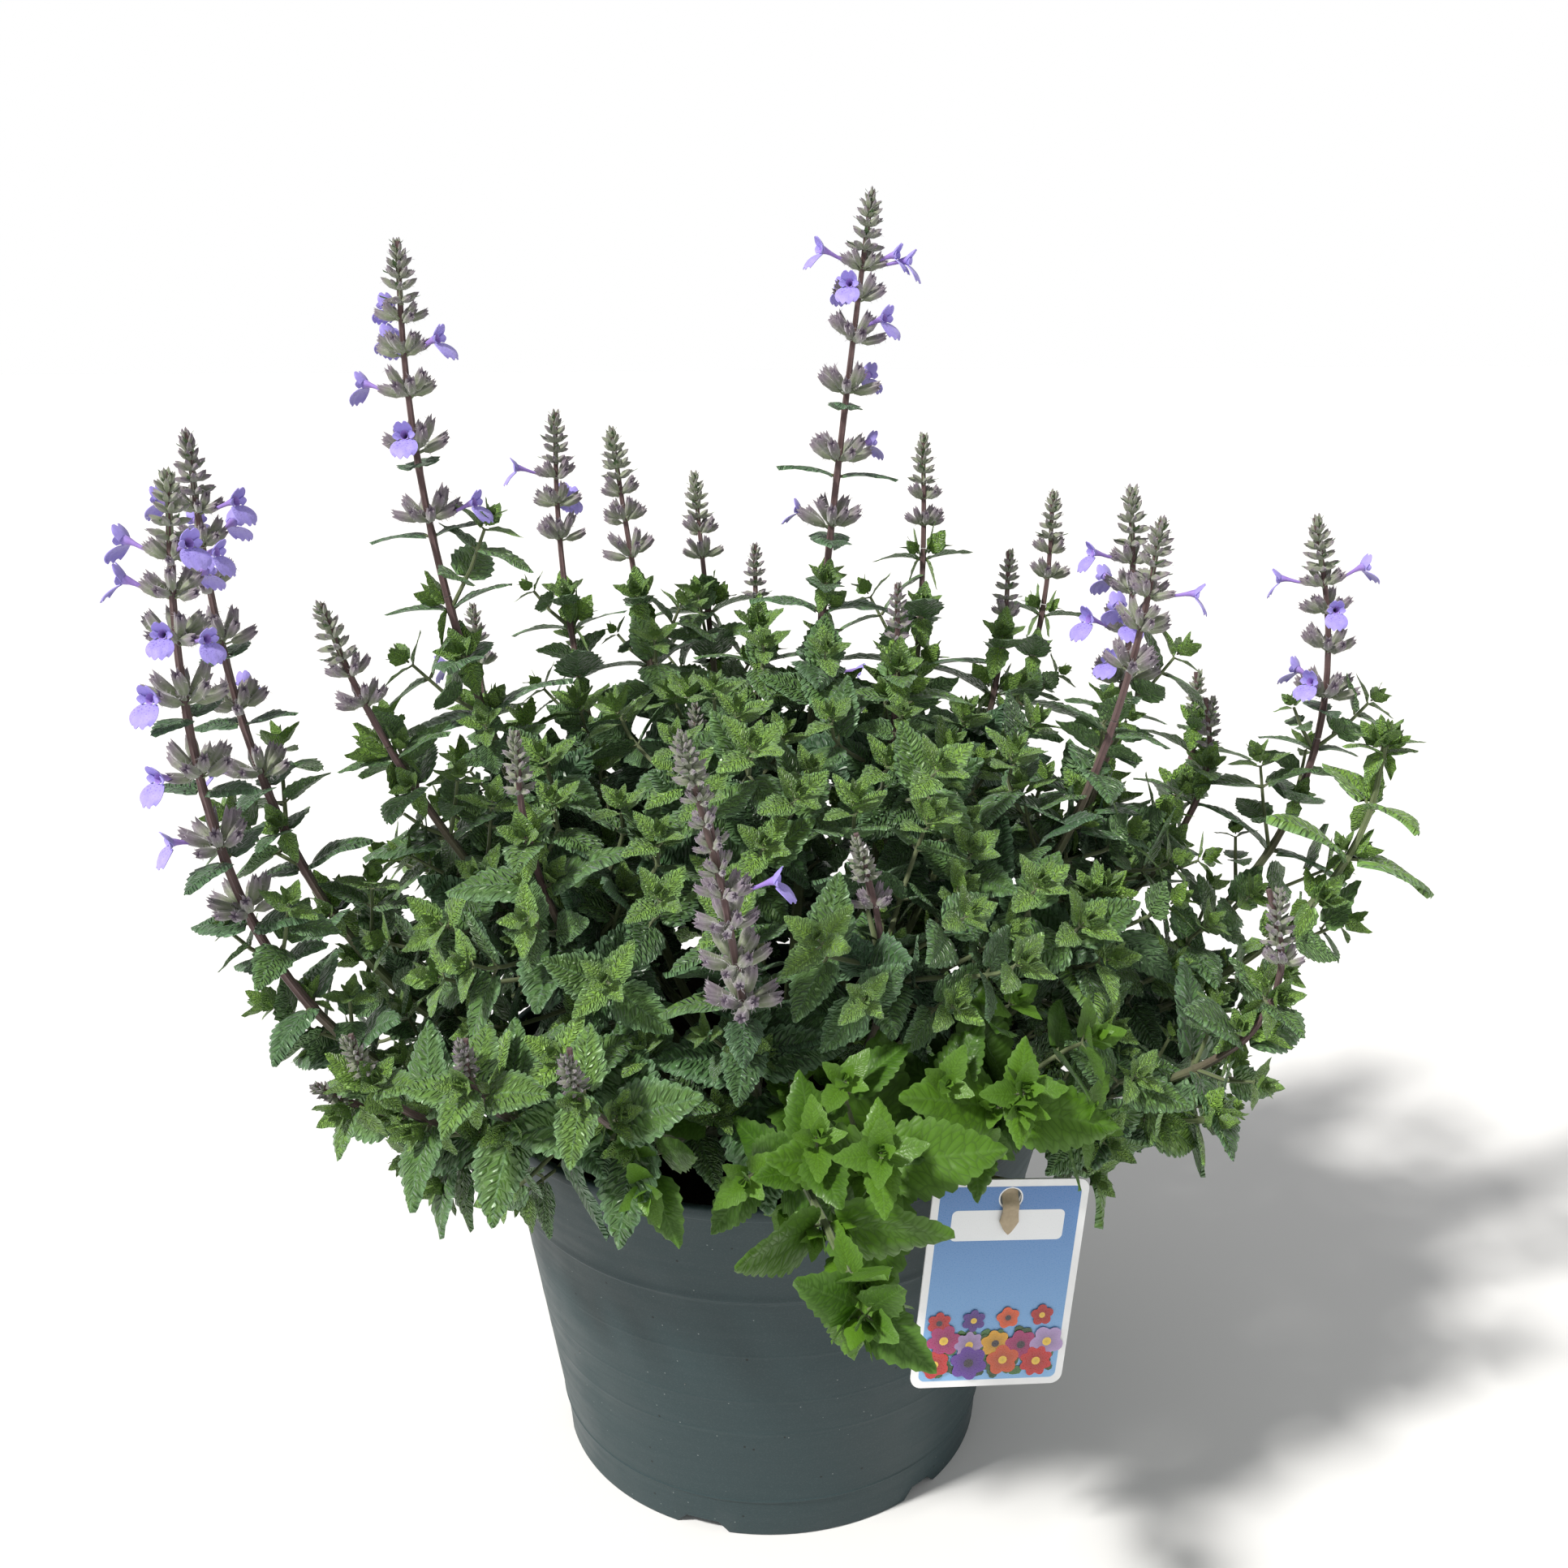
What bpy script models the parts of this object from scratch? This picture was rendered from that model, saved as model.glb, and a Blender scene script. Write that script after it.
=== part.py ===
"""Catmint plant in its nursery pot, with its hanging plant label.

The pot stands on the ground at z = 0 with its axis on Z.  The viewer's side is -Y and +X is to the right.
All sizes are in metres.
"""
import math
import random
from collections import namedtuple

import bmesh
import bpy
from mathutils import Vector
from mathutils.bvhtree import BVHTree

MM = 0.001
FIT = 0.3 * MM

# Pot: a turned shell with a flared collar and a notched foot ring
POT_HEIGHT = 160 * MM
RIM_RADIUS = 115 * MM
RIM_LIP = 3.2 * MM
COLLAR_Z = 115 * MM
COLLAR_RADIUS = 103 * MM
COLLAR_STEP = 1.2 * MM
BASE_LINE_Z = 17 * MM
BASE_LINE_RADIUS = 88.4 * MM
FOOT_RADIUS = 86.8 * MM
FOOT_WIDTH = 5 * MM
FLOOR_Z = 6 * MM
WALL = 1.6 * MM
PAD_RADIUS = 12 * MM
POT_SEGMENTS = 28
FOOT_NOTCHES = 6
NOTCH_WIDTH = 14 * MM
NOTCH_HEIGHT = 4.5 * MM
NOTCH_DEPTH = 9 * MM
NOTCH_TURN = 0.2

# Soil: a filled body with a plain hole for each stem
SOIL_TOP = 147 * MM
SOIL_SEGMENTS = 14
SOIL_LUMP = 2.2 * MM
HOLE_DEPTH = 12 * MM
HOLE_PLAY = 0.5 * MM

# Label: a card that hangs on a strap hooked over the rim
CARD_WIDTH = 55 * MM
CARD_HEIGHT = 80 * MM
CARD_THICK = 0.8 * MM
CARD_CORNER = 4 * MM
CARD_TOP = Vector((0.0818, -0.1142, 0.1709))
CARD_TURN = math.radians(9.5)
CARD_LEAN = math.radians(1.5)
CARD_ROLL = math.radians(-5.5)
CARD_HOLE_DROP = 7 * MM
CARD_HOLE_RADIUS = 3.8 * MM
CARD_HOLE_SIDES = 12
STRAP_WIDTH = 6.0 * MM
STRAP_THICK = 1.0 * MM
STRAP_TONGUE = 13 * MM

# Plant: what every stem, leaf and flower is measured from
STEM_BASE_RADIUS = 2.3 * MM
STEM_TIP_RADIUS = 0.95 * MM
STEM_STRAIGHT = 4 * MM
ROOT_SPACING = 11 * MM
ROOT_ROUNDS = 200
ROOT_SPREAD = 0.33
CROWN_RADIUS = 70 * MM
NODE_SPACING = 27 * MM
FIRST_NODE = 26 * MM
LEAF_PAIRS = 3
NODE_HALF = 1.6 * MM
STEM_SEGMENT = 34 * MM
LEAF_LENGTH = 38 * MM
LEAF_WIDTH_RATIO = 0.60
LEAF_THICK = 1.2 * MM
LEAF_FOLD = 0.22
LEAF_LIFT = 0.42
LEAF_TRIES = 18
STALK_HALF = 0.9 * MM
MIDRIB_STEPS = 8
BROAD_LEAF = 40 * MM
CALYX_LENGTH = 10 * MM
WHORL_POINTS = 5
WHORL_LIFT = 5.5 * MM
FIRST_GAP = 11 * MM
WIDEST_GAP = 25 * MM
GAP_GROWTH = 1.32
BRACT_GAP = 21 * MM
BRACT_BELOW = 5.5 * MM
BRACT_FOLD = 0.18
BRACT_DROOP = 0.35
FLOWER_CHANCE = 0.75
FLOWER_LENGTH = 13 * MM
HEAD_LENGTH = 20 * MM
HEAD_RADIUS = 6.5 * MM
WHORL_BELOW = 2.2 * MM
WHORL_ABOVE = 3.4 * MM
CLEARANCE = 0.4 * MM
BODY_ROW = 9 * MM
SEED = 7

# One row a stem: name, a point half-way up its curve, its tip, the length of its flowering part, the
# number of open flowers, whether its spike has a colour of its own, and the size of its leaves
Stem = namedtuple("Stem", "name middle tip spike flowers coloured leaf")
STEMS = (
    Stem("left_outer", (-0.159, -0.030, 0.230), (-0.192, -0.040, 0.412), 0.140, 3, True, 0.90),
    Stem("left_front", (-0.160, -0.082, 0.226), (-0.178, -0.100, 0.406), 0.165, 4, True, 0.90),
    Stem("left_tall", (-0.108, 0.000, 0.310), (-0.126, 0.000, 0.473), 0.125, 3, True, 1.00),
    Stem("left_inner", (-0.113, -0.040, 0.266), (-0.150, -0.050, 0.356), 0.055, 0, True, 0.95),
    Stem("back_left", (-0.102, 0.060, 0.241), (-0.126, 0.100, 0.326), 0.045, 1, False, 0.90),
    Stem("back_left_inner", (-0.074, 0.070, 0.277), (-0.087, 0.100, 0.407), 0.075, 2, True, 0.95),
    Stem("back_centre_left", (-0.042, 0.060, 0.273), (-0.063, 0.090, 0.401), 0.068, 0, True, 0.95),
    Stem("back_centre", (-0.019, 0.080, 0.267), (-0.031, 0.130, 0.378), 0.050, 0, True, 0.95),
    Stem("centre_back", (-0.003, 0.030, 0.254), (-0.004, 0.050, 0.359), 0.032, 0, False, 0.95),
    Stem("tall", (0.019, 0.020, 0.307), (0.040, 0.030, 0.490), 0.140, 4, True, 1.00),
    Stem("back_right_inner", (0.058, 0.070, 0.258), (0.068, 0.110, 0.396), 0.048, 0, True, 0.95),
    Stem("centre_right", (0.042, -0.010, 0.254), (0.048, -0.010, 0.354), 0.030, 0, False, 1.00),
    Stem("right_inner", (0.083, 0.050, 0.253), (0.102, 0.080, 0.351), 0.036, 0, False, 0.95),
    Stem("back_right", (0.107, 0.100, 0.260), (0.128, 0.130, 0.369), 0.050, 0, True, 0.90),
    Stem("right_tall", (0.119, -0.006, 0.256), (0.134, 0.004, 0.386), 0.080, 3, True, 0.95),
    Stem("right_tall_front", (0.104, -0.036, 0.254), (0.137, -0.034, 0.380), 0.072, 2, True, 0.95),
    Stem("right_outer", (0.200, 0.022, 0.232), (0.212, 0.030, 0.371), 0.088, 3, True, 0.90),
    Stem("right_back", (0.159, 0.060, 0.220), (0.187, 0.090, 0.296), 0.020, 0, False, 0.90),
    Stem("right_middle", (0.155, 0.022, 0.228), (0.175, 0.030, 0.300), 0.026, 0, False, 0.90),
    Stem("right_leafy", (0.185, -0.024, 0.212), (0.227, -0.024, 0.295), 0.000, 0, False, 1.05),
    Stem("centre", (-0.019, -0.020, 0.232), (-0.026, -0.020, 0.312), 0.035, 0, False, 1.00),
    Stem("front_spike", (-0.007, -0.128, 0.236), (-0.017, -0.150, 0.314), 0.088, 1, True, 1.00),
    Stem("front_right_spike", (0.037, -0.090, 0.218), (0.028, -0.110, 0.293), 0.045, 0, True, 1.00),
    Stem("front_left_spike", (-0.068, -0.080, 0.244), (-0.080, -0.090, 0.322), 0.034, 0, True, 1.00),
    Stem("right_low_spike", (0.155, -0.080, 0.196), (0.167, -0.090, 0.265), 0.038, 0, True, 1.00),
    Stem("left_low_bud", (-0.105, -0.110, 0.190), (-0.131, -0.130, 0.235), 0.016, 0, False, 0.95),
    Stem("front_left_bud", (-0.078, -0.128, 0.201), (-0.091, -0.150, 0.243), 0.012, 0, False, 0.95),
    Stem("front_bud", (-0.048, -0.140, 0.207), (-0.058, -0.165, 0.247), 0.016, 0, False, 0.95),
    Stem("left_rim_bud", (-0.112, -0.086, 0.180), (-0.149, -0.112, 0.208), 0.012, 0, False, 0.95),
    Stem("front_bright", (0.030, -0.128, 0.187), (0.033, -0.166, 0.211), 0.000, 0, False, 1.15),
    Stem("front_hanging", (0.012, -0.144, 0.186), (0.028, -0.188, 0.172), 0.000, 0, False, 1.00),
    Stem("label_side", (0.066, -0.106, 0.191), (0.078, -0.142, 0.218), 0.000, 0, False, 1.15),
    Stem("right_rim", (0.107, -0.074, 0.172), (0.150, -0.096, 0.182), 0.000, 0, False, 1.00),
    Stem("right_front", (0.088, -0.052, 0.202), (0.116, -0.062, 0.252), 0.000, 0, False, 1.00),
    Stem("rear", (0.020, 0.110, 0.235), (0.030, 0.175, 0.300), 0.040, 1, False, 1.00),
    Stem("rear_left", (-0.085, 0.105, 0.205), (-0.120, 0.160, 0.255), 0.020, 0, False, 1.00),
    Stem("rear_right", (0.078, 0.098, 0.205), (0.125, 0.152, 0.250), 0.016, 0, False, 1.00),
    Stem("rear_low", (-0.025, 0.115, 0.192), (-0.045, 0.168, 0.208), 0.000, 0, False, 1.05),
)

Leaf = namedtuple("Leaf", "base heading up length droop fold at face")
Whorl = namedtuple("Whorl", "base axis side radius lift points at turn")
Head = namedtuple("Head", "base axis side length radius at turn")
Flower = namedtuple("Flower", "base heading up length")
Stretch = namedtuple("Stretch", "points radii side start end")


def clear_scene():
    for item in list(bpy.data.objects):
        bpy.data.objects.remove(item, do_unlink=True)


def material(name, colour, roughness):
    """A plain Principled material of the part's colour."""
    made = bpy.data.materials.new(name)
    made.use_nodes = True
    shader = made.node_tree.nodes["Principled BSDF"]
    shader.inputs["Base Color"].default_value = (*colour, 1.0)
    shader.inputs["Roughness"].default_value = roughness
    shader.inputs["Metallic"].default_value = 0.0
    made.diffuse_color = (*colour, 1.0)
    return made


def add_object(name, verts, faces, surface):
    """An object from points and faces, with the faces turned outward."""
    mesh = bpy.data.meshes.new(name)
    mesh.from_pydata([tuple(v) for v in verts], [], faces)
    shape = bmesh.new()
    shape.from_mesh(mesh)
    bmesh.ops.recalc_face_normals(shape, faces=shape.faces)
    shape.to_mesh(mesh)
    shape.free()
    mesh.materials.append(surface)
    made = bpy.data.objects.new(name, mesh)
    bpy.context.scene.collection.objects.link(made)
    return made


# The curve of a stem

def root_places():
    """Where each stem leaves the soil: below its own lean, and no nearer another than ROOT_SPACING."""
    places = []
    for stem in STEMS:
        lean = Vector(stem.middle[:2])
        places.append(lean * min(ROOT_SPREAD, CROWN_RADIUS / max(lean.length, MM)))
    for _ in range(ROOT_ROUNDS):
        for i, one in enumerate(places):
            for other in places[:i]:
                apart = one - other
                short = ROOT_SPACING - apart.length
                if short > 0:
                    push = apart.normalized() * short * 0.5
                    one += push
                    other -= push
            if one.length > CROWN_RADIUS:
                one *= CROWN_RADIUS / one.length
    return places


def stem_path(stem, root):
    """Points up a stem: straight out of its hole, then one bend through its middle to its tip."""
    start = Vector((root.x, root.y, SOIL_TOP + STEM_STRAIGHT))
    middle = Vector(stem.middle)
    tip = Vector(stem.tip)
    pull = middle * 2 - (start + tip) * 0.5
    steps = max(3, round(((middle - start).length + (tip - middle).length) / STEM_SEGMENT))
    path = [Vector((root.x, root.y, SOIL_TOP - HOLE_DEPTH + FIT))]
    for i in range(steps + 1):
        t = i / steps
        path.append(start * (1 - t) ** 2 + pull * 2 * t * (1 - t) + tip * t * t)
    return path


class Route:
    """Arc length, position, direction and a side vector along a stem's path."""

    def __init__(self, path):
        self.path = path
        self.lengths = [0.0]
        for a, b in zip(path, path[1:]):
            self.lengths.append(self.lengths[-1] + (b - a).length)
        self.total = self.lengths[-1]
        side = Vector((1, 0, 0))
        self.sides = []
        for i in range(len(path)):
            along = self.direction(i)
            side = (side - along * side.dot(along)).normalized()
            self.sides.append(side.copy())

    def direction(self, i):
        low = max(i - 1, 0)
        high = min(i + 1, len(self.path) - 1)
        return (self.path[high] - self.path[low]).normalized()

    def at(self, s):
        """Position, direction and side at the arc length s."""
        s = min(max(s, 0.0), self.total)
        i = 0
        while i < len(self.lengths) - 2 and self.lengths[i + 1] < s:
            i += 1
        part = (s - self.lengths[i]) / (self.lengths[i + 1] - self.lengths[i])
        where = self.path[i].lerp(self.path[i + 1], part)
        along = self.direction(i).lerp(self.direction(i + 1), part).normalized()
        side = self.sides[i].lerp(self.sides[i + 1], part)
        side = (side - along * side.dot(along)).normalized()
        return where, along, side

    def radius(self, s):
        """Half the diagonal of the square stem."""
        return 1.2 * (STEM_BASE_RADIUS + (STEM_TIP_RADIUS - STEM_BASE_RADIUS) * s / self.total)


# Meshes of the plant's organs: each returns its points and faces; pad grows it for a clearance test

def tube_mesh(stretch, pad=0.0, sides=4):
    """A square stem along its points, closed at both ends."""
    verts = []
    faces = []
    last = len(stretch.points) - 1
    for i, point in enumerate(stretch.points):
        low = stretch.points[max(i - 1, 0)]
        high = stretch.points[min(i + 1, last)]
        along = (high - low).normalized()
        side = (stretch.side - along * stretch.side.dot(along)).normalized()
        other = along.cross(side)
        for k in range(sides):
            turn = 2 * math.pi * (k + 0.5) / sides
            reach = stretch.radii[i] + pad
            verts.append(point + (side * math.cos(turn) + other * math.sin(turn)) * reach)
    for i in range(last):
        for k in range(sides):
            a = i * sides + k
            b = i * sides + (k + 1) % sides
            faces.append((a, b, b + sides, a + sides))
    faces.append(tuple(reversed(range(sides))))
    faces.append(tuple(last * sides + k for k in range(sides)))
    return verts, faces


def leaf_axis(leaf, steps):
    """Points, directions and upper-face normals along a leaf's midrib, which droops under its weight."""
    heading = leaf.heading.normalized()
    across = heading.cross(leaf.up).normalized()
    where = leaf.base.copy()
    rows = []
    for i in range(steps + 1):
        rows.append((where.copy(), heading.copy(), across.cross(heading).normalized()))
        heading = (heading - Vector((0, 0, leaf.droop / steps))).normalized()
        heading = (heading - across * heading.dot(across)).normalized()
        where += heading * leaf.length / steps
    return rows, across


def leaf_at(rows, part):
    """Position and normal at a part of the way along the midrib."""
    place = part * (len(rows) - 1)
    i = min(int(place), len(rows) - 2)
    step = place - i
    return rows[i][0].lerp(rows[i + 1][0], step), rows[i][2].lerp(rows[i + 1][2], step).normalized()


# Half outline of a leaf, root to tip: part of the way along it, and half width as a part of the widest
BROAD_OUTLINE = ((0.15, 0.80), (0.35, 1.04), (0.42, 0.86), (0.60, 0.88), (0.67, 0.64), (0.86, 0.40))
SMALL_OUTLINE = ((0.17, 0.82), (0.44, 1.00), (0.50, 0.80), (0.76, 0.58))
STALK_AT = 0.11
RIB_AT = 0.42


def leaf_points(leaf, pad=0.0):
    """The outline and midrib points of a leaf, from its stalk to its tip: right, left, top and bottom."""
    rows, across = leaf_axis(leaf, MIDRIB_STEPS)
    outline = BROAD_OUTLINE if leaf.length > BROAD_LEAF else SMALL_OUTLINE
    half = leaf.length * LEAF_WIDTH_RATIO * 0.5 + pad
    thick = LEAF_THICK * 0.5 + pad
    sides = []
    for sign in (1, -1):
        where, normal = leaf_at(rows, STALK_AT)
        edge = [(STALK_AT, where + across * sign * (STALK_HALF + pad))]
        for part, wide in outline:
            where, normal = leaf_at(rows, part)
            edge.append((part, where + (across * sign + normal * leaf.fold) * half * wide))
        sides.append(edge)
    for sign in (1, -1):
        rib = []
        for part in (STALK_AT, RIB_AT):
            where, normal = leaf_at(rows, part)
            rib.append((part, where + normal * sign * thick))
        sides.append(rib)
    tip = rows[-1][0] + (rows[-1][0] - rows[-2][0]).normalized() * pad
    return sides, tip


def blade_faces(verts, sides, tip):
    """Add a leaf's points to verts; return its faces and the numbers of its stalk's four points."""
    tip_number = len(verts)
    verts.append(tip)
    numbered = []
    for row in sides:
        numbers = []
        for part, point in row:
            numbers.append((part, len(verts)))
            verts.append(point)
        numbered.append(numbers + [(1.0, tip_number)])
    right, left, upper, lower = numbered
    faces = []
    for rib in (upper, lower):
        for edge in (right, left):
            faces += strip(edge, rib)
    return faces, [row[0][1] for row in numbered]


def strip(one, two):
    """Triangles between two rows of numbered points, each with its place along the strip."""
    made = []
    i = 0
    j = 0
    while i < len(one) - 1 or j < len(two) - 1:
        one_next = one[i + 1][0] if i < len(one) - 1 else math.inf
        two_next = two[j + 1][0] if j < len(two) - 1 else math.inf
        if one_next <= two_next:
            face = (one[i][1], one[i + 1][1], two[j][1])
            i += 1
        else:
            face = (one[i][1], two[j + 1][1], two[j][1])
            j += 1
        if len(set(face)) == 3:
            made.append(face)
    return made


def leaf_mesh(leaf, pad=0.0):
    """A leaf by itself, run back to the middle of its stem."""
    sides, tip = leaf_points(leaf, pad)
    verts = [leaf.base]
    faces, (right, left, top, bottom) = blade_faces(verts, sides, tip)
    faces += [(0, right, top), (0, top, left), (0, left, bottom), (0, bottom, right)]
    return verts, faces


def star_ring(whorl, pad=0.0):
    """The outline of a whorl: two opposite bunches of calyxes, as points with valleys between them."""
    other = whorl.axis.cross(whorl.side)
    ring = []
    for k in range(whorl.points * 2):
        turn = math.pi * k / whorl.points
        facing = abs(math.cos(turn))
        if k % 2:
            reach = (0.14 + 0.14 * facing) * whorl.radius + 2.0 * MM + pad
            rise = 0.0
        else:
            reach = (0.62 + 0.38 * facing) * whorl.radius + pad
            rise = whorl.lift * (0.55 + 0.45 * math.cos(2.4 * k))
        spoke = whorl.side * math.cos(turn) + other * math.sin(turn)
        ring.append((whorl.turn + turn, whorl.base + spoke * reach + whorl.axis * rise))
    return ring


def whorl_mesh(whorl, pad=0.0):
    """A whorl by itself, for clearance tests."""
    verts = [whorl.base - whorl.axis * (WHORL_BELOW + pad), whorl.base + whorl.axis * (WHORL_ABOVE + pad)]
    verts += [point for _, point in star_ring(whorl, pad)]
    count = len(verts) - 2
    faces = []
    for k in range(count):
        a = 2 + k
        b = 2 + (k + 1) % count
        faces.append((a, b, 1))
        faces.append((b, a, 0))
    return verts, faces


# Rings of a head of buds: part of the way up it, part of its width, number of buds
HEAD_RINGS = ((0.16, 0.95, 4), (0.46, 1.0, 3), (0.76, 0.72, 3))


def head_rings(head, pad=0.0):
    """The close head of buds at a tip: rings whose points stand out, each ring turned half a point."""
    other = head.axis.cross(head.side)
    rings = []
    for i, (part, wide, points) in enumerate(HEAD_RINGS):
        ring = []
        for k in range(points * 2):
            turn = math.pi * (k + (i % 2)) / points
            reach = head.radius * wide * (0.62 if k % 2 else 1.0) + pad
            jut = 0.0 if k % 2 else 0.13 * head.length
            spoke = head.side * math.cos(turn) + other * math.sin(turn)
            rise = head.axis * (head.length * part + jut)
            ring.append((head.turn + turn, head.base + rise + spoke * reach))
        rings.append(ring)
    return rings, head.base + head.axis * (head.length + pad)


def head_mesh(head, pad=0.0):
    """A head of buds by itself, for clearance tests."""
    rings, tip = head_rings(head, pad)
    verts = [head.base, tip]
    faces = []
    rows = [numbered_ring(verts, ring) for ring in rings]
    faces += fan(rows[0], 0) + fan(rows[-1], 1)
    for low, high in zip(rows, rows[1:]):
        faces += sleeve(low, high)
    return verts, faces


def numbered_ring(verts, ring):
    """Add a ring of (angle, point) to verts; return its (angle, number) in order round the axis."""
    row = []
    for angle, point in ring:
        row.append((angle % (2 * math.pi), len(verts)))
        verts.append(point)
    return sorted(row)


def fan(row, centre):
    return [(row[k][1], row[(k + 1) % len(row)][1], centre) for k in range(len(row))]


def sleeve(low, high):
    """Triangles between two rings with any numbers of points, matched by angle."""
    full = 2 * math.pi
    start = min(range(len(high)), key=lambda k: abs((high[k][0] - low[0][0] + math.pi) % full - math.pi))
    shift = high[start][0] - low[0][0]
    lap = full * round(shift / full)
    turned = []
    for k in range(len(high) + 1):
        number = start + k
        angle = high[number % len(high)][0] + full * (number // len(high)) - lap
        turned.append((angle, high[number % len(high)][1]))
    closed = low + [(low[0][0] + full, low[0][1])]
    return strip(closed, turned)


# An open flower's points as parts of its length: ahead, aside and above; first its root, then its throat,
# its hood and the two corners of its lower lip
FLOWER_POINTS = (
    (0.0, 0.0, 0.0), (0.66, 0.0, 0.14), (0.66, 0.12, 0.0), (0.62, 0.0, -0.12), (0.66, -0.12, 0.0),
    (0.86, 0.0, 0.25), (0.98, 0.19, -0.25), (0.98, -0.19, -0.25),
)
FLOWER_FACES = (
    (0, 1, 2), (0, 2, 3), (0, 3, 4), (0, 4, 1), (1, 2, 5), (4, 1, 5), (2, 3, 6), (3, 4, 7), (3, 6, 7),
    (5, 2, 4), (2, 4, 6), (4, 6, 7),
)


def flower_mesh(flower, pad=0.0):
    """An open flower: a tube that widens to a hooded upper lip and a broad lower lip."""
    along = flower.heading.normalized()
    across = along.cross(flower.up).normalized()
    rise = across.cross(along)
    size = flower.length
    verts = []
    for ahead, aside, above in FLOWER_POINTS:
        outward = (along * ahead + across * aside + rise * above).normalized() * pad
        verts.append(flower.base + (along * ahead + across * aside + rise * above) * size + outward)
    return verts, list(FLOWER_FACES)


MAKERS = {
    "Leaf": leaf_mesh,
    "Whorl": whorl_mesh,
    "Head": head_mesh,
    "Flower": flower_mesh,
    "Stretch": tube_mesh,
}


def organ_mesh(organ, pad=0.0):
    return MAKERS[type(organ).__name__](organ, pad)


# What the foliage is kept clear of: each other node's organs, the pot and the label

class Thicket:
    """The organs placed so far, by node, for overlap tests with a small clearance."""

    def __init__(self):
        self.items = []

    def tree(self, organ):
        verts, faces = organ_mesh(organ, CLEARANCE)
        return self.boxed(verts, faces)

    def boxed(self, verts, faces):
        low = Vector([min(v[i] for v in verts) for i in range(3)])
        high = Vector([max(v[i] for v in verts) for i in range(3)])
        return BVHTree.FromPolygons(verts, faces), low, high

    def add_mesh(self, node, verts, faces):
        self.items.append((node, None, self.boxed([Vector(v) for v in verts], faces)))

    def add(self, node, organ):
        self.items.append((node, organ, self.tree(organ)))

    def hits(self, organ, node, mates=()):
        """The names of the nodes that an organ would cross; mates are organs it may touch."""
        tree, low, high = self.tree(organ)
        found = []
        for other_node, other, (other_tree, other_low, other_high) in self.items:
            if other is not None and any(other is mate for mate in mates):
                continue
            if other_node == node and isinstance(other, Stretch):
                continue
            if any(low[i] > other_high[i] or high[i] < other_low[i] for i in range(3)):
                continue
            if tree.overlap(other_tree):
                found.append(other_node)
        return found


def turned_wall(profile, segments=28):
    """A plain round wall used only for clearance tests."""
    verts = []
    faces = []
    for radius, z in profile:
        for k in range(segments):
            turn = 2 * math.pi * k / segments
            verts.append((radius * math.cos(turn), radius * math.sin(turn), z))
    for i in range(len(profile) - 1):
        for k in range(segments):
            n = (k + 1) % segments
            a = i * segments
            faces.append((a + k, a + n, a + segments + n, a + segments + k))
    return verts, faces


def card_axes():
    """The label card's own right, up and outward directions, as it hangs."""
    out = Vector((math.sin(CARD_TURN), -math.cos(CARD_TURN), math.sin(CARD_LEAN))).normalized()
    right = Vector((0, 0, 1)).cross(out).normalized()
    up = out.cross(right)
    right, up = (right * math.cos(CARD_ROLL) + up * math.sin(CARD_ROLL),
                 up * math.cos(CARD_ROLL) - right * math.sin(CARD_ROLL))
    return right, up, out


def card_keepout():
    """A box round the label card and its strap, used only for clearance tests."""
    right, up, out = card_axes()
    verts = []
    for sideways in (-CARD_WIDTH * 0.5 - MM, CARD_WIDTH * 0.5 + MM):
        for rise in (-CARD_HEIGHT - MM, MM):
            for depth in (-2 * MM, 2.5 * MM):
                verts.append(CARD_TOP + right * sideways + up * rise + out * depth)
    faces = [(0, 1, 3, 2), (4, 6, 7, 5), (0, 4, 5, 1), (2, 3, 7, 6), (0, 2, 6, 4), (1, 5, 7, 3)]
    return verts, faces


# Where the organs go on each stem

def spike_organs(stem, route, draw):
    """The flowering part: whorls that close up into a head of buds, bracts and open flowers."""
    organs = []
    if not stem.spike:
        return organs
    head_length = min(HEAD_LENGTH, 0.55 * stem.spike + 5 * MM)
    thin = 0.62 + 0.38 * min(stem.spike / 0.06, 1.0)
    top = route.total - head_length
    where, along, side = route.at(top)
    organs.append(Head(where, along, side, head_length + 2 * MM, HEAD_RADIUS * thin, top, 0.0))
    start = route.total - stem.spike + 7 * MM
    s = top - 7 * MM
    gap = FIRST_GAP
    rank = 0
    flowers_left = stem.flowers
    while s > start:
        where, along, side = route.at(s)
        angle = math.pi * 0.5 * (rank % 2)
        spoke = side * math.cos(angle) + along.cross(side) * math.sin(angle)
        size = CALYX_LENGTH * (0.95 + 0.14 * min(rank, 3)) * thin
        organs.append(Whorl(where, along, spoke, size, WHORL_LIFT, WHORL_POINTS, s, angle))
        for sign in (1, -1):
            if flowers_left and draw.random() < FLOWER_CHANCE:
                flowers_left -= 1
                swing = draw.uniform(-0.5, 0.5)
                reach = spoke * sign * math.cos(swing) + along.cross(spoke) * math.sin(swing)
                heading = (reach + Vector((0, 0, 0.12))).normalized()
                organs.append(Flower(where + along * MM, heading, Vector((0, 0, 1)), size + FLOWER_LENGTH))
            if gap > BRACT_GAP:
                at = s - BRACT_BELOW
                base, bract_up, bract_side = route.at(at)
                face = (2 * (rank % 2) + (0 if sign > 0 else 2) - (rank % 2)) % 4
                facing = bract_side * math.cos(face * math.pi / 2) \
                    + bract_up.cross(bract_side) * math.sin(face * math.pi / 2)
                length = LEAF_LENGTH * (0.34 + 0.07 * rank) * stem.leaf
                heading = (facing + bract_up * 0.25).normalized()
                organs.append(Leaf(base, heading, bract_up, length, BRACT_DROOP, BRACT_FOLD, at, face))
        s -= gap
        gap = min(gap * GAP_GROWTH, WIDEST_GAP)
        rank += 1
    return organs


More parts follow.
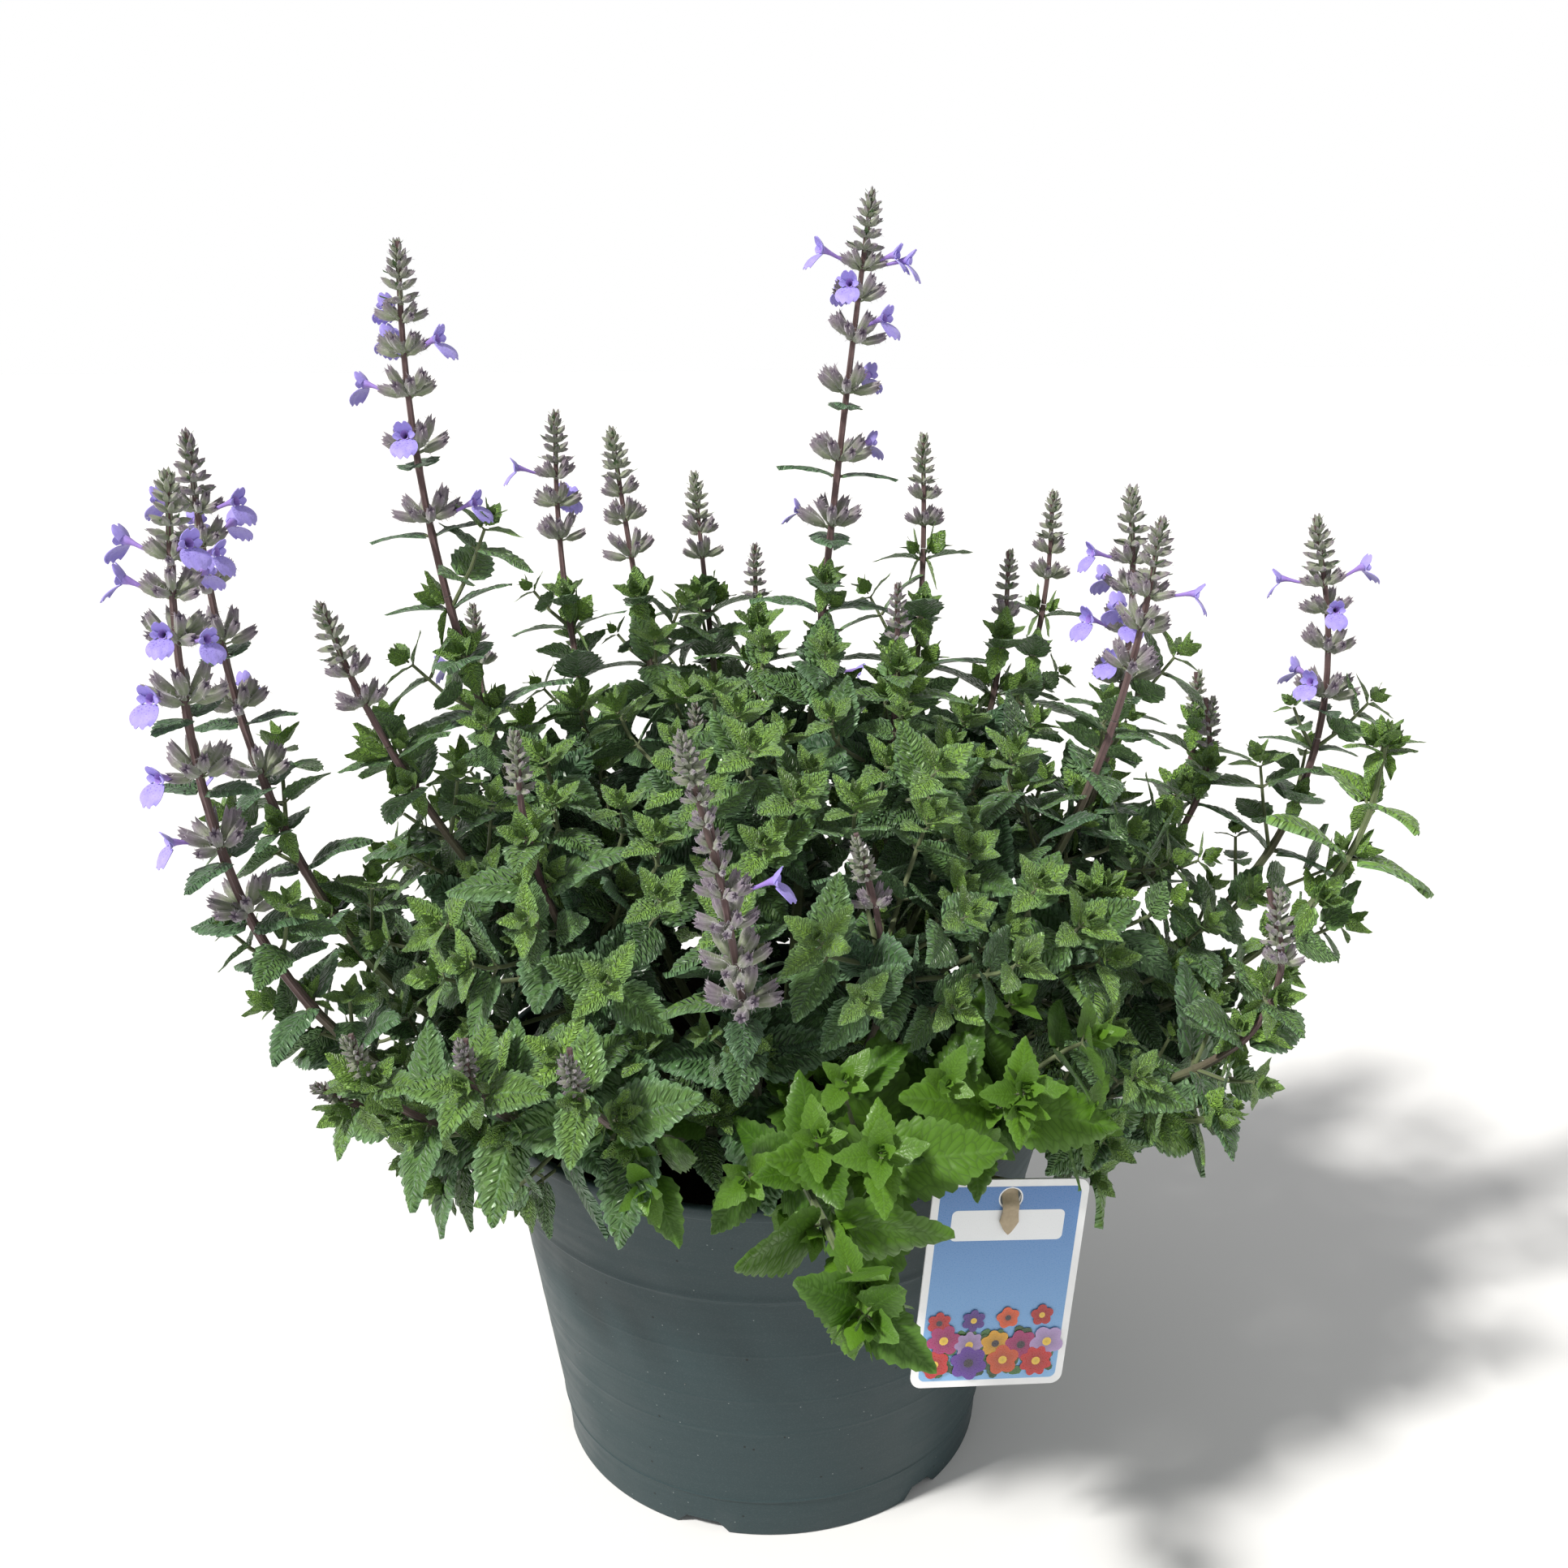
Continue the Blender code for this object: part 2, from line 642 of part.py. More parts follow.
def leaf_tries(route, at, face, length, draw):
    """The same leaf, then the same leaf swung, lifted and shortened, until one fits."""
    where, along, side = route.at(at)
    spoke = side * math.cos(face * math.pi / 2) + along.cross(side) * math.sin(face * math.pi / 2)
    for trial in range(LEAF_TRIES):
        swing = draw.uniform(-0.14, 0.14) * (1 + trial * 0.25)
        lift = LEAF_LIFT + draw.uniform(-0.1, 0.1) * (1 + trial * 0.35)
        shorter = 1.0 - 0.02 * trial
        heading = spoke * math.cos(swing) + along.cross(spoke) * math.sin(swing)
        heading = (heading + along * lift).normalized()
        droop = draw.uniform(0.35, 0.8)
        yield Leaf(where, heading, along, length * shorter, droop, LEAF_FOLD, at, face)


def leafy_places(stem, route):
    """Arc lengths of the leaf pairs and the size of each pair's leaves, from the soil up."""
    places = []
    end = route.total - stem.spike - 5 * MM if stem.spike else route.total - 3 * MM
    s = HOLE_DEPTH + FIRST_NODE
    while s < end - 6 * MM:
        rise = (s - HOLE_DEPTH) / (end - HOLE_DEPTH)
        size = 0.78 + 0.5 * math.sin(math.pi * min(rise * 0.95, 1.0)) - 0.18 * rise
        places.append([s, LEAF_LENGTH * size * stem.leaf])
        s += NODE_SPACING * (1.0 - 0.25 * rise)
    places.append([end, LEAF_LENGTH * 0.62 * stem.leaf])
    if not stem.spike:
        places[-1][1] = LEAF_LENGTH * 0.42 * stem.leaf
    return places


def grow():
    """Every node of the plant with the organs it is made of."""
    thicket = Thicket()
    rim = RIM_RADIUS + MM
    thicket.add_mesh("pot", *turned_wall(((COLLAR_RADIUS - 4 * MM, COLLAR_Z), (rim, POT_HEIGHT + MM),
                                          (rim - 6 * MM, POT_HEIGHT + MM), (rim - 8 * MM, SOIL_TOP))))
    thicket.add_mesh("soil", *turned_wall(((MM, SOIL_TOP + 1.5 * MM), (rim - 8 * MM, SOIL_TOP + 1.5 * MM))))
    thicket.add_mesh("label", *card_keepout())
    nodes = {}
    routes = {}
    for stem, root in zip(STEMS, root_places()):
        route = Route(stem_path(stem, root))
        routes[stem.name] = route
        spray = "spray_" + stem.name
        nodes[spray] = []
        joint = route.total
        if stem.coloured:
            nodes["spike_" + stem.name] = []
            joint = route.total - stem.spike
        add_stretch(thicket, nodes, spray, route, 0.0, joint - 0.5 * FIT)
        if stem.coloured:
            add_stretch(thicket, nodes, "spike_" + stem.name, route, joint + 0.5 * FIT, route.total)
    for index, stem in enumerate(STEMS):
        node = ("spike_" if stem.coloured else "spray_") + stem.name
        draw = random.Random(SEED * 100 + index)
        for organ in spike_organs(stem, routes[stem.name], draw):
            if isinstance(organ, (Flower, Leaf)) and thicket.hits(organ, node, nodes[node]):
                continue
            nodes[node].append(organ)
            thicket.add(node, organ)
    for index, stem in enumerate(STEMS):
        node = "spray_" + stem.name
        draw = random.Random(SEED * 1000 + index)
        route = routes[stem.name]
        first_face = draw.randrange(2)
        for rank, (s, length) in enumerate(reversed(leafy_places(stem, route)[-LEAF_PAIRS:])):
            mates = []
            for half_turn in (0, 2):
                face = (first_face + rank + half_turn) % 4
                for leaf in leaf_tries(route, s, face, length * draw.uniform(0.92, 1.08), draw):
                    if not thicket.hits(leaf, node, mates):
                        nodes[node].append(leaf)
                        thicket.add(node, leaf)
                        mates.append(leaf)
                        break
    return nodes, routes


def add_stretch(thicket, nodes, node, route, start, end):
    """The bare stem between two arc lengths, through the path's own points."""
    places = [start] + [s for s in route.lengths if start + 3 * MM < s < end - 3 * MM] + [end]
    points = [route.at(s)[0] for s in places]
    radii = [route.radius(s) for s in places]
    stretch = Stretch(points, radii, route.at(start)[2], start, end)
    nodes[node].append(stretch)
    thicket.add(node, stretch)


# One body for each node: rings up the stem, with leaves, whorls and the head grown out of them

def node_body(route, organs):
    """Points and faces of a node's stem with its leaves, whorls and head, all one surface."""
    stretch = organs[0]
    leaves = [organ for organ in organs if isinstance(organ, Leaf)]
    whorls = [organ for organ in organs if isinstance(organ, Whorl)]
    heads = [organ for organ in organs if isinstance(organ, Head)]
    top = heads[0].at if heads else stretch.end
    places = [(stretch.start, None), (top, None)]
    for at in sorted({leaf.at for leaf in leaves}):
        places += [(at - NODE_HALF, None), (at + NODE_HALF, None)]
    for whorl in whorls:
        places += [(whorl.at - WHORL_BELOW, None), (whorl.at, whorl), (whorl.at + WHORL_ABOVE, None)]
    fixed = [at for at, _ in places]
    for at in route.lengths:
        if stretch.start < at < top and min(abs(at - other) for other in fixed) > BODY_ROW:
            places.append((at, None))
    places.sort(key=lambda place: place[0])
    verts = []
    rows = []
    for at, whorl in places:
        rows.append(numbered_ring(verts, star_ring(whorl) if whorl else square_ring(route, at)))
    faces = [tuple(number for _, number in reversed(rows[0]))]
    for (low_at, _), (high_at, _), low, high in zip(places, places[1:], rows, rows[1:]):
        sprung = [leaf for leaf in leaves if low_at < leaf.at < high_at and high_at - low_at < 3 * NODE_HALF]
        if sprung:
            faces += node_faces(verts, low, high, {leaf.face: leaf for leaf in sprung})
        else:
            faces += sleeve(low, high)
    if heads:
        rings, tip = head_rings(heads[0])
        for ring in rings:
            row = numbered_ring(verts, ring)
            faces += sleeve(rows[-1], row)
            rows.append(row)
        verts.append(tip)
        faces += fan(rows[-1], len(verts) - 1)
    else:
        faces.append(tuple(number for _, number in rows[-1]))
    return verts, faces


def square_ring(route, at):
    """The four corners of the stem; its flat faces lie toward the side vector and a quarter turn on."""
    where, along, side = route.at(at)
    other = along.cross(side)
    ring = []
    for k in range(4):
        turn = math.pi * (0.5 * k + 0.25)
        ring.append((turn, where + (side * math.cos(turn) + other * math.sin(turn)) * route.radius(at)))
    return ring


def node_faces(verts, low, high, leaves):
    """The stem's four faces between two close rings, where a leaf springs from those it is given for."""
    faces = []
    for face in range(4):
        right = (face + 3) % 4
        corners = (low[right][1], low[face][1], high[face][1], high[right][1])
        leaf = leaves.get(face)
        if leaf is None:
            faces.append(corners)
            continue
        sides, tip = leaf_points(leaf)
        blade, (at_right, at_left, above, below) = blade_faces(verts, sides, tip)
        faces += blade
        ring = (below, at_left, above, at_right)
        for k in range(4):
            n = (k + 1) % 4
            faces.append((corners[k], corners[n], ring[k]))
            faces.append((corners[n], ring[n], ring[k]))
    return faces


def make_node(name, route, organs, surface):
    """One closed body, with the open flowers united to it."""
    body = add_object(name, *node_body(route, organs), surface)
    group = bpy.data.collections.new(name + "_flowers")
    flowers = [organ for organ in organs if isinstance(organ, Flower)]
    parts = []
    for i, flower in enumerate(flowers):
        part = add_object("%s_flower_%d" % (name, i), *flower_mesh(flower), surface)
        group.objects.link(part)
        parts.append(part)
    if parts:
        union = body.modifiers.new("Join", "BOOLEAN")
        union.operation = "UNION"
        union.solver = "MANIFOLD"
        union.operand_type = "COLLECTION"
        union.collection = group
        apply_modifiers(body)
    for part in parts:
        bpy.data.objects.remove(part, do_unlink=True)
    bpy.data.collections.remove(group)


def apply_modifiers(item):
    """Replace the object's mesh by its evaluated one and drop its modifiers."""
    graph = bpy.context.evaluated_depsgraph_get()
    graph.update()
    result = bpy.data.meshes.new_from_object(item.evaluated_get(graph))
    old = item.data
    item.modifiers.clear()
    item.data = result
    bpy.data.meshes.remove(old)


# Pot, soil and label

def pot_profile():
    """Outer side from the top down, then the underside and the inner side back up to the rim."""
    inner = WALL
    top_inner = RIM_RADIUS - RIM_LIP
    step_z = COLLAR_Z + 1.6 * MM
    return (
        (RIM_RADIUS - 0.9 * MM, POT_HEIGHT),
        (RIM_RADIUS, POT_HEIGHT - 1.2 * MM),
        (RIM_RADIUS - 0.4 * MM, POT_HEIGHT - 4.0 * MM),
        (RIM_RADIUS - 2.0 * MM, POT_HEIGHT - 5.2 * MM),
        (COLLAR_RADIUS + COLLAR_STEP, step_z),
        (COLLAR_RADIUS, COLLAR_Z),
        (BASE_LINE_RADIUS, BASE_LINE_Z),
        (FOOT_RADIUS, 0.0),
        (FOOT_RADIUS - FOOT_WIDTH, 0.0),
        (FOOT_RADIUS - FOOT_WIDTH - 1 * MM, FLOOR_Z - 2 * MM),
        (PAD_RADIUS + 2 * MM, FLOOR_Z - 2 * MM),
        (PAD_RADIUS, 0.0),
        (0.0, 0.0),
        (0.0, FLOOR_Z),
        (BASE_LINE_RADIUS - inner - 2 * MM, FLOOR_Z),
        (COLLAR_RADIUS - inner, step_z),
        (top_inner, POT_HEIGHT),
    )


def turned_mesh(profile, segments):
    """A closed body turned round Z from a closed profile; points on the axis are shared."""
    verts = []
    rings = []
    for radius, z in profile:
        if radius < 1e-9:
            rings.append([len(verts)] * segments)
            verts.append((0.0, 0.0, z))
            continue
        rings.append([len(verts) + k for k in range(segments)])
        for k in range(segments):
            turn = 2 * math.pi * k / segments
            verts.append((radius * math.cos(turn), radius * math.sin(turn), z))
    faces = []
    for i, ring in enumerate(rings):
        lower = rings[(i + 1) % len(rings)]
        for k in range(segments):
            n = (k + 1) % segments
            face = []
            for corner in (ring[k], lower[k], lower[n], ring[n]):
                if corner not in face:
                    face.append(corner)
            if len(face) > 2:
                faces.append(tuple(face))
    return verts, faces


def box_mesh(middle, half):
    verts = []
    for x in (-1, 1):
        for y in (-1, 1):
            for z in (-1, 1):
                verts.append((middle[0] + x * half[0], middle[1] + y * half[1], middle[2] + z * half[2]))
    faces = [(0, 1, 3, 2), (4, 6, 7, 5), (0, 4, 5, 1), (2, 3, 7, 6), (0, 2, 6, 4), (1, 5, 7, 3)]
    return verts, faces


def cut(item, cutters, name):
    """Cut the cutters out of an object and remove them."""
    group = bpy.data.collections.new(name)
    for cutter in cutters:
        group.objects.link(cutter)
    difference = item.modifiers.new("Cut", "BOOLEAN")
    difference.operation = "DIFFERENCE"
    difference.solver = "EXACT"
    difference.operand_type = "COLLECTION"
    difference.collection = group
    apply_modifiers(item)
    for cutter in cutters:
        bpy.data.objects.remove(cutter, do_unlink=True)
    bpy.data.collections.remove(group)


def smooth(item, angle=40):
    item.data.shade_smooth()
    item.data.set_sharp_from_angle(angle=math.radians(angle))


def make_pot(surface):
    pot = add_object("pot", *turned_mesh(pot_profile(), POT_SEGMENTS), surface)
    notches = []
    for k in range(FOOT_NOTCHES):
        turn = 2 * math.pi * (k + NOTCH_TURN) / FOOT_NOTCHES
        half = (NOTCH_DEPTH, NOTCH_WIDTH * 0.5, NOTCH_HEIGHT)
        notch = add_object("notch_%d" % k, *box_mesh((0, 0, 0), half), surface)
        notch.location = ((FOOT_RADIUS - 0.5 * FOOT_WIDTH) * math.cos(turn),
                          (FOOT_RADIUS - 0.5 * FOOT_WIDTH) * math.sin(turn), 0.0)
        notch.rotation_euler = (0, 0, turn)
        notches.append(notch)
    bpy.context.view_layer.update()
    cut(pot, notches, "notches")
    smooth(pot)


def make_soil(surface, routes):
    """The soil fills the pot to just below the rim, crumbly on top, with a square hole for each stem."""
    draw = random.Random(SEED)
    inner = WALL + FIT
    edge = COLLAR_RADIUS + (RIM_RADIUS - COLLAR_RADIUS) * (SOIL_TOP - COLLAR_Z) / (POT_HEIGHT - COLLAR_Z)
    profile = (
        (0.0, SOIL_TOP),
        (0.34 * edge, SOIL_TOP),
        (0.68 * edge, SOIL_TOP),
        (edge - inner - 3.2 * MM, SOIL_TOP - MM),
        (COLLAR_RADIUS - inner - 0.8 * MM, COLLAR_Z),
        (BASE_LINE_RADIUS - inner - 0.8 * MM, BASE_LINE_Z),
        (BASE_LINE_RADIUS - inner - 3 * MM, FLOOR_Z + FIT),
        (0.0, FLOOR_Z + FIT),
    )
    verts, faces = turned_mesh(profile, SOIL_SEGMENTS)
    verts = [(x, y, z - draw.uniform(0, SOIL_LUMP) if z > SOIL_TOP - 1.5 * MM else z) for x, y, z in verts]
    soil = add_object("soil", verts, faces, surface)
    holes = []
    for name, route in routes.items():
        foot = route.path[0]
        half = route.radius(0.0) * math.sqrt(0.5) + HOLE_PLAY
        middle = (foot.x, foot.y, foot.z - FIT + HOLE_DEPTH)
        holes.append(add_object("hole_" + name, *box_mesh(middle, (half, half, HOLE_DEPTH)), surface))
    cut(soil, holes, "holes")


def rounded_rectangle(width, height, corner, steps=3):
    """Outline points of a rectangle with round corners, its top middle at the origin."""
    points = []
    for cx, cy, start in ((1, 0, 0), (-1, 0, 90), (-1, -1, 180), (1, -1, 270)):
        x = cx * (width * 0.5 - corner)
        y = -corner if cy == 0 else -height + corner
        for i in range(steps + 1):
            turn = math.radians(start + 90 * i / steps)
            points.append((x + corner * math.cos(turn), y + corner * math.sin(turn)))
    return points


def make_card(surface):
    right, up, out = card_axes()
    outline = rounded_rectangle(CARD_WIDTH, CARD_HEIGHT, CARD_CORNER)
    count = len(outline)
    verts = []
    for depth in (0.0, -CARD_THICK):
        for x, y in outline:
            verts.append(CARD_TOP + right * x + up * y + out * depth)
    faces = [tuple(range(count)), tuple(reversed(range(count, 2 * count)))]
    for k in range(count):
        n = (k + 1) % count
        faces.append((k, count + k, count + n, n))
    card = add_object("label_card", verts, faces, surface)
    hole = []
    sides = CARD_HOLE_SIDES
    for depth in (-3 * MM, 3 * MM):
        for k in range(sides):
            turn = 2 * math.pi * k / sides
            hole.append(card_hole() + out * depth
                        + (right * math.cos(turn) + up * math.sin(turn)) * CARD_HOLE_RADIUS)
    faces = [tuple(reversed(range(sides))), tuple(range(sides, 2 * sides))]
    for k in range(sides):
        n = (k + 1) % sides
        faces.append((k, n, sides + n, sides + k))
    cut(card, [add_object("card_hole", hole, faces, surface)], "card_cut")


def card_hole():
    """The middle of the hole in the card's front face."""
    _, up, _ = card_axes()
    return CARD_TOP - up * CARD_HOLE_DROP


def make_strap(surface):
    """A flat strap: a pointed tongue in front of the card, through its hole, and hooked over the rim."""
    right, up, out = card_axes()
    hole = card_hole()
    back = CARD_THICK + 1.0 * MM
    inward = Vector((-hole.x, -hole.y, 0)).normalized()
    radial = Vector((hole.x, hole.y)).length
    crest = hole + inward * (radial - RIM_RADIUS + 1 * MM)
    crest.z = POT_HEIGHT + 1.6 * MM
    inside = crest + inward * 7 * MM
    route = (
        hole - up * STRAP_TONGUE + out * 0.9 * MM,
        hole - up * 2.4 * MM + out * 1.3 * MM,
        hole + up * 0.8 * MM - out * back,
        hole + up * 4.5 * MM - out * (back + 1.0 * MM),
        crest - inward * 3.0 * MM + Vector((0, 0, 1.2 * MM)),
        crest,
        inside,
        Vector((inside.x, inside.y, SOIL_TOP + 2.5 * MM)) + inward * 1.5 * MM,
    )
    verts = []
    faces = []
    for i, point in enumerate(route):
        ahead = route[min(i + 1, len(route) - 1)] - route[max(i - 1, 0)]
        thick = ahead.normalized().cross(right).normalized() * STRAP_THICK * 0.5
        half = right * (STRAP_WIDTH * 0.5 if i else 0.5 * MM)
        verts += [point - half - thick, point + half - thick, point + half + thick, point - half + thick]
    for i in range(len(route) - 1):
        for k in range(4):
            a = i * 4 + k
            b = i * 4 + (k + 1) % 4
            faces.append((a, b, b + 4, a + 4))
    faces.append((3, 2, 1, 0))
    end = 4 * (len(route) - 1)
    faces.append((end, end + 1, end + 2, end + 3))
    add_object("label_strap", verts, faces, surface)


def build():
    clear_scene()
    make_pot(material("pot_plastic", (0.055, 0.085, 0.090), 0.42))
    leaf_green = material("leaf_green", (0.060, 0.150, 0.040), 0.60)
    bright_green = material("young_green", (0.110, 0.270, 0.035), 0.50)
    spike_purple = material("spike_purple", (0.130, 0.090, 0.130), 0.70)
    nodes, routes = grow()
    make_soil(material("soil_dark", (0.020, 0.014, 0.010), 0.95), routes)
    make_card(material("card_white", (0.42, 0.58, 0.80), 0.35))
    make_strap(material("strap_tan", (0.50, 0.42, 0.30), 0.50))
    for name, organs in nodes.items():
        surface = leaf_green
        if name.startswith("spike_"):
            surface = spike_purple
        if name in ("spray_front_bright", "spray_front_hanging", "spray_label_side"):
            surface = bright_green
        make_node(name, routes[name.split("_", 1)[1]], organs, surface)


build()
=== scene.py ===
"""The catmint's looks: fine leaves, flowers, stems, pot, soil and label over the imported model."""

import math
import random
from collections import namedtuple
from itertools import combinations

import bpy
import numpy as np
from mathutils import Matrix, Vector
from mathutils.bvhtree import BVHTree


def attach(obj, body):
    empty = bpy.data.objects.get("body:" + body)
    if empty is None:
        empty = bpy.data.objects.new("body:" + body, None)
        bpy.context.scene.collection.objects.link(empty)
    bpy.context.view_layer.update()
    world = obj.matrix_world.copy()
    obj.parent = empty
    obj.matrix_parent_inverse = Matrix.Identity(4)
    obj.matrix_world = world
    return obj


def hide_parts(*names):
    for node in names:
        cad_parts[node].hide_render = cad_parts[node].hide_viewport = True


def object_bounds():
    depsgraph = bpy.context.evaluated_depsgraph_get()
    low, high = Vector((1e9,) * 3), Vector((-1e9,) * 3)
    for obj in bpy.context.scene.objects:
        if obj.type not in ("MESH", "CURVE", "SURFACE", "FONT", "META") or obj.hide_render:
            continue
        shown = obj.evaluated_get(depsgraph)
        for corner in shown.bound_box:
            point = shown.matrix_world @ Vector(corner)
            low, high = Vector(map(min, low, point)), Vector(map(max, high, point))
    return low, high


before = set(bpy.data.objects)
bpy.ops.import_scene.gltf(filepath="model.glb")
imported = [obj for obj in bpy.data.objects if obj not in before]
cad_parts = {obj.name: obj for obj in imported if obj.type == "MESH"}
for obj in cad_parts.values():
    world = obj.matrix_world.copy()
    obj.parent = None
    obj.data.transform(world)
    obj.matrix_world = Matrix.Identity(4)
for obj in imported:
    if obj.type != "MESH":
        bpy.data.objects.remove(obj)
cad_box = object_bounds()

# The plant's layout, the same rules and sizes as the solids have

MM = 0.001
FIT = 0.3 * MM

# Pot: a turned shell with a flared collar and a notched foot ring
POT_HEIGHT = 160 * MM
RIM_RADIUS = 115 * MM
RIM_LIP = 3.2 * MM
COLLAR_Z = 115 * MM
COLLAR_RADIUS = 103 * MM
COLLAR_STEP = 1.2 * MM
BASE_LINE_Z = 17 * MM
BASE_LINE_RADIUS = 88.4 * MM
FOOT_RADIUS = 86.8 * MM
FOOT_WIDTH = 5 * MM
FLOOR_Z = 6 * MM
WALL = 1.6 * MM
PAD_RADIUS = 12 * MM
FOOT_NOTCHES = 6
NOTCH_WIDTH = 14 * MM
NOTCH_HEIGHT = 4.5 * MM
NOTCH_TURN = 0.2

# Soil: a filled body with a plain hole for each stem
SOIL_TOP = 147 * MM
HOLE_DEPTH = 12 * MM

# Label: a card that hangs on a strap hooked over the rim
CARD_WIDTH = 55 * MM
CARD_HEIGHT = 80 * MM
CARD_THICK = 0.8 * MM
CARD_CORNER = 4 * MM
CARD_TOP = Vector((0.0818, -0.1142, 0.1709))
CARD_TURN = math.radians(9.5)
CARD_LEAN = math.radians(1.5)
CARD_ROLL = math.radians(-5.5)
CARD_HOLE_DROP = 7 * MM
CARD_HOLE_RADIUS = 3.8 * MM
STRAP_WIDTH = 6.0 * MM
STRAP_THICK = 1.0 * MM
STRAP_TONGUE = 13 * MM

# Plant: what every stem, leaf and flower is measured from
STEM_BASE_RADIUS = 2.3 * MM
STEM_TIP_RADIUS = 0.95 * MM
STEM_STRAIGHT = 4 * MM
ROOT_SPACING = 11 * MM
ROOT_ROUNDS = 200
ROOT_SPREAD = 0.33
CROWN_RADIUS = 70 * MM
NODE_SPACING = 27 * MM
FIRST_NODE = 26 * MM
LEAF_PAIRS = 3
STEM_SEGMENT = 34 * MM
LEAF_LENGTH = 38 * MM
LEAF_WIDTH_RATIO = 0.60
LEAF_THICK = 1.2 * MM
LEAF_FOLD = 0.22
LEAF_LIFT = 0.42
LEAF_TRIES = 18
STALK_HALF = 0.9 * MM
MIDRIB_STEPS = 8
BROAD_LEAF = 40 * MM
CALYX_LENGTH = 10 * MM
WHORL_POINTS = 5
WHORL_LIFT = 5.5 * MM
FIRST_GAP = 11 * MM
WIDEST_GAP = 25 * MM
GAP_GROWTH = 1.32
BRACT_GAP = 21 * MM
BRACT_BELOW = 5.5 * MM
BRACT_FOLD = 0.18
BRACT_DROOP = 0.35
FLOWER_CHANCE = 0.75
FLOWER_LENGTH = 13 * MM
HEAD_LENGTH = 20 * MM
HEAD_RADIUS = 6.5 * MM
WHORL_BELOW = 2.2 * MM
WHORL_ABOVE = 3.4 * MM
CLEARANCE = 0.4 * MM
SEED = 7

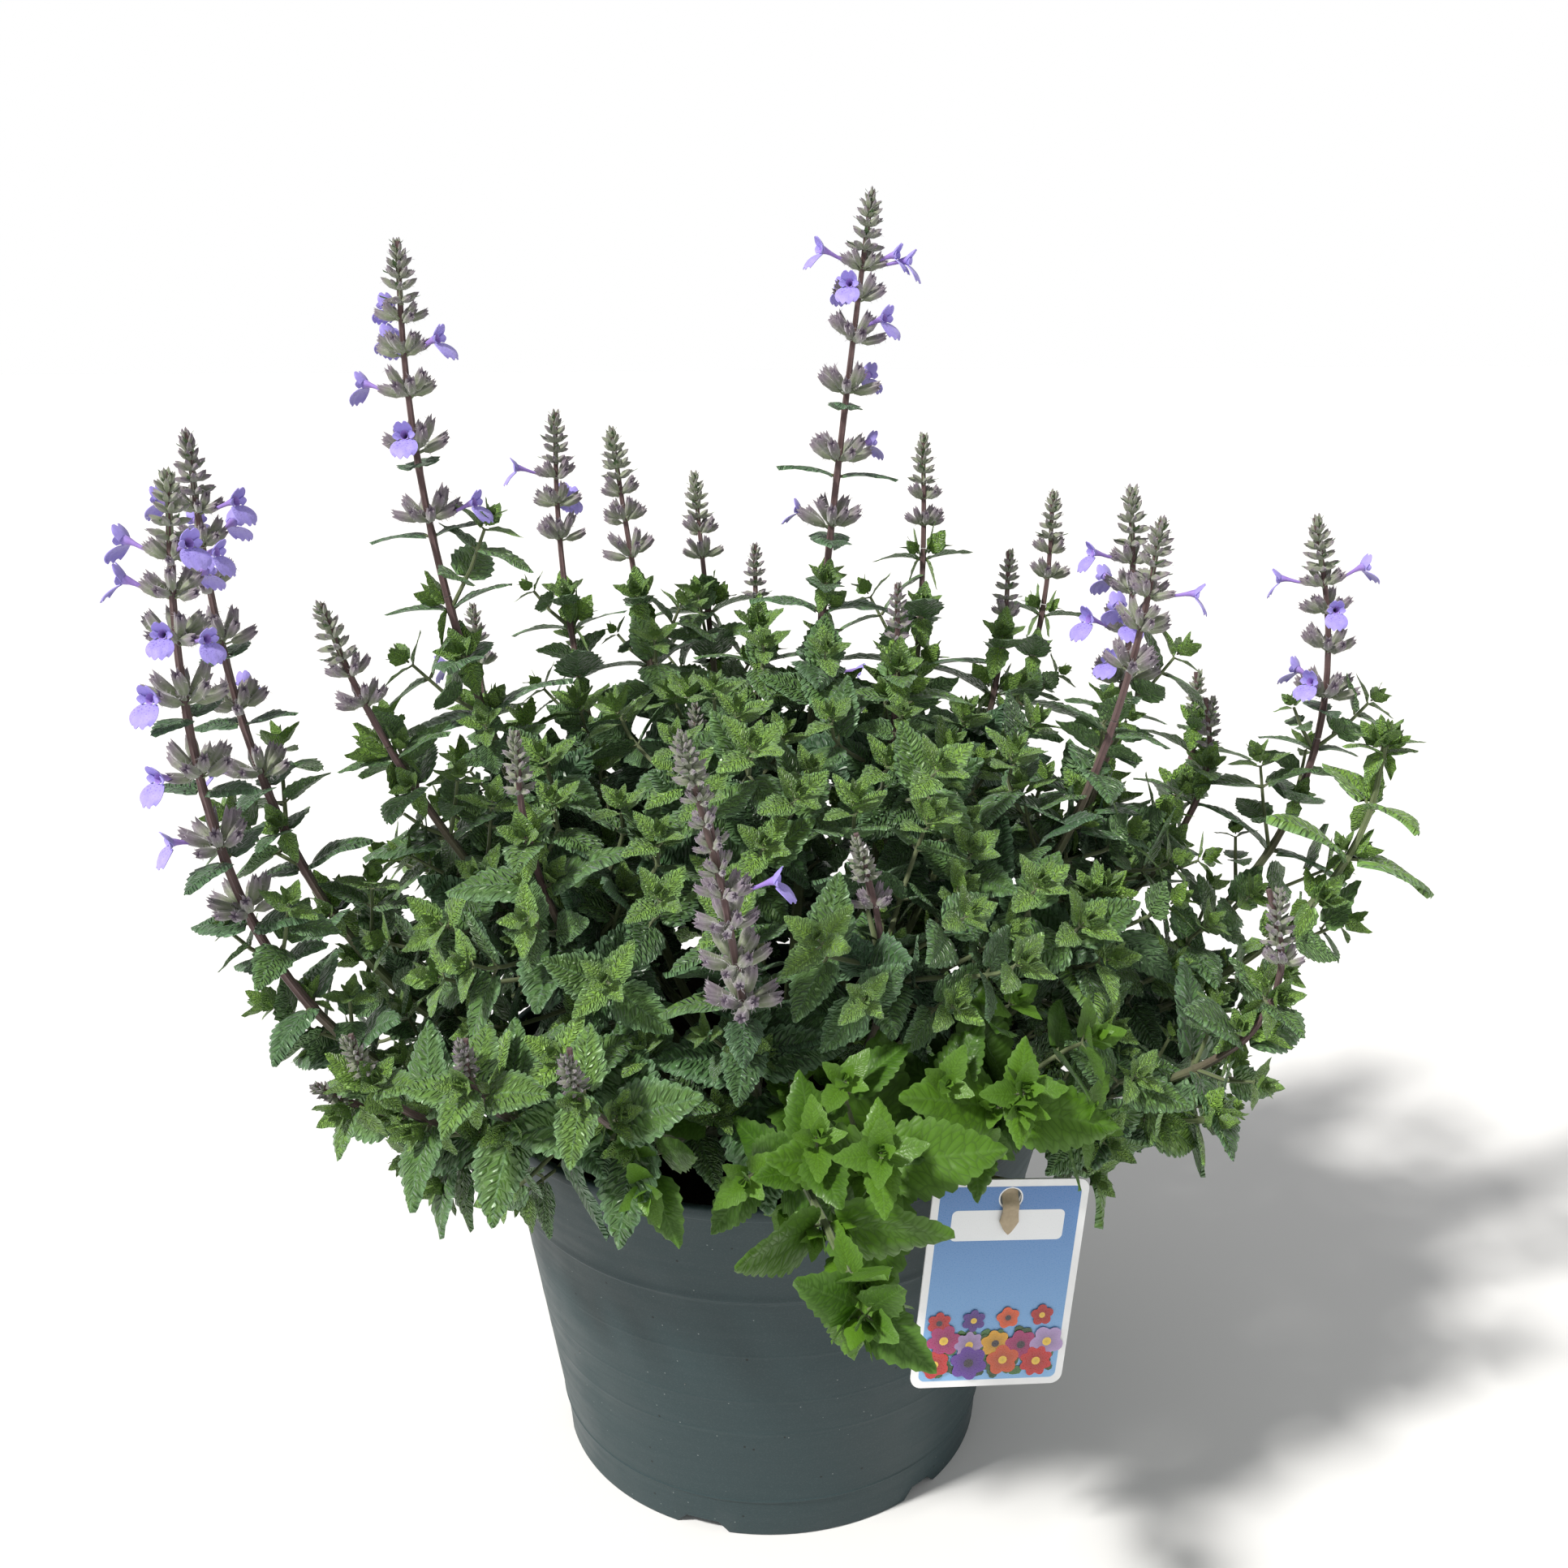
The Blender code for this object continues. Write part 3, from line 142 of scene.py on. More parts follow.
# One row a stem: name, a point half-way up its curve, its tip, the length of its flowering part, the
# number of open flowers, whether its spike has a colour of its own, and the size of its leaves
Stem = namedtuple("Stem", "name middle tip spike flowers coloured leaf")
STEMS = tuple(Stem(*row) for row in (
    ("left_outer", (-0.159, -0.030, 0.230), (-0.192, -0.040, 0.412), 0.140, 3, True, 0.90),
    ("left_front", (-0.160, -0.082, 0.226), (-0.178, -0.100, 0.406), 0.165, 4, True, 0.90),
    ("left_tall", (-0.108, 0.000, 0.310), (-0.126, 0.000, 0.473), 0.125, 3, True, 1.00),
    ("left_inner", (-0.113, -0.040, 0.266), (-0.150, -0.050, 0.356), 0.055, 0, True, 0.95),
    ("back_left", (-0.102, 0.060, 0.241), (-0.126, 0.100, 0.326), 0.045, 1, False, 0.90),
    ("back_left_inner", (-0.074, 0.070, 0.277), (-0.087, 0.100, 0.407), 0.075, 2, True, 0.95),
    ("back_centre_left", (-0.042, 0.060, 0.273), (-0.063, 0.090, 0.401), 0.068, 0, True, 0.95),
    ("back_centre", (-0.019, 0.080, 0.267), (-0.031, 0.130, 0.378), 0.050, 0, True, 0.95),
    ("centre_back", (-0.003, 0.030, 0.254), (-0.004, 0.050, 0.359), 0.032, 0, False, 0.95),
    ("tall", (0.019, 0.020, 0.307), (0.040, 0.030, 0.490), 0.140, 4, True, 1.00),
    ("back_right_inner", (0.058, 0.070, 0.258), (0.068, 0.110, 0.396), 0.048, 0, True, 0.95),
    ("centre_right", (0.042, -0.010, 0.254), (0.048, -0.010, 0.354), 0.030, 0, False, 1.00),
    ("right_inner", (0.083, 0.050, 0.253), (0.102, 0.080, 0.351), 0.036, 0, False, 0.95),
    ("back_right", (0.107, 0.100, 0.260), (0.128, 0.130, 0.369), 0.050, 0, True, 0.90),
    ("right_tall", (0.119, -0.006, 0.256), (0.134, 0.004, 0.386), 0.080, 3, True, 0.95),
    ("right_tall_front", (0.104, -0.036, 0.254), (0.137, -0.034, 0.380), 0.072, 2, True, 0.95),
    ("right_outer", (0.200, 0.022, 0.232), (0.212, 0.030, 0.371), 0.088, 3, True, 0.90),
    ("right_back", (0.159, 0.060, 0.220), (0.187, 0.090, 0.296), 0.020, 0, False, 0.90),
    ("right_middle", (0.155, 0.022, 0.228), (0.175, 0.030, 0.300), 0.026, 0, False, 0.90),
    ("right_leafy", (0.185, -0.024, 0.212), (0.227, -0.024, 0.295), 0.000, 0, False, 1.05),
    ("centre", (-0.019, -0.020, 0.232), (-0.026, -0.020, 0.312), 0.035, 0, False, 1.00),
    ("front_spike", (-0.007, -0.128, 0.236), (-0.017, -0.150, 0.314), 0.088, 1, True, 1.00),
    ("front_right_spike", (0.037, -0.090, 0.218), (0.028, -0.110, 0.293), 0.045, 0, True, 1.00),
    ("front_left_spike", (-0.068, -0.080, 0.244), (-0.080, -0.090, 0.322), 0.034, 0, True, 1.00),
    ("right_low_spike", (0.155, -0.080, 0.196), (0.167, -0.090, 0.265), 0.038, 0, True, 1.00),
    ("left_low_bud", (-0.105, -0.110, 0.190), (-0.131, -0.130, 0.235), 0.016, 0, False, 0.95),
    ("front_left_bud", (-0.078, -0.128, 0.201), (-0.091, -0.150, 0.243), 0.012, 0, False, 0.95),
    ("front_bud", (-0.048, -0.140, 0.207), (-0.058, -0.165, 0.247), 0.016, 0, False, 0.95),
    ("left_rim_bud", (-0.112, -0.086, 0.180), (-0.149, -0.112, 0.208), 0.012, 0, False, 0.95),
    ("front_bright", (0.030, -0.128, 0.187), (0.033, -0.166, 0.211), 0.000, 0, False, 1.15),
    ("front_hanging", (0.012, -0.144, 0.186), (0.028, -0.188, 0.172), 0.000, 0, False, 1.00),
    ("label_side", (0.066, -0.106, 0.191), (0.078, -0.142, 0.218), 0.000, 0, False, 1.15),
    ("right_rim", (0.107, -0.074, 0.172), (0.150, -0.096, 0.182), 0.000, 0, False, 1.00),
    ("right_front", (0.088, -0.052, 0.202), (0.116, -0.062, 0.252), 0.000, 0, False, 1.00),
    ("rear", (0.020, 0.110, 0.235), (0.030, 0.175, 0.300), 0.040, 1, False, 1.00),
    ("rear_left", (-0.085, 0.105, 0.205), (-0.120, 0.160, 0.255), 0.020, 0, False, 1.00),
    ("rear_right", (0.078, 0.098, 0.205), (0.125, 0.152, 0.250), 0.016, 0, False, 1.00),
    ("rear_low", (-0.025, 0.115, 0.192), (-0.045, 0.168, 0.208), 0.000, 0, False, 1.05),
))

Leaf = namedtuple("Leaf", "base heading up length droop fold at face", defaults=(0.0, 0))
Whorl = namedtuple("Whorl", "base axis side radius lift points at turn")
Head = namedtuple("Head", "base axis side length radius at turn")
Flower = namedtuple("Flower", "base heading up length")
Stretch = namedtuple("Stretch", "points radii side start end")


# The curve of a stem

def root_places():
    """Where each stem leaves the soil: below its own lean, and no nearer another than ROOT_SPACING."""
    places = []
    for stem in STEMS:
        lean = Vector(stem.middle[:2])
        places.append(lean * min(ROOT_SPREAD, CROWN_RADIUS / max(lean.length, MM)))
    for _ in range(ROOT_ROUNDS):
        for i, one in enumerate(places):
            for other in places[:i]:
                apart = one - other
                short = ROOT_SPACING - apart.length
                if short > 0:
                    push = apart.normalized() * short * 0.5
                    one += push
                    other -= push
            if one.length > CROWN_RADIUS:
                one *= CROWN_RADIUS / one.length
    return places


def stem_path(stem, root):
    """Points up a stem: straight out of its hole, then one bend through its middle to its tip."""
    start = Vector((root.x, root.y, SOIL_TOP + STEM_STRAIGHT))
    middle = Vector(stem.middle)
    tip = Vector(stem.tip)
    pull = middle * 2 - (start + tip) * 0.5
    steps = max(3, round(((middle - start).length + (tip - middle).length) / STEM_SEGMENT))
    path = [Vector((root.x, root.y, SOIL_TOP - HOLE_DEPTH + FIT))]
    for i in range(steps + 1):
        t = i / steps
        path.append(start * (1 - t) ** 2 + pull * 2 * t * (1 - t) + tip * t * t)
    return path


class Route:
    """Arc length, position, direction and a side vector along a stem's path."""

    def __init__(self, path):
        self.path = path
        self.lengths = [0.0]
        for a, b in zip(path, path[1:]):
            self.lengths.append(self.lengths[-1] + (b - a).length)
        self.total = self.lengths[-1]
        side = Vector((1, 0, 0))
        self.sides = []
        for i in range(len(path)):
            along = self.direction(i)
            side = (side - along * side.dot(along)).normalized()
            self.sides.append(side.copy())

    def direction(self, i):
        low = max(i - 1, 0)
        high = min(i + 1, len(self.path) - 1)
        return (self.path[high] - self.path[low]).normalized()

    def segment(self, s):
        """The number of the path's segment at the arc length s, and the part of the way along it."""
        s = min(max(s, 0.0), self.total)
        i = 0
        while i < len(self.lengths) - 2 and self.lengths[i + 1] < s:
            i += 1
        return i, (s - self.lengths[i]) / (self.lengths[i + 1] - self.lengths[i])

    def at(self, s):
        """Position, direction and side at the arc length s."""
        i, part = self.segment(s)
        where = self.path[i].lerp(self.path[i + 1], part)
        along = self.direction(i).lerp(self.direction(i + 1), part).normalized()
        side = self.sides[i].lerp(self.sides[i + 1], part)
        side = (side - along * side.dot(along)).normalized()
        return where, along, side

    def radius(self, s):
        """Half the diagonal of the square stem."""
        return 1.2 * (STEM_BASE_RADIUS + (STEM_TIP_RADIUS - STEM_BASE_RADIUS) * s / self.total)


# Meshes of the plant's organs: each returns its points and faces; pad grows it for a clearance test

STEM_SIDES = 4


def spoke_at(side, other, angle):
    """The direction at an angle from side toward other."""
    return side * math.cos(angle) + other * math.sin(angle)


def around(axis, side, angle):
    """A side vector turned about an axis."""
    return spoke_at(side, axis.cross(side), angle)


def tube_mesh(stretch, pad=0.0):
    """A square stem along its points, closed at both ends."""
    verts = []
    faces = []
    last = len(stretch.points) - 1
    sides = STEM_SIDES
    for i, point in enumerate(stretch.points):
        along = (stretch.points[min(i + 1, last)] - stretch.points[max(i - 1, 0)]).normalized()
        side = (stretch.side - along * stretch.side.dot(along)).normalized()
        for k in range(sides):
            spoke = around(along, side, 2 * math.pi * (k + 0.5) / sides)
            verts.append(point + spoke * (stretch.radii[i] + pad))
    for i in range(last):
        for k in range(sides):
            a = i * sides + k
            b = i * sides + (k + 1) % sides
            faces.append((a, b, b + sides, a + sides))
    faces.append(tuple(reversed(range(sides))))
    faces.append(tuple(last * sides + k for k in range(sides)))
    return verts, faces


def leaf_axis(leaf, steps):
    """Points, directions and upper-face normals along a leaf's midrib, which droops under its weight."""
    heading = leaf.heading.normalized()
    across = heading.cross(leaf.up).normalized()
    where = leaf.base.copy()
    rows = []
    for _ in range(steps + 1):
        rows.append((where.copy(), heading.copy(), across.cross(heading).normalized()))
        heading = (heading - Vector((0, 0, leaf.droop / steps))).normalized()
        heading = (heading - across * heading.dot(across)).normalized()
        where += heading * leaf.length / steps
    return rows, across


def leaf_at(rows, part):
    """Position and normal at a part of the way along the midrib."""
    place = part * (len(rows) - 1)
    i = min(int(place), len(rows) - 2)
    step = place - i
    return rows[i][0].lerp(rows[i + 1][0], step), rows[i][2].lerp(rows[i + 1][2], step).normalized()


# Half outline of a leaf, root to tip: part of the way along it, and half width as a part of the widest
BROAD_OUTLINE = ((0.15, 0.80), (0.35, 1.04), (0.42, 0.86), (0.60, 0.88), (0.67, 0.64), (0.86, 0.40))
SMALL_OUTLINE = ((0.17, 0.82), (0.44, 1.00), (0.50, 0.80), (0.76, 0.58))
STALK_AT = 0.11
RIB_AT = 0.42


def leaf_points(leaf, pad=0.0):
    """The outline and midrib points of a leaf, from its stalk to its tip: right, left, top and bottom."""
    rows, across = leaf_axis(leaf, MIDRIB_STEPS)
    outline = BROAD_OUTLINE if leaf.length > BROAD_LEAF else SMALL_OUTLINE
    half = leaf.length * LEAF_WIDTH_RATIO * 0.5 + pad
    thick = LEAF_THICK * 0.5 + pad
    sides = []
    for sign in (1, -1):
        where, normal = leaf_at(rows, STALK_AT)
        edge = [(STALK_AT, where + across * sign * (STALK_HALF + pad))]
        for part, wide in outline:
            where, normal = leaf_at(rows, part)
            edge.append((part, where + (across * sign + normal * leaf.fold) * half * wide))
        sides.append(edge)
    for sign in (1, -1):
        rib = []
        for part in (STALK_AT, RIB_AT):
            where, normal = leaf_at(rows, part)
            rib.append((part, where + normal * sign * thick))
        sides.append(rib)
    tip = rows[-1][0] + (rows[-1][0] - rows[-2][0]).normalized() * pad
    return sides, tip


def blade_faces(verts, sides, tip):
    """Add a leaf's points to verts; return its faces and the numbers of its stalk's four points."""
    tip_number = len(verts)
    verts.append(tip)
    numbered = []
    for row in sides:
        numbers = []
        for part, point in row:
            numbers.append((part, len(verts)))
            verts.append(point)
        numbered.append(numbers + [(1.0, tip_number)])
    right, left, upper, lower = numbered
    faces = []
    for rib in (upper, lower):
        for edge in (right, left):
            faces += strip(edge, rib)
    return faces, [row[0][1] for row in numbered]


def strip(one, two):
    """Triangles between two rows of numbered points, each with its place along the strip."""
    made = []
    i = 0
    j = 0
    while i < len(one) - 1 or j < len(two) - 1:
        one_next = one[i + 1][0] if i < len(one) - 1 else math.inf
        two_next = two[j + 1][0] if j < len(two) - 1 else math.inf
        if one_next <= two_next:
            face = (one[i][1], one[i + 1][1], two[j][1])
            i += 1
        else:
            face = (one[i][1], two[j + 1][1], two[j][1])
            j += 1
        if len(set(face)) == 3:
            made.append(face)
    return made


def leaf_mesh(leaf, pad=0.0):
    """A leaf by itself, run back to the middle of its stem."""
    sides, tip = leaf_points(leaf, pad)
    verts = [leaf.base]
    faces, (right, left, top, bottom) = blade_faces(verts, sides, tip)
    faces += [(0, right, top), (0, top, left), (0, left, bottom), (0, bottom, right)]
    return verts, faces


def star_ring(whorl, pad=0.0):
    """The outline of a whorl: two opposite bunches of calyxes, as points with valleys between them."""
    ring = []
    for k in range(whorl.points * 2):
        turn = math.pi * k / whorl.points
        facing = abs(math.cos(turn))
        if k % 2:
            reach = (0.14 + 0.14 * facing) * whorl.radius + 2.0 * MM + pad
            rise = 0.0
        else:
            reach = (0.62 + 0.38 * facing) * whorl.radius + pad
            rise = whorl.lift * (0.55 + 0.45 * math.cos(2.4 * k))
        spoke = around(whorl.axis, whorl.side, turn)
        ring.append((whorl.turn + turn, whorl.base + spoke * reach + whorl.axis * rise))
    return ring


def whorl_mesh(whorl, pad=0.0):
    """A whorl by itself, for clearance tests."""
    verts = [whorl.base - whorl.axis * (WHORL_BELOW + pad), whorl.base + whorl.axis * (WHORL_ABOVE + pad)]
    verts += [point for _, point in star_ring(whorl, pad)]
    count = len(verts) - 2
    faces = []
    for k in range(count):
        a = 2 + k
        b = 2 + (k + 1) % count
        faces.append((a, b, 1))
        faces.append((b, a, 0))
    return verts, faces


# Rings of a head of buds: part of the way up it, part of its width, number of buds
HEAD_RINGS = ((0.16, 0.95, 4), (0.46, 1.0, 3), (0.76, 0.72, 3))


def head_rings(head, pad=0.0):
    """The close head of buds at a tip: rings whose points stand out, each ring turned half a point."""
    rings = []
    for i, (part, wide, points) in enumerate(HEAD_RINGS):
        ring = []
        for k in range(points * 2):
            turn = math.pi * (k + (i % 2)) / points
            reach = head.radius * wide * (0.62 if k % 2 else 1.0) + pad
            jut = 0.0 if k % 2 else 0.13 * head.length
            spoke = around(head.axis, head.side, turn)
            rise = head.axis * (head.length * part + jut)
            ring.append((head.turn + turn, head.base + rise + spoke * reach))
        rings.append(ring)
    return rings, head.base + head.axis * (head.length + pad)


def head_mesh(head, pad=0.0):
    """A head of buds by itself, for clearance tests."""
    rings, tip = head_rings(head, pad)
    verts = [head.base, tip]
    faces = []
    rows = [numbered_ring(verts, ring) for ring in rings]
    faces += fan(rows[0], 0) + fan(rows[-1], 1)
    for low, high in zip(rows, rows[1:]):
        faces += sleeve(low, high)
    return verts, faces


def numbered_ring(verts, ring):
    """Add a ring of (angle, point) to verts; return its (angle, number) in order round the axis."""
    row = []
    for angle, point in ring:
        row.append((angle % (2 * math.pi), len(verts)))
        verts.append(point)
    return sorted(row)


def fan(row, centre):
    """Triangles between a ring of (angle, number) and a point."""
    return [(row[k][1], row[(k + 1) % len(row)][1], centre) for k in range(len(row))]


def sleeve(low, high):
    """Triangles between two rings with any numbers of points, matched by angle."""
    full = 2 * math.pi
    start = min(range(len(high)), key=lambda k: abs((high[k][0] - low[0][0] + math.pi) % full - math.pi))
    shift = high[start][0] - low[0][0]
    lap = full * round(shift / full)
    turned = []
    for k in range(len(high) + 1):
        number = start + k
        angle = high[number % len(high)][0] + full * (number // len(high)) - lap
        turned.append((angle, high[number % len(high)][1]))
    closed = low + [(low[0][0] + full, low[0][1])]
    return strip(closed, turned)


# An open flower's points as parts of its length: ahead, aside and above; first its root, then its throat,
# its hood and the two corners of its lower lip
FLOWER_POINTS = (
    (0.0, 0.0, 0.0), (0.66, 0.0, 0.14), (0.66, 0.12, 0.0), (0.62, 0.0, -0.12), (0.66, -0.12, 0.0),
    (0.86, 0.0, 0.25), (0.98, 0.19, -0.25), (0.98, -0.19, -0.25),
)
FLOWER_FACES = (
    (0, 1, 2), (0, 2, 3), (0, 3, 4), (0, 4, 1), (1, 2, 5), (4, 1, 5), (2, 3, 6), (3, 4, 7), (3, 6, 7),
    (5, 2, 4), (2, 4, 6), (4, 6, 7),
)


def flower_mesh(flower, pad=0.0):
    """An open flower: a tube that widens to a hooded upper lip and a broad lower lip."""
    along = flower.heading.normalized()
    across = along.cross(flower.up).normalized()
    rise = across.cross(along)
    size = flower.length
    verts = []
    for ahead, aside, above in FLOWER_POINTS:
        outward = (along * ahead + across * aside + rise * above).normalized() * pad
        verts.append(flower.base + (along * ahead + across * aside + rise * above) * size + outward)
    return verts, list(FLOWER_FACES)


MAKERS = {
    "Leaf": leaf_mesh,
    "Whorl": whorl_mesh,
    "Head": head_mesh,
    "Flower": flower_mesh,
    "Stretch": tube_mesh,
}


def organ_mesh(organ, pad=0.0):
    """Points and faces of any organ."""
    return MAKERS[type(organ).__name__](organ, pad)


# What the foliage is kept clear of: each other node's organs, the pot and the label

class Thicket:
    """The organs placed so far, by node, for overlap tests with a small clearance."""

    def __init__(self):
        self.items = []

    def tree(self, organ):
        verts, faces = organ_mesh(organ, CLEARANCE)
        return self.boxed(verts, faces)

    def boxed(self, verts, faces):
        low = Vector([min(v[i] for v in verts) for i in range(3)])
        high = Vector([max(v[i] for v in verts) for i in range(3)])
        return BVHTree.FromPolygons(verts, faces), low, high

    def add_mesh(self, node, verts, faces):
        self.items.append((node, None, self.boxed([Vector(v) for v in verts], faces)))

    def add(self, node, organ):
        self.items.append((node, organ, self.tree(organ)))

    def hits(self, organ, node, mates=()):
        """The names of the nodes that an organ would cross; mates are organs it may touch."""
        tree, low, high = self.tree(organ)
        found = []
        for other_node, other, (other_tree, other_low, other_high) in self.items:
            if other is not None and any(other is mate for mate in mates):
                continue
            if other_node == node and isinstance(other, Stretch):
                continue
            if any(low[i] > other_high[i] or high[i] < other_low[i] for i in range(3)):
                continue
            if tree.overlap(other_tree):
                found.append(other_node)
        return found


def turned_wall(profile, segments=28):
    """A plain round wall used only for clearance tests."""
    verts = []
    faces = []
    for radius, z in profile:
        for k in range(segments):
            turn = 2 * math.pi * k / segments
            verts.append((radius * math.cos(turn), radius * math.sin(turn), z))
    for i in range(len(profile) - 1):
        for k in range(segments):
            n = (k + 1) % segments
            a = i * segments
            faces.append((a + k, a + n, a + segments + n, a + segments + k))
    return verts, faces


def card_axes():
    """The label card's own right, up and outward directions, as it hangs."""
    out = Vector((math.sin(CARD_TURN), -math.cos(CARD_TURN), math.sin(CARD_LEAN))).normalized()
    right = Vector((0, 0, 1)).cross(out).normalized()
    up = out.cross(right)
    return around(out, right, CARD_ROLL), up * math.cos(CARD_ROLL) - right * math.sin(CARD_ROLL), out


def card_keepout():
    """A box round the label card and its strap, used only for clearance tests."""
    right, up, out = card_axes()
    verts = []
    for sideways in (-CARD_WIDTH * 0.5 - MM, CARD_WIDTH * 0.5 + MM):
        for rise in (-CARD_HEIGHT - MM, MM):
            for depth in (-2 * MM, 2.5 * MM):
                verts.append(CARD_TOP + right * sideways + up * rise + out * depth)
    faces = [(0, 1, 3, 2), (4, 6, 7, 5), (0, 4, 5, 1), (2, 3, 7, 6), (0, 2, 6, 4), (1, 5, 7, 3)]
    return verts, faces


# Where the organs go on each stem

def spike_organs(stem, route, draw):
    """The flowering part: whorls that close up into a head of buds, bracts and open flowers."""
    organs = []
    if not stem.spike:
        return organs
    head_length = min(HEAD_LENGTH, 0.55 * stem.spike + 5 * MM)
    thin = 0.62 + 0.38 * min(stem.spike / 0.06, 1.0)
    top = route.total - head_length
    where, along, side = route.at(top)
    organs.append(Head(where, along, side, head_length + 2 * MM, HEAD_RADIUS * thin, top, 0.0))
    start = route.total - stem.spike + 7 * MM
    s = top - 7 * MM
    gap = FIRST_GAP
    rank = 0
    flowers_left = stem.flowers
    while s > start:
        where, along, side = route.at(s)
        angle = math.pi * 0.5 * (rank % 2)
        spoke = around(along, side, angle)
        size = CALYX_LENGTH * (0.95 + 0.14 * min(rank, 3)) * thin
        organs.append(Whorl(where, along, spoke, size, WHORL_LIFT, WHORL_POINTS, s, angle))
        for sign in (1, -1):
            if flowers_left and draw.random() < FLOWER_CHANCE:
                flowers_left -= 1
                swing = draw.uniform(-0.5, 0.5)
                reach = spoke * sign * math.cos(swing) + along.cross(spoke) * math.sin(swing)
                heading = (reach + Vector((0, 0, 0.12))).normalized()
                organs.append(Flower(where + along * MM, heading, Vector((0, 0, 1)), size + FLOWER_LENGTH))
            if gap > BRACT_GAP:
                at = s - BRACT_BELOW
                base, bract_up, bract_side = route.at(at)
                face = (2 * (rank % 2) + (0 if sign > 0 else 2) - (rank % 2)) % 4
                facing = around(bract_up, bract_side, face * math.pi / 2)
                length = LEAF_LENGTH * (0.34 + 0.07 * rank) * stem.leaf
                heading = (facing + bract_up * 0.25).normalized()
                organs.append(Leaf(base, heading, bract_up, length, BRACT_DROOP, BRACT_FOLD, at, face))
        s -= gap
        gap = min(gap * GAP_GROWTH, WIDEST_GAP)
        rank += 1
    return organs


def leaf_tries(route, at, face, length, draw):
    """The same leaf, then the same leaf swung, lifted and shortened, until one fits."""
    where, along, side = route.at(at)
    spoke = around(along, side, face * math.pi / 2)
    for trial in range(LEAF_TRIES):
        swing = draw.uniform(-0.14, 0.14) * (1 + trial * 0.25)
        lift = LEAF_LIFT + draw.uniform(-0.1, 0.1) * (1 + trial * 0.35)
        shorter = 1.0 - 0.02 * trial
        heading = (around(along, spoke, swing) + along * lift).normalized()
        droop = draw.uniform(0.35, 0.8)
        yield Leaf(where, heading, along, length * shorter, droop, LEAF_FOLD, at, face)


def leafy_places(stem, route):
    """Arc lengths of the leaf pairs and the size of each pair's leaves, from the soil up."""
    places = []
    end = route.total - stem.spike - 5 * MM if stem.spike else route.total - 3 * MM
    s = HOLE_DEPTH + FIRST_NODE
    while s < end - 6 * MM:
        rise = (s - HOLE_DEPTH) / (end - HOLE_DEPTH)
        size = 0.78 + 0.5 * math.sin(math.pi * min(rise * 0.95, 1.0)) - 0.18 * rise
        places.append([s, LEAF_LENGTH * size * stem.leaf])
        s += NODE_SPACING * (1.0 - 0.25 * rise)
    places.append([end, LEAF_LENGTH * 0.62 * stem.leaf])
    if not stem.spike:
        places[-1][1] = LEAF_LENGTH * 0.42 * stem.leaf
    return places


def grow():
    """Every node of the plant with the organs it is made of."""
    thicket = Thicket()
    rim = RIM_RADIUS + MM
    thicket.add_mesh("pot", *turned_wall(((COLLAR_RADIUS - 4 * MM, COLLAR_Z), (rim, POT_HEIGHT + MM),
                                          (rim - 6 * MM, POT_HEIGHT + MM), (rim - 8 * MM, SOIL_TOP))))
    thicket.add_mesh("soil", *turned_wall(((MM, SOIL_TOP + 1.5 * MM), (rim - 8 * MM, SOIL_TOP + 1.5 * MM))))
    thicket.add_mesh("label", *card_keepout())
    nodes = {}
    routes = {}
    for stem, root in zip(STEMS, root_places()):
        route = Route(stem_path(stem, root))
        routes[stem.name] = route
        spray = "spray_" + stem.name
        nodes[spray] = []
        joint = route.total
        if stem.coloured:
            nodes["spike_" + stem.name] = []
            joint = route.total - stem.spike
        add_stretch(thicket, nodes, spray, route, 0.0, joint - 0.5 * FIT)
        if stem.coloured:
            add_stretch(thicket, nodes, "spike_" + stem.name, route, joint + 0.5 * FIT, route.total)
    for index, stem in enumerate(STEMS):
        node = ("spike_" if stem.coloured else "spray_") + stem.name
        draw = random.Random(SEED * 100 + index)
        for organ in spike_organs(stem, routes[stem.name], draw):
            if isinstance(organ, (Flower, Leaf)) and thicket.hits(organ, node, nodes[node]):
                continue
            nodes[node].append(organ)
            thicket.add(node, organ)
    for index, stem in enumerate(STEMS):
        node = "spray_" + stem.name
        draw = random.Random(SEED * 1000 + index)
        route = routes[stem.name]
        first_face = draw.randrange(2)
        for rank, (s, length) in enumerate(reversed(leafy_places(stem, route)[-LEAF_PAIRS:])):
            mates = []
            for half_turn in (0, 2):
                face = (first_face + rank + half_turn) % 4
                for leaf in leaf_tries(route, s, face, length * draw.uniform(0.92, 1.08), draw):
                    if not thicket.hits(leaf, node, mates):
                        nodes[node].append(leaf)
                        thicket.add(node, leaf)
                        mates.append(leaf)
                        break
    return nodes, routes


def add_stretch(thicket, nodes, node, route, start, end):
    """The bare stem between two arc lengths, through the path's own points."""
    places = [start] + [s for s in route.lengths if start + 3 * MM < s < end - 3 * MM] + [end]
    points = [route.at(s)[0] for s in places]
    radii = [route.radius(s) for s in places]
    stretch = Stretch(points, radii, route.at(start)[2], start, end)
    nodes[node].append(stretch)
    thicket.add(node, stretch)


# Points and faces of the fine pieces

LEAF = "leaf"
YOUNG = "young_leaf"
STEM = "stem"
CALYX = "calyx"
COROLLA = "corolla"
HAIR = "hair"
PLAIN_TONE = (0.5, 0.0, 0.0, 0.0)


def placed(name, data):
    """A new object in the scene."""
    made = bpy.data.objects.new(name, data)
    bpy.context.scene.collection.objects.link(made)
    return made


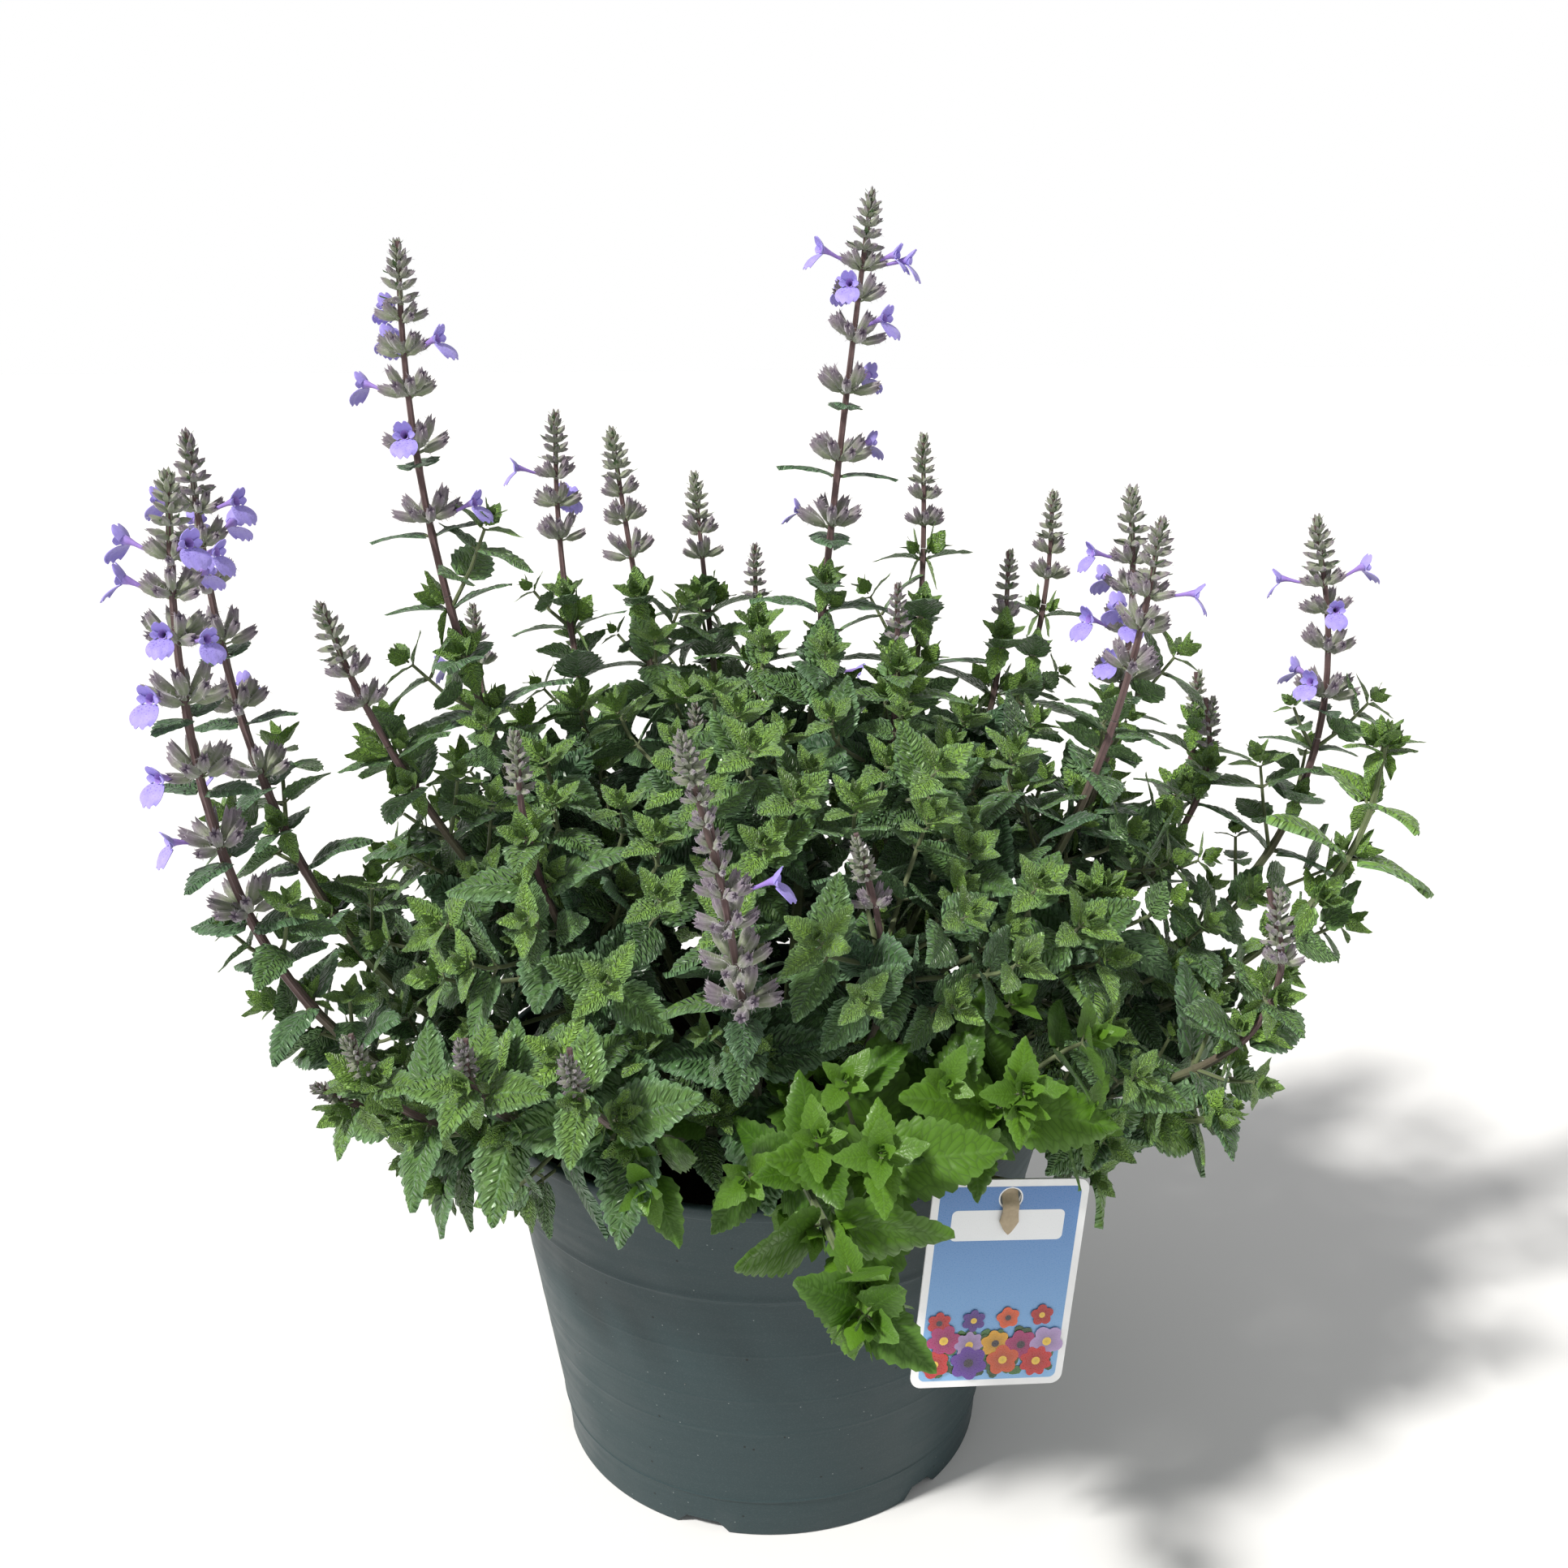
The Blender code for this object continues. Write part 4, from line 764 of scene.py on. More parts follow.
class Piece:
    """Points and faces of one object: each face has a surface, each point a place on its organ and a tone."""

    def __init__(self, green=None):
        self.green = green
        self.points = []
        self.places = []
        self.tones = []
        self.blocks = []
        self.count = 0

    def add(self, surface, points, blocks, places=0.0, tones=PLAIN_TONE):
        points = np.asarray(points, float)
        self.points.append(points)
        self.places.append(np.broadcast_to(places, (len(points), 3)))
        self.tones.append(np.broadcast_to(tones, (len(points), 4)))
        for block in blocks:
            self.blocks.append((surface, np.asarray(block, int) + self.count))
        self.count += len(points)

    def copy(self, template, turn, origin, tone=0.5):
        """A template's parts, turned and scaled by a 3 by 3 matrix and moved to origin."""
        for surface, points, blocks, places, tones in template:
            tones = np.array(tones)
            tones[:, 0] = tone
            self.add(surface, points @ turn.T + origin, blocks, places, tones)

    def make(self, name, surfaces, sharp=60):
        """The object, with only the materials that its faces use."""
        used = sorted({surface for surface, _ in self.blocks})
        corners = np.concatenate([block.ravel() for _, block in self.blocks])
        sizes = np.concatenate([np.full(len(block), block.shape[1]) for _, block in self.blocks])
        kinds = np.concatenate([np.full(len(block), used.index(surface)) for surface, block in self.blocks])
        mesh = bpy.data.meshes.new(name)
        mesh.vertices.add(self.count)
        mesh.vertices.foreach_set("co", np.concatenate(self.points).astype(np.float32).ravel())
        mesh.loops.add(len(corners))
        mesh.loops.foreach_set("vertex_index", corners.astype(np.int32))
        mesh.polygons.add(len(sizes))
        mesh.polygons.foreach_set("loop_start", (np.cumsum(sizes) - sizes).astype(np.int32))
        mesh.polygons.foreach_set("material_index", kinds.astype(np.int32))
        mesh.update(calc_edges=True)
        place = mesh.attributes.new("place", "FLOAT_VECTOR", "POINT")
        place.data.foreach_set("vector", np.concatenate(self.places).astype(np.float32).ravel())
        tone = mesh.attributes.new("tone", "FLOAT_COLOR", "POINT")
        tone.data.foreach_set("color", np.concatenate(self.tones).astype(np.float32).ravel())
        mesh.shade_smooth()
        mesh.set_sharp_from_angle(angle=math.radians(sharp))
        for surface in used:
            mesh.materials.append(surfaces[surface])
        made = placed(name, mesh)
        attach(made, "root")
        return made


def grid_faces(rows, columns, closed=False):
    """Quads between the rows of a grid of points; closed joins the last column to the first."""
    across = columns if closed else columns - 1
    i, j = np.meshgrid(np.arange(rows - 1), np.arange(across), indexing="ij")
    a = i * columns + j
    b = i * columns + (j + 1) % columns
    return np.stack([a, b, b + columns, a + columns], -1).reshape(-1, 4)


def fan_faces(centre, first, count, reverse=False):
    """Triangles from a point to a closed ring of count points."""
    k = np.arange(count)
    ring = np.stack([first + k, first + (k + 1) % count, np.full(count, centre)], -1)
    return ring[:, ::-1] if reverse else ring


def unit(vector):
    """A vector, or each of an array of vectors, made one unit long."""
    return vector / np.linalg.norm(vector, axis=-1, keepdims=True)


def turned_to(axis, near):
    """A matrix whose third column is axis and whose first lies as near as it can to near."""
    axis = unit(np.asarray(axis, float))
    first = np.asarray(near, float)
    first = unit(first - axis * (first @ axis))
    return np.stack([first, np.cross(axis, first), axis], 1)


def capped(rows, sides):
    """The faces of a closed tube of rings whose two end points come after the rings."""
    last = rows * sides
    return [grid_faces(rows, sides, True), fan_faces(last, 0, sides, True),
            fan_faces(last + 1, last - sides, sides)]


def tube(piece, surface, points, radii, tones, sides, near, section=None, places=0.0):
    """A closed tube along points; section holds each side's share of the radius."""
    points = np.asarray(points, float)
    ahead = unit(np.gradient(points, axis=0))
    side = np.asarray(near, float)
    side = unit(side - ahead * (ahead @ side)[:, None])
    other = np.cross(ahead, side)
    turn = 2 * np.pi * np.arange(sides) / sides
    share = np.ones(sides) if section is None else np.asarray(section)
    reach = np.asarray(radii, float)[:, None] * share
    ring = side[:, None] * (reach * np.cos(turn))[..., None]
    ring = ring + other[:, None] * (reach * np.sin(turn))[..., None]
    verts = np.concatenate([(points[:, None] + ring).reshape(-1, 3), points[:1], points[-1:]])
    if np.ndim(tones) == 2:
        tones = np.concatenate([np.repeat(tones, sides, 0), tones[:1], tones[-1:]])
    if np.ndim(places) == 2:
        places = np.concatenate([np.repeat(places, sides, 0), places[:1], places[-1:]])
    piece.add(surface, verts, capped(len(points), sides), places, tones)


# Leaves: how finely a leaf of a given length is made
Detail = namedtuple("Detail", "above teeth samples columns quilt")
DETAILS = (
    Detail(25 * MM, 9, ((0.0, 0.0), (0.36, 1.0), (0.80, 0.74)), 6, 0.011),
    Detail(16 * MM, 7, ((0.0, 0.0), (0.55, 1.0)), 4, 0.009),
    Detail(9 * MM, 5, ((0.0, 0.0), (0.55, 1.0)), 2, 0.0),
    Detail(0.0, 3, ((0.0, 0.0), (0.55, 1.0)), 2, 0.0),
)
# Side veins on each half, their slant, how far teeth stand out, and the quilting left on smooth leaves
VEINS = 7
VEIN_SLOPE = 0.85
TOOTH = 0.13
SMOOTH_SHARE = 0.15
BLADE_BASE = 0.012
BLADE_THICK = 0.5 * MM
BASE_LOBES = 0.055

# Shorter leaves than these have a thinner blade, a thinner stalk and no stalk
FULL_BLADE = 20 * MM
FULL_STALK = 30 * MM
LEAST_STALKED = 9 * MM
STALK_RADII = np.array([0.85, 0.55]) * MM


def blade_width(t):
    """Half width of an ovate blade with a blunt base, from its base at 0 to its tip at 1."""
    return np.sin(np.pi * np.clip(t, 0.0, 1.0) ** 0.52) ** 0.8


def blade_steps(detail):
    """Places along a blade, and how far each stands out on its tooth."""
    steps = [(i + part) / detail.teeth for i in range(detail.teeth) for part, _ in detail.samples]
    edge = [out for _ in range(detail.teeth) for _, out in detail.samples]
    return np.array([BLADE_BASE] + steps[1:]), np.array([0.5] + edge[1:])


def midrib(rows, which, along):
    """The points (0) or directions (1) of a midrib at places counted in its steps."""
    knots = np.arange(MIDRIB_STEPS + 1)
    return np.stack([np.interp(along, knots, [row[which][k] for row in rows]) for k in range(3)], -1)


def blade(piece, leaf, draw, surface, youth, narrow=1.0, seen=1.0):
    """A toothed and quilted blade on its stalk, over the same midrib and outline as the leaf's solid."""
    detail = next(row for row in DETAILS if leaf.length * seen > row.above)
    rows, across = leaf_axis(leaf, MIDRIB_STEPS)
    across = np.array(across)
    steps, edge = blade_steps(detail)
    run = steps[:, None]
    along = (STALK_AT + (1 - STALK_AT) * steps) * MIDRIB_STEPS
    middle = midrib(rows, 0, along)
    ahead = unit(midrib(rows, 1, along))
    normal = unit(np.cross(across, ahead))
    twist = draw.uniform(-0.20, 0.20) * run
    aside = unit(across + normal * twist)
    normal = unit(np.cross(aside, ahead))
    half = leaf.length * LEAF_WIDTH_RATIO * 0.5 * narrow
    wide = blade_width(steps)
    share = np.linspace(-1, 1, detail.columns + 1)
    gape = np.abs(share)
    toothed = 1 + TOOTH * (edge[:, None] - 0.62) * gape ** 3
    reach = half * wide[:, None] * share * toothed
    vein_x = np.repeat(run * VEINS, len(share), 1)
    vein_y = reach / leaf.length * VEINS
    swell = np.abs(np.sin(np.pi * (vein_x - VEIN_SLOPE * np.abs(vein_y)))) ** 0.7
    swell = swell * np.sin(np.pi * gape ** 0.8) * np.minimum(1.0, 3 * (1 - run))
    wave = draw.uniform(0.006, 0.020) * np.sin(
        2 * np.pi * (run * draw.uniform(1.2, 2.2) + draw.random() + 0.25 * np.sign(share)))
    curl = draw.uniform(0.02, 0.07)
    quilt = detail.quilt * (SMOOTH_SHARE if surface == YOUNG else 1.0)
    lift = leaf.fold * np.abs(reach) + leaf.length * (quilt * swell + wave * gape ** 2 - curl * gape ** 4)
    lobes = -BASE_LOBES * leaf.length * gape ** 1.5 * np.exp(-run / 0.13)
    jut = lobes + 0.014 * leaf.length * (edge[:, None] - 0.4) * gape ** 3
    front = (middle[:, None] + aside[:, None] * reach[..., None] + normal[:, None] * lift[..., None]
             + ahead[:, None] * jut[..., None])
    tip = middle[-1] + ahead[-1] * leaf.length * (1 - STALK_AT) * (1 - steps[-1])
    count, columns = reach.shape
    seed = draw.uniform(0, 40)
    tone = draw.random()
    places = np.stack([vein_x, vein_y, np.full_like(vein_x, seed)], -1).reshape(-1, 3)
    places = np.concatenate([places, [[VEINS, 0, seed]]])
    tones = np.zeros((count, columns, 4))
    tones[..., 0] = tone
    tones[..., 1] = youth
    # the rim's share, which the leaf finish turns into a painted highlight along the margin
    tones[..., 2] = gape ** 6
    tones = np.concatenate([tones.reshape(-1, 4), [[tone, youth, 1, 0]]])
    end = count * columns
    k = np.arange(columns - 1)
    cap = np.stack([end - columns + k, end - columns + k + 1, np.full(len(k), end)], -1)
    verts = np.concatenate([front.reshape(-1, 3), [tip]])
    piece.add(surface, verts, [grid_faces(count, columns), cap], places, tones)
    keep = [0, columns // 2, columns - 1]
    back = front[:, keep].copy()
    back[:, 1] -= normal * BLADE_THICK * min(1.0, leaf.length / FULL_BLADE)
    pick = (np.arange(count)[:, None] * columns + keep).ravel().tolist() + [end]
    under = tones[pick]
    under[:, 3] = 1.0
    end = count * 3
    cap = np.array([[end - 2, end - 3, end], [end - 1, end - 2, end]])
    verts = np.concatenate([back.reshape(-1, 3), [tip]])
    piece.add(surface, verts, [grid_faces(count, 3)[:, ::-1], cap], places[pick], under)
    if leaf.length > LEAST_STALKED:
        stalk = np.array([np.array(rows[0][0]), middle[0] + (middle[1] - middle[0]) * 0.6])
        radii = STALK_RADII * min(1.0, leaf.length / FULL_STALK)
        tube(piece, STEM, stalk - normal[0] * 0.2 * MM, radii, (tone, 0.12, 0, 0), 4, normal[0])


# Stems

SQUARE_SECTION = (0.66, 0.94, 0.94) * 4
STEM_ROW = 9 * MM


def centre_of(route, s):
    """A point on the smooth curve through the stem's path."""
    i, t = route.segment(s)
    last = len(route.path) - 1
    before, start, end, after = (np.array(route.path[min(max(i + k, 0), last)]) for k in (-1, 0, 1, 2))
    return 0.5 * (2 * start + (end - before) * t + (2 * before - 5 * start + 4 * end - after) * t * t
                  + (3 * (start - end) + after - before) * t ** 3)


def fine_stem(piece, route, start, end, joints, purple_from, draw):
    """A square grooved stem, thicker at its leaf pairs, green below and purple-brown above."""
    places = set(np.arange(start, end, STEM_ROW)) | {end}
    for s in joints:
        places |= {s - 2.2 * MM, s, s + 2.2 * MM}
    places = np.array(sorted(s for s in places if start <= s <= end))
    places = places[np.concatenate([[True], np.diff(places) > 0.5 * MM])]
    points = np.array([centre_of(route, s) for s in places])
    swollen = sum((np.exp(-((places - s) / (2.0 * MM)) ** 2) for s in joints), np.zeros(len(places)))
    radii = np.array([route.radius(s) for s in places]) * (0.92 + 0.16 * np.minimum(swollen, 1))
    purple = np.clip((places - purple_from) / (50 * MM) + 0.45, 0.0, 1.0)
    tones = np.stack([np.full(len(places), draw.random()), purple, *np.zeros((2, len(places)))], -1)
    along = np.stack([places * 100, np.zeros(len(places)), np.full(len(places), draw.uniform(0, 30))], -1)
    side = np.array(route.at(start)[2])
    tube(piece, STEM, points, radii, tones, len(SQUARE_SECTION), side, SQUARE_SECTION, along)


# Flower parts: each template points along +Z with its upper side toward +X, and is about one unit long

# Rings of a calyx and of a bud, from the base: height, radius, and for the calyx how far its ribs stand out
CALYX_SIDES = 10
CALYX_RINGS = ((0.0, 0.060, 0.0), (0.22, 0.145, 0.09), (0.66, 0.165, 0.13))
CALYX_BEND = 0.16
CALYX_BACK = 0.05
CALYX_HAIRS = 14
BUD_SIDES = 6
BUD_RINGS = ((0.0, 0.10), (0.34, 0.21), (0.76, 0.14))
BUD_HAIRS = 3
HAIR_ROOT = 0.14
SHAPES = 4


def hairs_on(draw, count, heights, lifts, length, width, back=0.0, bend=0.0):
    """Fine three-sided hairs round a tube that leans back and then bends forward."""
    points = []
    faces = []
    for _ in range(count):
        angle = draw.uniform(0, 2 * math.pi)
        height = draw.uniform(*heights)
        out = np.array([math.cos(angle), math.sin(angle), draw.uniform(*lifts)])
        root = np.array([HAIR_ROOT * out[0] - back * height + bend * height ** 2, HAIR_ROOT * out[1], height])
        ahead = unit(out)
        side = unit(np.cross(ahead, (0.31, 0.17, 0.93)))
        other = np.cross(ahead, side)
        first = len(points)
        points += [root + spoke_at(side, other, 2 * math.pi * k / 3) * width for k in range(3)]
        points.append(root + ahead * length)
        faces += [(first + k, first + (k + 1) % 3, first + 3) for k in range(3)]
    points = np.array(points)
    tones = np.tile(PLAIN_TONE, (len(points), 1))
    return (HAIR, points, [np.array(faces)], np.zeros((len(points), 3)), tones)


def ring_at(reach, turn, height):
    """A ring round the Z axis."""
    return np.stack([reach * np.cos(turn), reach * np.sin(turn), np.broadcast_to(height, turn.shape)], -1)


def calyx_template(draw):
    """A ribbed, slightly bent calyx tube with five pointed teeth, and a point inside its mouth marked for
    painted shade.
    """
    turn = 2 * np.pi * np.arange(CALYX_SIDES) / CALYX_SIDES
    even = np.arange(CALYX_SIDES) % 2 == 0
    rings = [ring_at(radius * (1 + np.where(even, rib, -rib)), turn, height)
             for height, radius, rib in CALYX_RINGS]
    rings.append(ring_at(np.where(even, 0.130, 0.118), turn, np.where(even, 1.0 + 0.05 * np.cos(turn), 0.84)))
    rings.append(ring_at(np.where(even, 0.104, 0.092), turn, np.where(even, 0.97, 0.82)))
    greens = [np.full(CALYX_SIDES, row[0]) for row in CALYX_RINGS]
    # the point inside the mouth gets 1.5, which the calyx finish turns into painted shade
    greens += [np.where(even, 1.15, 0.9), np.full(CALYX_SIDES, 1.1), [0.0, 1.5]]
    points = np.concatenate(rings + [np.array([[0, 0, 0.0], [0, 0, 0.86]])])
    points[:, 0] += CALYX_BEND * points[:, 2] ** 2 - CALYX_BACK * points[:, 2]
    tones = np.zeros((len(points), 4))
    tones[:, 1] = np.concatenate(greens)
    tones[:-2, 2] = np.tile(even, len(rings))
    return [(CALYX, points, capped(len(rings), CALYX_SIDES), points * (6, 6, 3), tones),
            hairs_on(draw, CALYX_HAIRS, (0.06, 0.98), (0.0, 0.5), 0.145, 0.0095, CALYX_BACK, CALYX_BEND)]


def bud_template(draw):
    """A closed pointed bud in its calyx."""
    turn = 2 * np.pi * np.arange(BUD_SIDES) / BUD_SIDES
    rings = [ring_at(radius * (1 + 0.12 * np.cos(3 * turn)), turn, height) for height, radius in BUD_RINGS]
    greens = [np.full(BUD_SIDES, row[0]) for row in BUD_RINGS] + [[0.0, 1.1]]
    points = np.concatenate(rings + [np.array([[0, 0, 0.0], [0.03, 0, 1.0]])])
    tones = np.zeros((len(points), 4))
    tones[:, 1] = np.concatenate(greens)
    tones[:-2, 2] = np.tile(np.cos(3 * turn) > 0, len(rings))
    return [(CALYX, points, capped(len(rings), BUD_SIDES), points * 4, tones),
            hairs_on(draw, BUD_HAIRS, (0.15, 0.95), (0.1, 0.8), 0.20, 0.012)]


PETAL_THICK = 0.016


def petal_shell(grid):
    """Both faces and the rim of a petal given as a grid of points."""
    rows, columns, _ = grid.shape
    down = np.gradient(grid, axis=0)
    over = np.gradient(grid, axis=1)
    normal = unit(np.cross(down, over) + 1e-12)
    points = np.concatenate([(grid + normal * PETAL_THICK * 0.5).reshape(-1, 3),
                             (grid - normal * PETAL_THICK * 0.5).reshape(-1, 3)])
    front = grid_faces(rows, columns)
    other = rows * columns
    rim = np.concatenate([
        np.arange(columns), columns * np.arange(1, rows) + columns - 1,
        (rows - 1) * columns + np.arange(columns - 2, -1, -1), columns * np.arange(rows - 2, 0, -1)])
    ahead = np.roll(rim, -1)
    edge = np.stack([rim, ahead, ahead + other, rim + other], -1)
    return points, [front, front[:, ::-1] + other, edge[:, ::-1]]


# Rings of the open flower's tube, out to its mouth and back inside: ahead, above, radius and colour
TUBE_SIDES = 8
TUBE_RINGS = ((0.0, 0.0, 0.035, 0.0), (0.18, 0.015, 0.040, 0.15), (0.34, 0.035, 0.048, 0.3),
              (0.46, 0.045, 0.070, 0.45), (0.56, 0.040, 0.100, 0.6), (0.60, 0.035, 0.112, 0.65),
              (0.59, 0.04, 0.095, 0.5), (0.40, 0.04, 0.045, 0.1))


def petal_grid(rows, columns):
    """Places from a petal's base, 0 to 1, and across it, -1 to 1."""
    return np.meshgrid(np.linspace(0, 1, rows), np.linspace(-1, 1, columns), indexing="ij")


def corolla_template():
    """A two-lipped flower: bent tube, hooded two-lobed upper lip, broad scalloped lower lip, side lobes."""
    parts = []

    def keep(points, blocks, along, spots):
        """From ahead, aside and above to the template's own axes."""
        local = np.stack([points[:, 2], points[:, 1], points[:, 0]], -1)
        tones = np.zeros((len(points), 4))
        tones[:, 1] = along
        tones[:, 2] = spots
        parts.append((COROLLA, local, [block[:, ::-1] for block in blocks], local * 8, tones))

    turn = 2 * np.pi * np.arange(TUBE_SIDES) / TUBE_SIDES
    rings = []
    for ahead, rise, radius, _ in TUBE_RINGS:
        across = 0.86 * radius * np.cos(turn)
        rings.append(np.stack([np.full(TUBE_SIDES, ahead), across, rise + radius * np.sin(turn)], -1))
    along = np.repeat([row[3] for row in TUBE_RINGS], TUBE_SIDES)
    keep(np.concatenate(rings), [grid_faces(len(rings), TUBE_SIDES, True)], along, 0.0)

    u, v = petal_grid(6, 7)
    notch = 1 - 0.34 * np.exp(-(v / 0.26) ** 2) * u
    round_off = 1 - 0.25 * np.abs(v) ** 3 * u
    hood = np.stack([0.57 + 0.25 * u * notch * round_off, 0.150 * v * (1 + 0.25 * np.sin(np.pi * u)),
                     0.135 + 0.15 * u ** 0.8 * notch - 0.11 * v ** 2 * (1 - 0.35 * u)], -1)
    keep(*petal_shell(hood), 0.75, 0.0)

    u, v = petal_grid(8, 13)
    half = 0.285 * np.sqrt(np.sin(np.pi * (0.10 + 0.76 * u)))
    end = 1 - 0.16 * v ** 2 - 0.09 * np.exp(-(v / 0.14) ** 2) + 0.035 * np.cos(v * 11.0)
    reach = u * (1 - u * (1 - end))
    lip = np.stack([0.57 + 0.26 * reach + 0.05 * np.sin(3.0 * reach) - 0.05 * v ** 2 * u,
                    half * v, -0.06 - 0.44 * reach ** 1.1 + 0.030 * np.cos(v * 9.0) * u ** 2], -1)
    keep(*petal_shell(lip), 0.9, np.tile(np.clip(1.15 - 1.3 * u, 0, 1).ravel(), 2))

    u, v = petal_grid(4, 5)
    for sign in (1, -1):
        lobe = np.stack([0.58 + 0.07 * u + 0.02 * v, sign * (0.085 + 0.150 * u * np.cos(v * 1.2)),
                         0.02 + 0.085 * v * (0.5 + 0.5 * u)], -1)
        keep(*petal_shell(lobe), 0.8, 0.3)
    return parts


DRAW_SHAPES = random.Random(SEED + 1)
CALYXES = [calyx_template(DRAW_SHAPES) for _ in range(SHAPES)]
BUDS = [bud_template(DRAW_SHAPES) for _ in range(SHAPES)]
COROLLA_SHAPE = corolla_template()
COROLLA_SIZE = 16.5 * MM
BROAD_WHORL = 9.8 * MM
CALYX_SPACING = 36
WHORL_BUDS = 3


def calyx(piece, start, heading, length, draw, colour):
    """One calyx from start along heading, its curve upward."""
    spin = Vector(heading).to_track_quat("Z", "X")
    near = spin @ Vector((math.cos(2 * math.pi * draw.random()), 0.3, 0.0))
    turn = turned_to(heading, (near.x, near.y, near.z + 1.5))
    width = length * draw.uniform(1.02, 1.22)
    piece.copy(draw.choice(CALYXES), turn * np.array([width, width, length]), start, colour)


def corolla(piece, start, heading, up, draw):
    """The open petals, their tube's root at start."""
    turn = turned_to(unit(np.array(heading) + np.array([0, 0, 0.10])), up)
    piece.copy(COROLLA_SHAPE, turn * COROLLA_SIZE * draw.uniform(0.88, 1.05), start, draw.random())


def axes_of(organ):
    """Where a whorl or a head starts, its axis, its side and the direction across both."""
    base, axis, side = (np.array(vector) for vector in (organ.base, organ.axis, organ.side))
    return base, axis, side, np.cross(axis, side)


def whorl(piece, organ, draw, bloom):
    """Two opposite bunches of calyxes on short stalks."""
    base, axis, side, other = axes_of(organ)
    count = 5 if organ.radius > BROAD_WHORL else 4
    colour = draw.uniform(0.25, 0.75)
    for sign in (1, -1):
        for k in range(count):
            swing = math.radians((k - (count - 1) / 2) * CALYX_SPACING + draw.uniform(-9, 9))
            rise = math.radians(draw.uniform(12, 34) + (22 if k % 2 else 0))
            out = spoke_at(side, other, swing) * sign
            heading = out * math.cos(rise) + axis * math.sin(rise)
            length = organ.radius * draw.uniform(0.70, 0.84)
            root = base + axis * draw.uniform(-1.2, 0.6) * MM
            start = root + heading * organ.radius * draw.uniform(0.20, 0.27)
            tube(piece, CALYX, [root, start + heading * 0.4 * MM], [0.42 * MM, 0.36 * MM],
                 (colour, 0.15, 0, 0), 5, axis + 0.1 * side)
            calyx(piece, start, heading, length, draw, colour + draw.uniform(-0.2, 0.2))
            if draw.random() < bloom:
                outward = unit(out + axis * 0.25)
                corolla(piece, start + heading * length * 0.35, outward, axis, draw)
        for _ in range(WHORL_BUDS):
            out = spoke_at(side, other, math.radians(draw.uniform(-70, 70))) * sign
            heading = unit(out + axis * draw.uniform(0.6, 1.6))
            size = draw.uniform(4.0, 5.6) * MM
            turn = turned_to(heading, axis) * size
            piece.copy(draw.choice(BUDS), turn, base + heading * 1.2 * MM, colour)


# Tiers of a head of buds: height, number of buds, their size and how far they stand up, in degrees
HEAD_TIERS = ((0.00, 8, 0.92, 14), (0.19, 8, 0.90, 22), (0.36, 8, 0.84, 32), (0.51, 7, 0.76, 42),
              (0.64, 6, 0.66, 52), (0.75, 5, 0.56, 64), (0.84, 3, 0.48, 80))
BUD_SHAPE = np.array([0.95, 0.95, 1.0])


def head_of_buds(piece, organ, draw):
    """Close tiers of pointed buds and narrow bracts, smaller toward the tip, round a slim stem."""
    base, axis, side, other = axes_of(organ)
    colour = draw.uniform(0.0, 0.6)
    heights = np.array([-0.06, 0.35, 0.75, 0.93])
    radii = np.array([0.16, 0.15, 0.14, 0.08]) * organ.radius
    tube(piece, CALYX, base + axis * heights[:, None] * organ.length, radii, (colour, 0.5, 0, 0), 8, side)
    for tier, (height, count, size, tilt) in enumerate(HEAD_TIERS):
        at = base + axis * organ.length * height
        for k in range(count):
            angle = 2 * math.pi * (k + 0.5 * (tier % 2) + draw.uniform(-0.2, 0.2)) / count
            out = spoke_at(side, other, angle)
            rise = math.radians(tilt + draw.uniform(-12, 16))
            heading = out * math.cos(rise) + axis * math.sin(rise)
            turn = turned_to(heading, axis) * BUD_SHAPE * organ.radius * size * draw.uniform(0.85, 1.15)
            bud = draw.choice(BUDS)
            piece.copy(bud, turn, at + out * organ.radius * 0.14, colour + draw.uniform(-0.15, 0.25))
        for k in range(2):
            angle = math.pi * (k + 0.5 * (tier % 2)) + draw.uniform(-0.3, 0.3)
            out = spoke_at(side, other, angle)
            heading = Vector(out + axis * (0.45 + 0.12 * tier)).normalized()
            length = organ.radius * (1.30 - 0.12 * tier) * draw.uniform(0.9, 1.1)
            bract = Leaf(Vector(at - axis * 0.6 * MM), heading, Vector(axis), length, 0.15, 0.25)
            blade(piece, bract, draw, LEAF, 0.35, 0.62)


def flower(piece, organ, draw):
    """An open flower out of its calyx."""
    base = np.array(organ.base)
    heading = np.array(organ.heading.normalized())
    length = organ.length - FLOWER_LENGTH
    calyx(piece, base + heading * 0.20 * length, heading, length * 0.80, draw, draw.uniform(0.4, 0.8))
    corolla(piece, base + heading * (organ.length - COROLLA_SIZE * 0.90), heading, organ.up, draw)


# Leafy parts that the solids leave out: lower leaves, side shoots and tufts in the axils

# Room left round the foliage: past the model's box, at the pot's wall, round the label and before it
BOX_PLAY = 4 * MM
WALL_PLAY = 4 * MM
LABEL_PLAY = 2 * MM
SHOOT_PLAY = 6 * MM
LABEL_OVERLAP = 4 * MM
BEHIND_LABEL = 6 * MM
BEFORE_LABEL = 22 * MM

# The low front shoots that the photo shows bright and smooth, and the zone where all leaves are so; their
# green is darkened there as painted shade
BRIGHT_SHOOTS = ("front_bright", "front_hanging", "label_side")
BRIGHT_ZONE = ((-0.055, -0.200, 0.100), (0.085, -0.095, 0.192))

# The dome of leaves: its middle, its half sizes and how far down it reaches
DOME_CENTRE = Vector((0.006, -0.006, 0.190))
DOME_SIZE = Vector((0.174, 0.148, 0.127))
DOME_LOW = -0.24
DOME_FLATTEN = 1.4
HOLLOW = 0.075

# Ranks of a tuft's leaves: share of its length, and shares of the outward and the upward direction
TUFT_RANKS = ((1.0, 1.0, 0.45), (0.82, 0.85, 0.8), (0.58, 0.6, 1.2), (0.36, 0.35, 1.6))
TUFT_STEP = 0.12
TUFT_YOUTH = 0.12
SMALLEST_LEAF = 2.2 * MM

